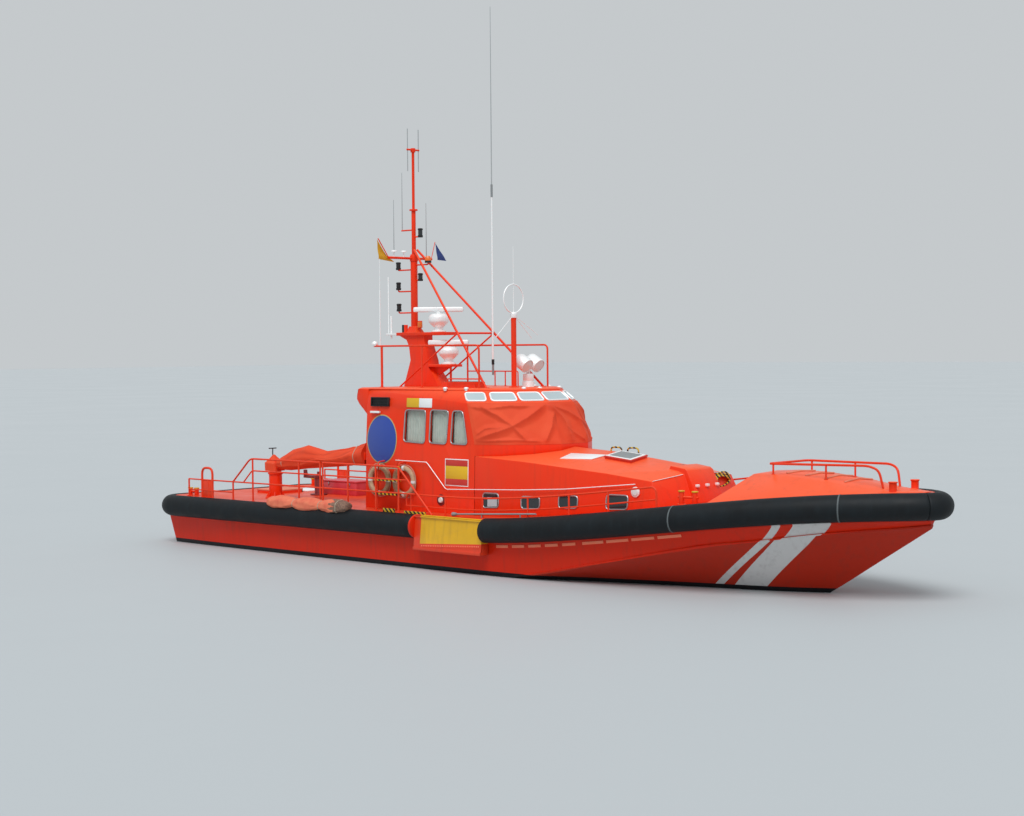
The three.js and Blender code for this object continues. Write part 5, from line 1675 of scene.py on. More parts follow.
    def oval(self, name: str, side: Side, half_x: float, half_z: float, out: float) -> Piece:
        """An oval plate on the house's side.

        Args:
            name: The plate's name.
            side: The side that it is on.
            half_x: Half its length.
            half_z: Half its height.
            out: How far its back stands off the wall.

        Returns:
            The plate.
        """
        middle_x, middle_z = self.oval_middle
        outline = []
        for a in turns(56):
            z = middle_z + half_z * math.sin(a)
            outline.append((middle_x + half_x * math.cos(a), side.value * (HOUSE.side_y(z) + out), z))
        return slab(name, outline, (0, side.value * 0.004, 0), 0.001)

    def side_plates(self) -> None:
        """Louvre, plates, oval and panel on both sides, all blank."""
        for side in Side:
            word = "_" + side.word
            louvre = [self.plate("louvre_frame", side, bar, 0.001, 0.05) for bar in self.louvre_bars]
            louvre.append(self.plate("louvre_back", side, (-3.57, -2.98, 3.6, 3.8), 0.001, 0.008))
            for z in self.louvre_slats:
                louvre.append(self.plate("slat", side, (-3.55, -3.0, z, z + 0.012), 0.012, 0.03))
            placed(joined("side_louvre" + word, louvre), BLACK)
            flat = (
                ("plate_yellow", (-2.39, -1.98, 3.59, 3.8), 0.001, 0.012, YELLOW_PLATE),
                ("plate_white", (-1.979, -1.56, 3.59, 3.8), 0.001, 0.012, WHITE),
                ("panel_border", (-1.1, -0.36, 1.84, 2.45), 0.001, 0.003, WHITE),
                ("panel_red_low", (-1.08, -0.38, 1.86, 2.0), 0.004, 0.003, RED),
                ("panel_yellow", (-1.08, -0.38, 2.001, 2.29), 0.004, 0.003, YELLOW_PLATE),
                ("panel_red_high", (-1.08, -0.38, 2.291, 2.43), 0.004, 0.003, RED),
            )
            for name, size, out, thick, finish in flat:
                placed(self.plate(name + word, side, size, out, thick), finish)
            placed(self.oval("oval_rim" + word, side, 0.51, 0.575, 0.001), GOLD)
            placed(self.oval("oval_field" + word, side, 0.485, 0.55, 0.004), BLUE)

    @staticmethod
    def wall_spot(side: Side, x: float, z: float, out: float) -> Vector:
        """A place off the side of the house, or of the cabin before it.

        Args:
            side: The side that it is on.
            x: The place along the boat.
            z: The height.
            out: How far it stands off the wall.

        Returns:
            The place.
        """
        inner = HOUSE.side_y(z) if x < -0.17 else CABIN.side_y(x, z)
        return Vector((x, side.value * (inner + out), z))

    def wall_lamps(self) -> None:
        """The strip lamp under each louvre and the round lamp low on each side, on a dark red disc whose
        colour is painted shade for its recess.
        """
        strips, brackets, backs, lenses = [], [], [], []
        for side in Side:
            low, high = sorted((side.value * 1.7, side.value * 1.76))
            strips.append(block("strip", (-3.56, low, 3.436), (-3.25, high, 3.486), 0.01))
            brackets.append(self.plate("bracket", side, (-3.46, -3.35, 3.42, 3.52), -0.005, 0.04))
            # A dark red disc on the wall: painted shade standing for the lamp's recess
            back = [self.wall_spot(side, *self.low_lamp, out) for out in (-0.005, 0.012)]
            backs.append(rod("back", *back, 0.13, edge=0.004, sides=32))
            lens = [self.wall_spot(side, *self.low_lamp, out) for out in (0.01, 0.04)]
            lenses.append(rod("lens", *lens, 0.07, 0.055, sides=28))
        placed(joined("strip_lamps", strips), WHITE)
        placed(joined("strip_lamp_brackets", brackets), RED)
        placed(joined("low_lamp_recess_shade_discs", backs), MAROON)
        placed(joined("low_lamp_lenses", lenses), LENS)

    def handrail(self, side: Side) -> Piece:
        """The handrail along the house and the cabin, on its standoffs.

        Args:
            side: The side that it is on.

        Returns:
            The handrail.
        """
        path = [self.wall_spot(side, x, z, 0.06) for x, z in self.handrail_path]
        parts = [tube("handrail", path, 0.0095, corner=0.06)]
        for x, z in self.standoffs:
            ends = [self.wall_spot(side, x, z, out) for out in (-0.01, 0.06)]
            parts.append(rod("standoff", *ends, 0.009, sides=10))
        return joined("house_handrail_" + side.word, parts)

    def roof_fittings(self) -> None:
        """The small lamps on the roof's edge and the skylight's pane."""
        lamps = []
        for x, y in self.roof_lamps:
            lamps.append(rod("roof_lamp", (x, y, 3.97), (x, y, 4.025), 0.035, edge=0.006))
            lamps.append(turned("roof_lamp_head", self.roof_lamp_head, (x, y, 3.98)))
        placed(joined("roof_lamps", lamps), WHITE)
        top = block("skylight_pane", (-1.76, -1.04, 4.171), (-0.82, -0.77, 4.179), 0.003)
        placed(top, DARK_GLASS)

    @staticmethod
    def is_light_seat(middle: Vector) -> bool:
        """Whether a face of the roof belongs to the searchlight's white seat."""
        return middle.z > 4.035 and (middle.xy - Vector((-0.62, 0.55))).length < 0.16

    def build(self) -> None:
        """Make the wheelhouse's pieces."""
        placed(dressed("wheelhouse_walls", 0.006), ENAMEL)
        roof = placed(dressed("wheelhouse_roof", 0.009), ENAMEL)
        repainted(roof, WHITE, self.is_light_seat)
        for node in ("windscreen_glazing", "aft_glazing", "side_glazing_starboard", "side_glazing_port"):
            placed(dressed(node), GLASS)
        cover = placed(self.cover(), CANVAS, replaces=["windscreen_cover"])
        placed(joined("window_frames", self.frames()), STEEL)
        for side in Side:
            for i, corners in enumerate(self.windows):
                curtain = placed(self.curtain(f"curtain_{side.word}_{i}", corners, side), CURTAIN)
            placed(self.handrail(side), WHITE)
        self.side_plates()
        self.wall_lamps()
        self.brow_windows()
        self.roof_fittings()
        placed(dressed("aft_door", 0.004), ENAMEL, body="aft_door")
        placed(dressed("helm_station", 0.012), DARK)
        self.ladders()
        self.rings()

    def ladders(self) -> None:
        """The steps up the house's sides: painted stiles and striped treads."""
        for side in Side:
            s = side.value
            stiles = []
            for x in self.stile_xs:
                path = [(x, s * 1.72, 2.328), (x, s * 1.93, 2.31), (x, s * 1.98, FORM.deck(x))]
                stiles.append(tube("stile", path, 0.018, corner=0.05))
            treads = []
            low, high = sorted((s * 1.9, s * 2.06))
            for z in self.tread_zs:
                corners = ((-3.13, low, z - 0.015), (-2.37, high, z + 0.015))
                treads.append(block("tread", *corners, 0.004))
            node = "side_ladder_" + side.word
            placed(joined(node + "_stiles", stiles), RAIL, replaces=[node])
            placed(joined(node + "_treads", treads), HAZARD)

    def rings(self) -> None:
        """The ring buoys with their bands and grab lines, hung on their rail."""
        turn, across = (math.pi / 2, 0, 0), Vector((0, 1, 0))
        sizes = {"major_radius": self.ring_radius, "minor_radius": self.ring_body}
        faces = {"major_segments": 56, "minor_segments": 16}
        for side in Side:
            s, node = side.value, "life_rings_" + side.word
            rings, ropes, bands = [], [], []
            for x in self.ring_xs:
                centre = Vector((x, s * self.ring_y, self.ring_z))
                place = {"location": centre, "rotation": turn}
                ring = primitive("ring", bpy.ops.mesh.primitive_torus_add, **place, **sizes, **faces)
                for vertex in ring.data.vertices:
                    vertex.co.y = centre.y + (vertex.co.y - centre.y) * 0.85
                rings.append(smoothed(ring, 60))
                path = []
                for a in turns(96):
                    slack = 0.378 + 0.022 * abs(math.sin(2 * a))
                    path.append(centre + Vector((slack * math.cos(a), 0, slack * math.sin(a))))
                ropes.append(tube("grab_line", path, 0.006, sides=8, closed=True))
                for a in turns(4):
                    out = Vector((math.cos(a), 0, math.sin(a)))
                    middle = centre + out * self.ring_radius
                    along = Vector((-out.z, 0, out.x)) * 0.03
                    wraps = [circle(middle + along * t, 0.063, out, across, 20) for t in (-1, 1)]
                    bands.append(smoothed(loft("band", wraps), 40))
                top = centre + Vector((0, 0, 0.28))
                ropes.append(rod("ring_hook", top, (x, s * 1.735, 2.18), 0.012, sides=10))
            rail = [(x, s * self.ring_y, self.ring_rail_z) for x in self.ring_xs]
            ropes.append(tube("ring_rail", rail, 0.012))
            placed(joined(node + "_foam", rings), FOAM, replaces=[node])
            placed(joined(node + "_lines", ropes), ROPE)
            placed(joined(node + "_bands", bands), LENS)


@dataclass(frozen=True)
class CabinForm:
    """The fore cabin's sides, from which its windows and rails are placed."""

    # foot x, foot y, knuckle x, knuckle y, knuckle z, crown z
    rows: tuple = (
        (-0.17, 1.75, -0.17, 1.718, 2.53, 2.74),
        (1.3, 1.745, 1.3, 1.7, 2.46, 2.715),
        (2.4, 1.7, 2.4, 1.64, 2.375, 2.65),
        (3.5, 1.61, 3.5, 1.53, 2.285, 2.54),
        (4.6, 1.48, 4.57, 1.38, 2.155, 2.39),
    )
    front_knuckle: tuple = (4.6, 1.375, 2.15)
    front_crown: tuple = (4.79, 2.31)

    def side_y(self, x: float, z: float) -> float:
        """The half width of the cabin's side at a place.

        Args:
            x: The place along the boat.
            z: The height.

        Returns:
            The half width.
        """
        foot_z = FORM.deck(x) - 0.06
        foot, knuckle, knuckle_z = (read_off(x, self.rows, column) for column in (1, 3, 4))
        return lerp(foot, knuckle, (z - foot_z) / (knuckle_z - foot_z))

    def top_z(self, x: float, y: float) -> float:
        """The height of the cabin's roof at a place."""
        knuckle, knuckle_z, crown = (read_off(x, self.rows, column) for column in (3, 4, 5))
        return lerp(crown, knuckle_z, min(1, abs(y) / knuckle))

    def front_edge(self, y: float) -> Vector:
        """The roof's front edge at y, which bows forward to the middle.

        Args:
            y: The distance to port.

        Returns:
            The edge's place.
        """
        knuckle_x, knuckle_y, knuckle_z = self.front_knuckle
        crown_x, crown_z = self.front_crown
        share = 1 - abs(y) / knuckle_y
        return Vector((lerp(knuckle_x, crown_x, share), y, lerp(knuckle_z, crown_z, share)))


CABIN = CabinForm()


@dataclass
class ForeCabin:
    """The fore cabin with its windows, hatch, lamps and handles."""

    # x0, x1, z0, z1 of each side window
    windows: tuple = (
        (0.1, 0.57, 1.4, 1.73),
        (1.25, 1.77, 1.44, 1.71),
        (2.3, 2.8, 1.5, 1.78),
        (3.54, 4.07, 1.535, 1.845),
    )
    # x0, x1 of each hoop by the hatch
    hoops: tuple = ((2.31, 2.61), (2.78, 3.09))
    hoop_y: float = 0.05
    hoop_top: float = 2.735
    # The middle of the hatch on the roof, and the way up from it
    hatch_middle: tuple = (3.06, -0.35, 2.525)
    hatch_up: tuple = (0.1, -0.1675, 1.0)
    # The blind in the aftmost window, as x0, x1, z0, z1
    blind: tuple = (0.24, 0.53, 1.43, 1.64)
    # x and z of the deck lamps
    lamp: tuple = (4.244, 1.925)
    # x and y of the corners of the plate on the roof
    roof_plate: tuple = ((1.82, -1.1), (2.49, -0.81), (2.54, -0.36), (1.71, -0.61))

    def window_outline(self, row: Sequence[float], side: Side, out: float) -> list[Vector]:
        """A window's corners on the cabin's side.

        Args:
            row: The window's x0, x1, z0 and z1.
            side: The side that it is on.
            out: How far the corners stand off the side.

        Returns:
            The corners.
        """
        x0, x1, z0, z1 = row
        corners = [(x0, z0), (x1, z0 + 0.02), (x1, z1), (x0, z1)]
        return [Vector((x, side.value * (CABIN.side_y(x, z) + out), z)) for x, z in corners]

    def build(self) -> None:
        """Make the cabin's pieces."""
        placed(dressed("fore_cabin", 0.012), ENAMEL)
        placed(dressed("cabin_hatch_lid", 0.008), RED, body="cabin_hatch_lid")
        for name, half_x, half_y, low, high, finish in (
            ("cabin_hatch_frame", 0.355, 0.26, 0.074, 0.082, WHITE),
            ("cabin_hatch_pane", 0.29, 0.2, 0.08, 0.088, GREY),
        ):
            pane = block(name, (-half_x, -half_y, low), (half_x, half_y, high), 0.003)
            pane.data.transform(Matrix.Translation(self.hatch_middle) @ self.hatch_turn().to_4x4())
            placed(pane, finish, body="cabin_hatch_lid")
        frames, panes, blinds = [], [], []
        for side in Side:
            for row in self.windows:
                outline = self.window_outline(row, side, 0.003)
                bar = tube("cabin_window_frame", outline, 0.017, corner=0.08, sides=10, closed=True)
                frames.append(bar)
                corners = rounded(outline, 0.08, closed=True)
                panes.append(slab("cabin_window_pane", corners, (0, side.value * 0.004, 0), 0))
                if row is self.windows[0]:
                    pale = self.window_outline(self.blind, side, 0.008)
                    blinds.append(slab("cabin_window_cover", pale, (0, side.value * 0.003, 0), 0))
        placed(joined("cabin_window_frames", frames), STEEL)
        placed(joined("cabin_window_panes", panes), DARK_GLASS)
        # The blind takes the same pale paint as the brow's painted sky reflection
        placed(joined("cabin_window_covers", blinds), PAINTED_SKY_AND_BLIND)
        self.lamps()
        self.roof_gear()
        self.front_gear()

    def hatch_turn(self) -> Matrix:
        """The turn from level to the roof's slopes at the hatch.

        Returns:
            The turn, as a matrix of 3 by 3.
        """
        up = Vector(self.hatch_up).normalized()
        fore = Vector((1, 0, -self.hatch_up[0])).normalized()
        return Matrix((fore, up.cross(fore), up)).transposed()

    def roof_gear(self) -> None:
        """The hoops by the hatch and the white plate that lies on the roof."""
        hoops = []
        for x0, x1 in self.hoops:
            y, base, top = self.hoop_y, CABIN.top_z(x0, self.hoop_y) - 0.02, self.hoop_top
            path = [(x0, y, base), (x0, y, top), (x1, y, top), (x1, y, base - 0.05)]
            hoops.append(tube("hoop", path, 0.018, corner=0.1))
        placed(joined("cabin_hoops", hoops), HAZARD)
        outline = [(x, y, CABIN.top_z(x, y) + 0.004) for x, y in self.roof_plate]
        placed(slab("roof_plate", outline, (0, 0, 0.014)), WHITE)

    def front_gear(self) -> None:
        """The pale edge along the front, the coil hung on it and the hood's three dogs."""
        edge = [CABIN.front_edge(y) + Vector((0.006, 0, 0.004)) for y in (-1.36, -0.95, -0.5)]
        edges = [tube("edge", edge, 0.007), tube("edge", [p * Vector((1, -1, 1)) for p in edge], 0.007)]
        for y in (-0.34, 0, 0.34):
            edges.append(block("dog", (4.95, y - 0.035, 1.99), (5.03, y + 0.035, 2.05), 0.012))
        placed(joined("cabin_front_edges", edges), WHITE)
        loops = []
        for i in range(4):
            path = []
            for a in turns(40):
                y = 0.85 + (0.4 - 0.04 * i) * math.cos(a)
                z = 2.05 + (0.18 - 0.025 * i) * math.sin(a) + 0.02 * math.sin(2 * a + i)
                path.append((CABIN.front_edge(y).x + 0.035 + 0.02 * i, y, z))
            loops.append(tube("loop", path, 0.017, sides=10, closed=True))
        placed(joined("hose_coil", loops), HAZARD)

    def lamps(self) -> None:
        """The round deck lamps on the cabin's sides."""
        housings, lenses = [], []
        for side in Side:
            x, z = self.lamp
            y = CABIN.side_y(x, z)
            start, end = (x, side.value * (y - 0.01), z), (x, side.value * (y + 0.03), z)
            housings.append(rod("lamp_housing", start, end, 0.11, edge=0.01, sides=28))
            lens_end = (x, side.value * (y + 0.042), z)
            lenses.append(rod("lamp_lens", end, lens_end, 0.088, 0.07, edge=0.006, sides=28))
        placed(joined("deck_lamp_housings", housings), WHITE)
        placed(joined("deck_lamp_lenses", lenses), LENS)


@dataclass
class Forecastle:
    """The raised foredeck with its mooring posts and treads."""

    # x of each tread across the foredeck
    treads: tuple = (7.35, 7.8, 8.25, 8.7)
    # x, shoulder y, shoulder z, ridge z
    rows: tuple = (
        (6.76, 0.8, 2.37, 2.4),
        (7.5, 0.77, 2.36, 2.4),
        (8.5, 0.68, 2.27, 2.33),
        (9.4, 0.52, 2.15, 2.21),
        (9.98, 0.33, 2.122, 2.15),
        (10.24, 0.12, 2.116, 2.126),
    )

    def top_z(self, x: float, y: float) -> float:
        """The foredeck's height at a place."""
        shoulder_y, shoulder_z, ridge = (read_off(x, self.rows, column) for column in (1, 2, 3))
        return lerp(ridge, shoulder_z, abs(y) / shoulder_y)

    def build(self) -> None:
        """Make the foredeck's pieces."""
        placed(dressed("forecastle", 0.01), ENAMEL)
        bars = []
        for x in self.treads:
            points = [(x, y, self.top_z(x, y) + 0.012) for y in (-0.5, 0, 0.5)]
            bars.append(tube("tread", points, 0.02, sides=10))
        placed(joined("foredeck_treads", bars), DECK)


# Mast and roof gear


@dataclass
class Mast:
    """The mast: its column, its pole with lamps and aerials, and its stays."""

    x: float = -3.85
    arm_z: float = 7.12
    # x, lamp foot z, lamp height, arm z
    lamps: tuple = (
        (-4.4, 6.86, 0.19, 6.85),
        (-4.4, 6.37, 0.19, 6.33),
        (-4.39, 5.85, 0.19, 5.81),
        (-3.62, 7.62, 0.22, 7.64),
        (-3.63, 6.57, 0.19, 6.59),
    )
    beacon: tuple = (-3.36, 0, 7.0)
    # Radius and height pairs of the turned forms
    lamp_base: tuple = ((0, 0), (0.058, 0), (0.062, 0.012), (0.062, 0.05), (0.05, 0.058), (0, 0.058))
    lamp_cap: tuple = (
        (0, -0.05), (0.054, -0.05), (0.062, -0.04), (0.062, -0.012), (0.045, 0), (0, 0),
    )
    beacon_dome: tuple = (
        (0, 0), (0.08, 0), (0.08, 0.05), (0.08, 0.055), (0.07, 0.12), (0.045, 0.16), (0, 0.17),
    )
    mushroom: tuple = (
        (0, 0), (0.014, 0), (0.014, 0.14), (0.075, 0.145), (0.07, 0.17), (0.04, 0.182), (0, 0.184),
    )
    amber_lamp: tuple = (
        (0, 0), (0.06, 0), (0.062, 0.03), (0.06, 0.13), (0.045, 0.158), (0, 0.165),
    )
    loop_hub: tuple = ((0, 0), (0.075, 0), (0.082, 0.02), (0.082, 0.1), (0.06, 0.125), (0, 0.13))
    # The tall whip's lengths: foot z, head z, radius at each
    whip_lengths: tuple = (
        (4.298, 4.56, 0.026, 0.026), (4.55, 4.67, 0.034, 0.034), (4.66, 8.6, 0.026, 0.018),
        (8.5, 8.8, 0.026, 0.026), (8.79, 12.97, 0.013, 0.007),
    )
    # y and z of the loop aerial's whisker ends
    whiskers: tuple = ((-0.6, 5.18), (0.84, 5.23), (0.61, 5.16))

    def pole(self) -> None:
        """The pole, the crossarm and the tapered whips."""
        x = self.x
        parts = [
            rod("pole", (x, 0, 5.48), (x, 0, 7.22), 0.085, sides=28, edge=0.004),
            rod("pole", (x, 0, 7.2), (x, 0, 8.31), 0.052, sides=24, edge=0.004),
            rod("pole", (x, 0, 8.27), (x, 0, 8.31), 0.1, sides=28, edge=0.006),
            rod("pole", (x, 0, 8.3), (x, 0, 9.72), 0.034, sides=20),
            rod("crossarm", (x, -0.85, self.arm_z), (x, 0.6, self.arm_z), 0.03, edge=0.004),
            rod("collar", (x, 0, 7.05), (x, 0, 7.19), 0.1, sides=28, edge=0.006),
            rod("head", (x, -0.2, 9.74), (x, 0.2, 9.74), 0.022, edge=0.003),
            rod("head", (x, 0, 9.68), (x, 0, 9.78), 0.06, edge=0.006),
            rod("whip_arm", (x, 0, 7.81), (-4.27, 0, 7.81), 0.018),
            rod("staff", (x, -0.84, self.arm_z), (x, -1.176, 7.563), 0.012),
            rod("halyard", (x, 0.585, self.arm_z), (x, 0.72, 7.546), 0.008),
        ]
        for lamp_x, foot, _, arm in self.lamps:
            path = [(x, 0, arm), (lamp_x, 0, arm), (lamp_x, 0, foot + 0.02)]
            parts.append(tube("lamp_arm", path, 0.018, corner=0.05))
        path = [(x, 0, 6.96), (-3.36, 0, 6.96), (-3.36, 0, 7.01)]
        parts.append(tube("beacon_arm", path, 0.018, corner=0.04))
        placed(joined("mast_pole_tubes", parts), ENAMEL, replaces=["mast_pole"])
        whips = [
            rod("whip", (x, -0.66, 7.29), (x, -0.66, 8.5), 0.012, 0.006, sides=12),
            rod("whip", (x, 0.42, self.arm_z), (x, 0.42, 8.48), 0.012, 0.006, sides=12),
            rod("whip", (-4.25, 0, 7.8), (-4.25, 0, 9.22), 0.012, 0.006, sides=12),
        ]
        whips += [rod("dipole", (x, y, 9.22), (x, y, 10.24), 0.011, sides=12) for y in (-0.18, 0.18)]
        placed(joined("mast_whips", whips), WHIP)

    def lamp(self, x: float, foot: float, height: float) -> tuple[list[Piece], Piece]:
        """A navigation lamp.

        Args:
            x: The lamp's place along the boat.
            foot: The height of its foot.
            height: How tall it is.

        Returns:
            The black base and cap, and the lens between them.
        """
        base = turned("lamp_base", self.lamp_base, (x, 0, foot))
        top = turned("lamp_cap", self.lamp_cap, (x, 0, foot + height))
        profile = [(0, 0.05), (0.05, 0.05), (0.054, 0.08), (0.054, height - 0.07)]
        profile += [(0.05, height - 0.045), (0, height - 0.045)]
        return [base, top], turned("lamp_lens", profile, (x, 0, foot))

    def lamps_and_domes(self) -> None:
        """Every lamp and small dome on the mast."""
        cases, lenses = [], []
        for x, foot, height, _ in self.lamps:
            new_cases, lens = self.lamp(x, foot, height)
            cases += new_cases
            lenses.append(lens)
        placed(joined("navigation_lamp_cases", cases), BLACK)
        lenses = placed(joined("navigation_lamp_lenses", lenses), LENS)
        repainted(lenses, BLACK, lambda middle: middle.x < self.x)
        repainted(lenses, DARK_GLASS, lambda middle: middle.x > self.x)
        beacon = placed(turned("beacon", self.beacon_dome, self.beacon), AMBER)
        repainted(beacon, BLACK, lambda middle: middle.z < 7.05)
        places = [(self.x, y, self.arm_z) for y in (-0.66, -0.34)]
        placed(joined("mast_domes", [turned("mushroom", self.mushroom, at) for at in places]), WHITE)

    @staticmethod
    def is_whip(middle: Vector) -> bool:
        """Whether a face of the column belongs to the whips on its aft bar."""
        return middle.x < -4.35 and middle.z > 5.12

    @staticmethod
    def is_box(middle: Vector) -> bool:
        """Whether a face of the column belongs to the box at its aft side."""
        return -4.6 < middle.x < -4.15 and 5.37 < middle.z < 5.7

    def column(self) -> None:
        """The boxed column with its platforms, lamps and aft bar."""
        column = placed(dressed("mast_column", 0.006), ENAMEL)
        repainted(column, WHITE, self.is_whip)
        repainted(column, BLACK, self.is_box)
        placed(turned("amber_lamp", self.amber_lamp, (-3.661, 0, 5.45)), AMBER)

    def stays(self) -> None:
        """The two stays with their crossbar and braces, and the tall whip clamped to the crossbar."""
        parts = []
        for s in (-1, 1):
            stay = ((-3.79, s * 0.05, 7.33), (-0.514, s * 0.968, 4.02))
            parts.append(rod("stay", *stay, 0.028, edge=0.003))
            pad = [(-0.53, s * 0.962, z) for z in (4.031, 4.045)]
            parts.append(rod("stay_pad", *pad, 0.075, edge=0.004))
            parts.append(rod("brace", (-1.777, s * 0.613, 5.29), (-3.77, s * 0.59, 4.02), 0.02))
        parts.append(rod("crossbar", (-1.777, -0.613, 5.29), (-1.777, 0.613, 5.29), 0.024))
        placed(joined("mast_stay_tubes", parts), ENAMEL, replaces=["mast_stays"])
        x, y = -1.725, 0.52
        whip = []
        for low, high, foot, head in self.whip_lengths:
            whip.append(rod("whip", (x, y, low), (x, y, high), foot, head, sides=16))
        whip = placed(joined("tall_whip_rod", whip), WHITE, replaces=["tall_whip"])
        repainted(whip, GREY, lambda middle: middle.z < 4.56 or 8.62 < middle.z < 8.81)
        repainted(whip, BLACK, lambda middle: 4.549 < middle.z < 4.671)
        repainted(whip, WHIP, lambda middle: middle.z > 8.81)
        path = [(-1.8, y, 5.32), (-1.7, y, 5.32), (-1.7, y, 5.26), (-1.8, y, 5.26)]
        placed(tube("whip_clamp", path, 0.008, corner=0.02, closed=True), STEEL)

    def loop_aerial(self) -> None:
        """The loop aerial on its post."""
        x = -0.56
        orange = [
            rod("post", (x, 0, 4.0305), (x, 0, 5.64), 0.062, sides=24),
            rod("post_foot", (x, 0, 4.031), (x, 0, 4.05), 0.12, edge=0.005),
        ]
        post = joined("loop_aerial_post", orange)
        placed(post, ENAMEL, replaces=["loop_aerial"])
        loop_path = circle(Vector((x, 0, 6.07)), 0.33, Vector((0, 1, 0)), Vector((0, 0, 1)), 64)
        pale = [
            turned("hub", self.loop_hub, (x, 0, 5.63)),
            tube("loop", loop_path, 0.016, sides=12, closed=True),
            rod("spine", (x, 0, 5.75), (x, 0, 7.27), 0.009, 0.005),
        ]
        pale += [rod("whisker", (x, 0, 5.7), (x, y, z), 0.007, sides=10) for y, z in self.whiskers]
        placed(joined("loop_aerial_ring", pale), WHITE)

    def build(self) -> None:
        """Make the mast's pieces."""
        self.column()
        self.pole()
        self.lamps_and_domes()
        self.stays()
        self.loop_aerial()


@dataclass
class Radars:
    """The two radars, each a pedestal and a turning scanner."""

    # name, x, foot z, dome radius, height, bar length, turn in degrees
    sets: tuple = (
        ("radar_upper", -3.02, 5.33, 0.24, 0.44, 1.2, 40),
        ("radar_lower", -2.69, 4.56, 0.24, 0.42, 1.0, 28),
    )
    # The pedestal's profile: share of the dome's radius, and height over the foot or under the top
    lower: tuple = (
        (0, 0.0004), (0.72, 0.0004), (0.74, 0.01), (0.72, 0.03), (0.45, 0.06),
        (0.45, 0.11), (0.8, 0.19), (0.96, 0.235), (1.0, 0.27),
    )
    upper: tuple = ((1.0, 0.09), (0.93, 0.05), (0.7, 0.004), (0.66, 0.0006), (0, 0.0006))

    def build(self) -> None:
        """Make both radars."""
        for name, x, z, dome, height, bar, turn in self.sets:
            profile = [(dome * share, up) for share, up in self.lower]
            profile += [(dome * share, height - down) for share, down in self.upper]
            pedestal = turned(name + "_gearbox", profile, (x, 0, z))
            placed(pedestal, WHITE, replaces=[name + "_pedestal"])
            top = z + height
            hub = rod("hub", (x, 0, top), (x, 0, top + 0.06), 0.07, edge=0.006, sides=28)
            half, inner = bar / 2, bar / 2 - 0.03
            blade = block("blade", (-half, -0.065, top + 0.04), (half, 0.065, top + 0.16), 0.03)
            face = block("face", (-inner, -0.072, top + 0.06), (inner, -0.06, top + 0.14), 0.004)
            arm = joined("arm", [blade, face])
            arm.data.transform(Matrix.Translation((x, 0, 0)) @ Matrix.Rotation(math.radians(turn), 4, "Z"))
            scanner = joined(name + "_antenna", [hub, arm])
            placed(scanner, WHITE, body=name + "_turner", replaces=[name + "_scanner"])


@dataclass
class Searchlight:
    """The twin searchlight on its turning column."""

    x: float = -0.62
    y: float = 0.55
    pan_z: float = 4.16
    tilt_z: float = 4.6
    spacing: float = 0.195
    radius: float = 0.17
    half: float = 0.19
    down: float = 30.0

    def build(self) -> None:
        """Make the yoke and the two lamps."""
        x, y, tilt = self.x, self.y, self.tilt_z
        pin = self.spacing - self.radius - 0.0005
        yoke = [
            rod("column", (x, y, self.pan_z), (x, y, tilt - 0.265), 0.125, edge=0.012, sides=32),
            block("plate", (x - 0.05, y - 0.016, tilt - 0.275), (x + 0.05, y + 0.016, tilt), 0.004),
            rod("pin", (x, y - pin, tilt), (x, y + pin, tilt), 0.028, sides=24),
        ]
        placed(
            joined("searchlight_column", yoke),
            WHITE,
            body="searchlight_pan",
            replaces=["searchlight_yoke"],
        )
        r, half = self.radius, self.half
        back = ((0, 0), (0.55, 0.004), (0.78, 0.03), (0.94, 0.07), (1.0, 0.11))
        shell = [(r * share, up - half) for share, up in back]
        rim = ((0, 0.012), (0.006, 0), (0.016, 0), (0.018, 0.02))
        shell += [(r - inward, half - down) for inward, down in rim] + [(0, half - 0.02)]
        lens = [(0, half - 0.018), (r - 0.02, half - 0.018), (r - 0.024, half - 0.01)]
        lens += [(r * 0.5, half - 0.004), (0, half - 0.002)]
        turn = Matrix.Translation((x, y, tilt)) @ Matrix.Rotation(math.radians(self.down), 4, "Y")
        drums, lenses = [], []
        for s in (-1, 1):
            for made, profile in ((drums, shell), (lenses, lens)):
                part = turned("drum", profile, (0, 0, 0), 36)
                lay = Matrix.Translation((0, s * self.spacing, 0)) @ Matrix.Rotation(math.pi / 2, 4, "Y")
                part.data.transform(turn @ lay)
                made.append(part)
        bridge = rod("bridge", (-0.11, -self.spacing, 0.08), (-0.11, self.spacing, 0.08), 0.018)
        bridge.data.transform(turn)
        heads = joined("searchlight_drums", drums + [bridge])
        placed(heads, WHITE, body="searchlight_tilt", replaces=["searchlight_heads"])
        placed(joined("searchlight_lenses", lenses), LENS, body="searchlight_tilt")


# Rails


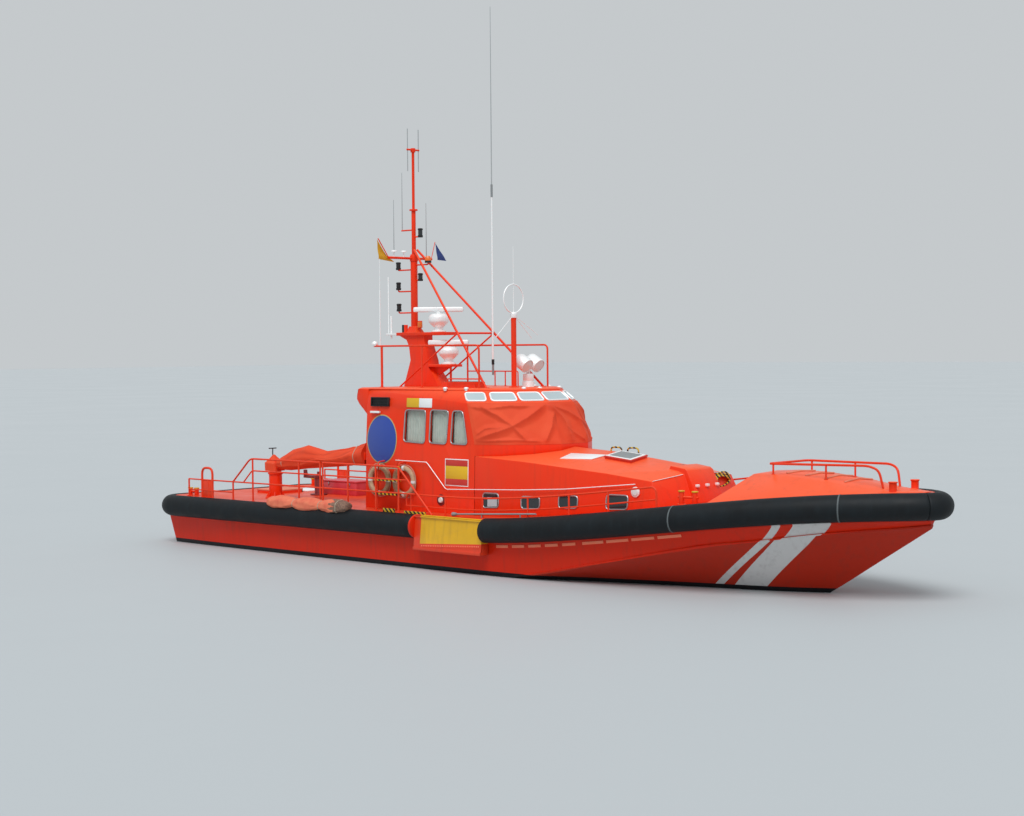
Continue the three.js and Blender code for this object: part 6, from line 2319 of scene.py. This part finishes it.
@dataclass
class Rails:
    """Every rail on the boat, as bent tube."""

    radius: float = 0.022
    # How far the fore rail stands in from the deck's edge, and x of its posts
    inset: float = 0.16
    fore_posts: tuple = (-1.7, -0.6, 0.55, 1.88, 3.0, 4.0)
    # The bow rail's corners on the port side
    bow_path: tuple = (
        (7.044, 0, 2.58), (7.044, 0.696, 2.58), (9.18, 0.4, 2.6), (9.38, 0.345, 2.52), (9.45, 0.305, 2.175),
    )
    # Radius and height pairs of the small aerial on the starboard roof rail
    ball: tuple = ((0, 0), (0.05, 0.012), (0.075, 0.05), (0.075, 0.08), (0.05, 0.118), (0, 0.13))

    def posts(self, places: Iterable[tuple[float, float, float, float]], radius: float) -> list[Piece]:
        """Posts with a small pad at each foot.

        Args:
            places: The x, y, foot and top of each post.
            radius: The posts' radius.

        Returns:
            The posts and pads.
        """
        made = []
        for x, y, foot, top in places:
            made.append(rod("post", (x, y, foot), (x, y, top), radius, sides=14))
            pad = ((x, y, foot), (x, y, foot + 0.01))
            made.append(rod("post_pad", *pad, radius * 2.1, edge=0.003, sides=18))
        return made

    def aft(self, side: Side) -> None:
        """The aft side rail with its hoop.

        Args:
            side: The side that it is on.
        """
        high, mid, low, stern, r = 2.255, 1.96, 1.655, 1.39, self.radius
        y, deck = side.value * 2.295, FORM.deck(-5) + 0.0003
        runs = [
            tube("bar", [(-8.05, y, low), (-7.36, y, high), (-4.74, y, high)], r, corner=0.12, sides=14),
            tube("bar", [(-4.65, y, high), (-2.04, y, high), (-0.96, y, deck)], r, corner=0.12, sides=14),
            tube("bar", [(-7.64, y, low), (-7.3, y, mid), (-4.74, y, mid)], 0.018, corner=0.08),
            tube("bar", [(-4.65, y, mid), (-1.78, y, mid)], 0.018),
            tube("bar", [(-9.85, y, low), (-1.5, y, low)], 0.018),
            tube("bar", [(-9.85, y, stern), (-8.05, y, stern)], 0.018),
        ]
        tops = [(x, low) for x in (-9.85, -9.05, -8.05)]
        tops += [(x, high) for x in (-7.27, -5.52, -4.74, -4.65, -3.76, -2.8, -2.04)]
        runs += self.posts([(x, y, deck, top) for x, top in tops], r)
        hoop = [(-9.3, y, deck), (-9.3, y, 1.96), (-8.88, y, 1.96), (-8.88, y, deck)]
        runs.append(tube("hoop", hoop, 0.03, corner=0.16, sides=16))
        runs.append(block("hoop_plate", (-9.29, y - 0.008, deck), (-8.89, y + 0.008, 1.64), 0.003))
        node = "aft_rail_" + side.word
        placed(joined(node + "_tubes", runs), RAIL, replaces=[node])

    def sheer_spot(self, side: Side, x: float, up: float) -> Vector:
        """A place on the fore side rail's line, by its height over the deck."""
        return Vector((x, side.value * (FORM.half_width(x) - self.inset), FORM.deck(x) + up))

    def fore(self, side: Side) -> None:
        """The fore side rail, which follows the sheer.

        Args:
            side: The side that it is on.
        """
        high, low, aft, fore = 0.43, 0.17, -1.85, 5.15
        places = [(aft, low), (aft, high - 0.06), (aft + 0.06, high)]
        places += [(lerp(aft + 0.5, fore - 0.5, i / 14), high) for i in range(15)]
        places += [(fore - 0.08, high), (fore, high - 0.08), (fore, 0)]
        top = [self.sheer_spot(side, x, up) for x, up in places]
        bottom = [self.sheer_spot(side, lerp(aft, fore, i / 16), low) for i in range(17)]
        runs = [tube("bar", top, 0.02, corner=0.05, sides=14), tube("bar", bottom, 0.016)]
        feet = []
        for x in self.fore_posts:
            foot = self.sheer_spot(side, x, 0)
            feet.append((foot.x, foot.y, FORM.deck(x), FORM.deck(x) + high))
        node = "fore_rail_" + side.word
        rail = joined(node + "_tubes", runs + self.posts(feet, 0.02))
        placed(rail, RAIL, replaces=[node])

    def bow(self) -> None:
        """The low rail on the foredeck."""
        runs = []
        for s in (-1, 1):
            top = [(x, s * y, z) for x, y, z in self.bow_path]
            runs.append(tube("bar", top, 0.024, corner=0.12, sides=14))
            for x in (7.15, 8.29):
                y = s * lerp(0.696, 0.4, (x - 7.044) / 2.136)
                runs += self.posts([(x, y, FORECASTLE.top_z(x, y), 2.585)], 0.02)
        placed(joined("bow_rail_tubes", runs), RAIL, replaces=["bow_rail"])

    def roof(self, side: Side) -> None:
        """A roof rail with what its side carries.

        Args:
            side: The side that it is on.
        """
        y, z, foot, r = side.value * 1.156, 5.005, 4.0305, self.radius
        top = [(-4.04, y, z), (-0.62, y, z), (-0.56, y, z - 0.06), (-0.56, y, foot)]
        runs = [tube("bar", top, r, corner=0.06, sides=14)]
        runs += self.posts([(-3.78, y, foot, z)], 0.03)
        if side is Side.STARBOARD:
            runs += self.posts([(-2.41, y, foot, z)], r)
            low = [(-1.573, y, foot), (-1.573, y, 4.24), (-0.53, y, 4.24)]
            runs.append(tube("bar", low, 0.015, corner=0.05))
            whip = [
                rod("whip", (-3.83, y, 4.995), (-3.83, y, 6.33), 0.016, sides=12),
                rod("whip", (-3.83, y, 6.32), (-3.83, y, 7.08), 0.009, 0.006, sides=12),
                turned("ball", self.ball, (-4.02, y, z - 0.01), 28),
            ]
            placed(joined("roof_rail_whip", whip), WHITE)
        else:
            runs += self.posts([(-3.195, y, foot, z)], r)
            runs += self.posts([(x, y, foot, 4.38) for x in (-2.27, -1.93)], 0.015)
            low = [(-3.185, y, 4.38), (-1.512, y, 4.38), (-1.512, y, foot)]
            runs.append(tube("bar", low, 0.015, corner=0.05))
        node = "roof_rail_" + side.word
        placed(joined(node + "_tubes", runs), RAIL, replaces=[node])

    def build(self) -> None:
        """Make all rails."""
        for side in Side:
            self.aft(side)
            self.fore(side)
            self.roof(side)
        self.bow()


FORECASTLE = Forecastle()


# Aft deck


@dataclass
class Crane:
    """The deck crane under its canvas."""

    x: float = -7.6
    y: float = -1.3
    top_z: float = 1.86
    tie_at: float = 3.1
    # The hood: rows of points, foot and peak, and how far it reaches aft and forward of the axis
    hood_rows: int = 16
    hood_foot: float = 1.9
    hood_peak: float = 2.3
    hood_reach: tuple = (-0.23, 0.185)
    # The sleeve: points along it and round it, how far its mouth opens underneath as a share of a
    # turn, and how much narrower its ridge is than its middle
    sleeve_count: int = 110
    sleeve_around: int = 52
    mouth: float = 0.06
    ridge_in: float = 0.62
    # x from the slewing axis, half width, bottom, top
    sleeve: tuple = (
        (0.24, 0.19, 1.95, 2.24),
        (0.45, 0.195, 1.93, 2.33),
        (0.7, 0.205, 1.935, 2.45),
        (1.3, 0.215, 1.99, 2.59),
        (2.0, 0.185, 2.06, 2.46),
        (2.8, 0.195, 2.115, 2.56),
        (3.3, 0.205, 2.155, 2.67),
        (3.41, 0.2, 2.17, 2.7),
    )

    def pedestal(self) -> Piece:
        """The pedestal with its flange, gussets and bolts.

        Returns:
            The pedestal.
        """
        x, y, deck = self.x, self.y, FORM.deck(self.x) + 0.0003
        parts = [
            rod("pedestal", (x, y, deck), (x, y, self.top_z), 0.165, sides=40, edge=0.004),
            rod("flange", (x, y, deck), (x, y, deck + 0.03), 0.26, sides=40, edge=0.006),
            rod("collar", (x, y, self.top_z - 0.05), (x, y, self.top_z), 0.19, sides=40, edge=0.006),
        ]
        for angle in turns(8):
            way = Vector((math.cos(angle), math.sin(angle), 0))
            root = Vector((x, y, deck + 0.03))
            outline = [root + way * 0.16, root + way * 0.25, root + way * 0.16 + Vector((0, 0, 0.14))]
            parts.append(slab("gusset", outline, way.cross(Vector((0, 0, 1))) * 0.01, 0))
            bolt = root + Matrix.Rotation(math.radians(22.5), 3, "Z") @ way * 0.215
            parts.append(rod("bolt", bolt, bolt + Vector((0, 0, 0.02)), 0.016, sides=6))
        return joined("crane_pedestal_tube", parts)

    def hood(self) -> Piece:
        """The canvas hood over the crane's head: a peak under the handle with folds down from it.

        Returns:
            The hood.
        """
        rings = []
        aft, fore = self.hood_reach
        for k in range(self.hood_rows + 1):
            v = k / self.hood_rows
            z = lerp(self.hood_foot, self.hood_peak, v)
            wide = lerp(1.0, 0.1, max(0.0, (v - 0.5) / 0.5) ** 0.9)
            ring = []
            for angle in turns(72):
                c, s = math.cos(angle), math.sin(angle)
                square = (abs(c) ** 6 + abs(s) ** 6) ** (-1 / 6)
                pleat = 0.045 * math.sin(7 * angle + 0.8 * math.sin(2 * angle))
                fold = 1 + pleat * (0.35 + 0.65 * wide) * (0.3 + v)
                fold += 0.03 * noise.noise(Vector((c * 2, s * 2, z * 7)))
                x = -0.02 - 0.03 * v + 0.2 * c * square * wide * fold
                y = 0.19 * s * square * wide * fold
                ring.append(Vector((self.x + max(aft, min(fore, x)), self.y + y, z)))
            rings.append(ring)
        return smoothed(loft("crane_hood", rings), 60)

    def sleeve_skin(self) -> Piece:
        """The sleeve over the boom: a tent with a sharp ridge and long folds, open underneath.

        Returns:
            The sleeve, with painted shade marked in its creases and in its closing mouth.
        """
        count, around = self.sleeve_count, self.sleeve_around
        rings, depth = [], []
        for i in range(count + 1):
            x = lerp(self.sleeve[0][0], self.sleeve[-1][0], i / count)
            half, low, high = (read_off(x, self.sleeve, column) for column in (1, 2, 3))
            tied = math.exp(-(((x - self.tie_at) / 0.09) ** 2))
            ring = []
            for j in range(around + 1):
                share = self.mouth + (1 - 2 * self.mouth) * j / around
                angle = -math.pi / 2 + math.tau * share
                c, s = math.cos(angle), math.sin(angle)
                sway = 1.3 * noise.noise(Vector((x * 1.1, angle, 2.0)))
                ridge = 1 - abs(math.sin(2.2 * angle + 0.9 * x + sway))
                fold = 0.026 * ridge**2 - 0.012 + 0.02 * noise.noise(Vector((x * 1.4, angle * 2.2, 4.0)))
                fold *= 1 - tied
                # Painted shade in a band down the flank of each ridge, none at the ties
                depth.append((1 - tied) * max(0.0, 1 - abs(ridge - 0.3) / 0.2) * 0.5)
                wide = half * (0.97 - 0.12 * tied) * (1 - self.ridge_in * max(0.0, s) ** 1.5)
                middle, tall = (low + high) / 2, (high - low) / 2
                z = middle + tall * s * (1 - 0.08 * tied) + fold * 0.7
                ring.append(Vector((self.x + x, self.y + (wide + fold) * c, min(high, max(low, z)))))
            rings.append(ring)
        # The mouth closes inward at the fore end, its inside darkened a little with painted shade
        for share in (0.7, 0.4, 0.12):
            centre = sum(rings[count], Vector()) / len(rings[count])
            rings.append([centre + (point - centre) * share for point in rings[count]])
            depth += [0.2] * (around + 1)
        piece = marked_crease_shade(loft("crane_sleeve", rings, closed=False), depth)
        return smoothed(modified(piece, "SOLIDIFY", thickness=0.0015, offset=-1), 60)

    def build(self) -> None:
        """Make the crane's pieces."""
        placed(self.pedestal(), ENAMEL, replaces=["crane_pedestal"])
        x, y = self.x, self.y
        turret = [
            rod("turret", (x, y, self.top_z + 0.001), (x, y, 1.91), 0.15, sides=36, edge=0.004),
            rod("handle_stem", (x - 0.1, y, 2.16), (x - 0.1, y, 2.46), 0.014),
            rod("handle_bar", (x - 0.1, y - 0.12, 2.46), (x - 0.1, y + 0.12, 2.46), 0.014, edge=0.003),
        ]
        head = joined("crane_turret", turret)
        placed(head, RAIL, body="crane_head", replaces=["crane_head"])
        repainted(head, DARK, lambda middle: middle.z > 2.1)
        hood = placed(self.hood(), CANVAS, body="crane_head")
        placed(dressed("crane_boom", 0.006), ENAMEL, body="crane_boom")
        sleeve = placed(
            self.sleeve_skin(),
            CANVAS,
            body="crane_boom",
            replaces=["crane_boom_cover"],
        )
        ties = []
        for tie_x in (self.tie_at, 0.42):
            half, low, high = (read_off(tie_x, self.sleeve, column) for column in (1, 2, 3))
            path = []
            for a in turns(40):
                c, s = math.cos(a), math.sin(a)
                wide = half * 0.88 * (1 - self.ridge_in * max(0.0, s) ** 1.5)
                path.append((x + tie_x, y + wide * c, (low + high) / 2 + (high - low) * 0.475 * s))
            ties.append(tube("tie", path, 0.008, sides=8, closed=True))
        placed(joined("crane_sleeve_ties", ties), ROPE, body="crane_boom")


@dataclass
class AftDeck:
    """Locker, towing gear, hatch and the rolled rescue net."""

    # The hazard marks on the deck's edge: x0, x1 and top
    marks: tuple = ((-2.5, -2.1, 1.3), (-1.8, -1.09, 1.275))
    # The net's aft and fore ends, the middle of its roll, how far it has rolled over, and the
    # furthest that it reaches past the fenders' side
    net_aft: float = -6.33
    net_fore: float = -3.46
    net_y: float = -2.545
    net_z: float = 1.27
    net_turn: float = -20.0
    net_limit_y: float = -2.715
    # Shares of the net's length at its ties
    ties: tuple = (0.335, 0.665, 0.9)

    def locker(self) -> None:
        """The crimson locker with its latches and handles."""
        placed(dressed("deck_locker", 0.006), CRIMSON)
        placed(dressed("deck_locker_lid", 0.01), CRIMSON, body="deck_locker_lid")
        low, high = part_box("deck_locker")
        y, top = low.y, high.z
        parts = []
        for x in (low.x + 0.25, high.x - 0.25):
            corners = ((x - 0.02, y - 0.012, top - 0.09), (x + 0.02, y, top - 0.01))
            parts.append(block("latch", *corners, 0.003))
            places = ((-0.09, 0), (-0.09, 0.035), (0.09, 0.035), (0.09, 0))
            grip = [(x + along, y - out, top - 0.16) for along, out in places]
            parts.append(tube("grip", grip, 0.007, corner=0.02, sides=10))
        placed(joined("locker_fittings", parts), STEEL)

    def deck_edge(self) -> None:
        """The hazard marks on the deck's edge and the boathooks that lie along the fore rails."""
        marks, hooks = [], []
        for side in Side:
            s = side.value
            for x0, x1, z1 in self.marks:
                low, high = sorted((s * 2.352, s * 2.36))
                marks.append(block("mark", (x0, low, FORM.deck(x0)), (x1, high, z1), 0.003))
            hooks.append(rod("pole", (-0.3, s * 2.26, 1.27), (2.15, s * 2.25, 1.405), 0.02))
            ends = ((-0.34, s * 2.26, 1.268), (-0.22, s * 2.26, 1.274))
            hooks.append(rod("lump", *ends, 0.048, 0.034, edge=0.008))
            for x in (0.55, 1.7):
                ends = [(x, s * 2.255, z) for z in (FORM.deck(x), 1.3 + 0.055 * x)]
                hooks.append(rod("rest", *ends, 0.014, sides=10))
        placed(joined("deck_edge_marks", marks), HAZARD)
        placed(joined("boathooks", hooks), GREY)

    def net(self) -> None:
        """The rolled net on the fender in its salmon canvas, with its ties and its ragged fore end."""
        count, around = 130, 44
        turn = math.radians(self.net_turn)
        sine, cosine = math.sin(turn), math.cos(turn)
        rings = []
        for i in range(count + 1):
            share = i / count
            x = lerp(self.net_aft, self.net_fore, share)
            fat = 0.54 + 0.5 * abs(math.sin(3 * math.pi * share)) ** 0.55
            fat *= 0.78 if i in (0, count) else 1
            ragged = min(1, max(0, (share - 0.82) / 0.1))
            ring = []
            for angle in turns(around):
                way = (math.cos(angle) * 1.6, math.sin(angle) * 1.6)
                lump = 1 + 0.09 * noise.noise(Vector((x * 3.4, *way)))
                lump += 0.05 - 0.16 * abs(noise.noise(Vector((x * 4.2, way[0] * 1.1, way[1] * 1.1 + 3))))
                lump += ragged * 0.12 * noise.noise(Vector((x * 21, way[0] * 5, way[1] * 5)))
                across = 0.19 * fat * lump * math.cos(angle)
                up = 0.147 * fat * lump * math.sin(angle)
                y = self.net_y + across * cosine + up * sine
                z = self.net_z - across * sine + up * cosine
                ring.append(self.lifted(Vector((x, y, z))))
            rings.append(ring)
        roll = smoothed(loft("rescue_net_bundle", rings), 60)
        placed(roll, NET, replaces=["rescue_net_roll"])
        repainted(roll, MESH, lambda middle: middle.x > -3.92 + 0.1 * math.sin(middle.z * 60))
        ties = []
        for share in self.ties:
            ring = rings[round(share * count)]
            centre = sum(ring, Vector()) / len(ring)
            path = [centre + (p - centre) * 1.02 for p in ring]
            ties.append(tube("net_tie", path, 0.008, sides=8, closed=True))
        placed(joined("rescue_net_ties", ties), ROPE)

    def lifted(self, point: Vector) -> Vector:
        """Keep a point of the net within its limit and out of the fender and the deck.

        Args:
            point: Where the roll alone would have it.

        Returns:
            Where it lies.
        """
        point = Vector((point.x, max(point.y, self.net_limit_y), point.z))
        centre_y, centre_z = -(FORM.half_beam + FORM.fender_out), FORM.fender_z
        away = Vector((0, point.y - centre_y, point.z - centre_z))
        if away.length < FORM.fender_r + 0.002:
            away = away.normalized() * (FORM.fender_r + 0.002)
            point = Vector((point.x, centre_y + away.y, centre_z + away.z))
        if point.y > -FORM.half_beam:
            point.z = max(point.z, FORM.deck(point.x) + 0.002)
        return point

    def build(self) -> None:
        """Make what stands on the aft deck."""
        self.locker()
        placed(dressed("tow_post", 0.005), MAROON)
        placed(dressed("tow_hook", 0.006), MAROON, body="tow_hook")
        placed(dressed("engine_hatch_lid", 0.006), DECK, body="engine_hatch_lid")
        deck = FORM.deck(-9)
        placed(block("deck_board", (-9.35, 0.5, deck), (-8.5, 1.4, deck + 0.03), 0.006), WHITE)
        self.deck_edge()
        self.net()


# Underwater gear and flags


@dataclass
class Underwater:
    """Screws, shafts and rudders."""

    def build(self) -> None:
        """Dress the gear below the water."""
        for side in Side:
            screw, rudder = "screw_" + side.word, "rudder_" + side.word
            placed(dressed(screw, 0.003, 50), BRONZE, body=screw)
            placed(dressed("shaft_line_" + side.word, 0.003), STEEL)
            placed(dressed(rudder, 0.004), STEEL, body=rudder)


@dataclass
class Flags:
    """The two flags on the mast's crossarm."""

    x: float = -3.85
    folds: int = 3
    # y and z of each flag's corners
    yellow: tuple = ((-1.166, 7.55), (-1.118, 7.076), (-0.597, 7.02), (-0.874, 7.164))
    blue: tuple = ((0.712, 7.512), (0.782, 7.108), (1.093, 7.092), (0.72, 7.505))

    def flag(self, name: str, corners: Sequence[Sequence[float]], x: float, depth: float) -> Piece:
        """A hanging flag in the transverse plane, with folds across it.

        Args:
            name: The flag's name.
            corners: Its four corners, y and z.
            x: The plane's place.
            depth: How deep its folds are.

        Returns:
            The flag.
        """
        (y0, z0), (y1, z1), (y2, z2), (y3, z3) = corners
        columns, rows = 36, 24
        rings = []
        for j in range(rows + 1):
            v = j / rows
            ring = []
            for i in range(columns + 1):
                u = i / columns
                y = lerp(lerp(y0, y1, u), lerp(y3, y2, u), v)
                z = lerp(lerp(z0, z1, u), lerp(z3, z2, u), v)
                wave = depth * math.sin(self.folds * math.pi * u + 1.5 * v) * (0.25 + 0.75 * u)
                ring.append(Vector((x + wave, y, z)))
            rings.append(ring)
        cloth = loft(name, rings, closed=False)
        return smoothed(modified(cloth, "SOLIDIFY", thickness=0.0008, offset=0), 60)

    def build(self) -> None:
        """Make both flags."""
        yellow = self.flag("yellow_flag", self.yellow, self.x - 0.05, 0.012)
        placed(yellow, FLAG_YELLOW, replaces=["stern_flag"])
        blue = self.flag("blue_flag", self.blue, self.x + 0.018, 0.008)
        placed(blue, FLAG_BLUE, replaces=["signal_flag"])


# Stage


@dataclass
class Stage:
    """The floor at the waterline, the light and the camera."""

    lens_mm: float = 65.07
    place: tuple = (28.6075, -31.1561, 4.9224)
    heading: float = 43.183
    pitch: float = 1.8403
    roll: float = -0.46237
    sky: str = "e4e9ec"
    sky_strength: float = 0.72
    sun_strength: float = 2.1
    sun_degrees: float = 35.0
    # The way to the sun
    sun_way: tuple = (0.35, -0.55, 1.0)

    def camera(self) -> None:
        """The camera at the photograph's viewing angle."""
        data = bpy.data.cameras.new("camera")
        data.lens = self.lens_mm
        data.sensor_width = 36.0
        data.clip_end = 1000.0
        camera = bpy.data.objects.new("camera", data)
        bpy.context.scene.collection.objects.link(camera)
        turn = Matrix.Rotation(math.radians(self.heading), 4, "Z")
        tip = Matrix.Rotation(math.radians(90 - self.pitch), 4, "X")
        bank = Matrix.Rotation(math.radians(self.roll), 4, "Z")
        camera.matrix_world = Matrix.Translation(self.place) @ turn @ tip @ bank
        bpy.context.scene.camera = camera

    def light(self) -> None:
        """A pale sky and one broad soft lamp from high on the camera's side."""
        world = bpy.data.worlds.new("pale_sky")
        bpy.context.scene.world = world
        world.use_nodes = True
        background = world.node_tree.nodes["Background"]
        background.inputs["Color"].default_value = srgb(self.sky)
        background.inputs["Strength"].default_value = self.sky_strength
        data = bpy.data.lights.new("soft_sun", "SUN")
        data.energy = self.sun_strength
        data.angle = math.radians(self.sun_degrees)
        lamp = bpy.data.objects.new("soft_sun", data)
        bpy.context.scene.collection.objects.link(lamp)
        lamp.rotation_euler = Vector(self.sun_way).to_track_quat("Z", "Y").to_euler()

    def build(self) -> None:
        """Set the stage."""
        self.camera()
        self.light()
        floor = primitive("floor", bpy.ops.mesh.primitive_plane_add, size=900)
        floor.data.materials.append(FLOOR.build())


def main() -> None:
    """Build the sub-assemblies in order, then the stage."""
    logging.basicConfig(level=logging.INFO, format="%(message)s")
    bpy.context.scene.view_settings.view_transform = "Standard"
    parts = [Stage(), Hull(), Fenders(), RescueZones(), FORECASTLE, ForeCabin(), Wheelhouse()]
    parts += [Mast(), Radars(), Searchlight(), Rails(), Crane(), AftDeck(), Underwater(), Flags()]
    for part in parts:
        part.build()
        log.info("%s built", type(part).__name__)


if __name__ == "__main__":
    main()
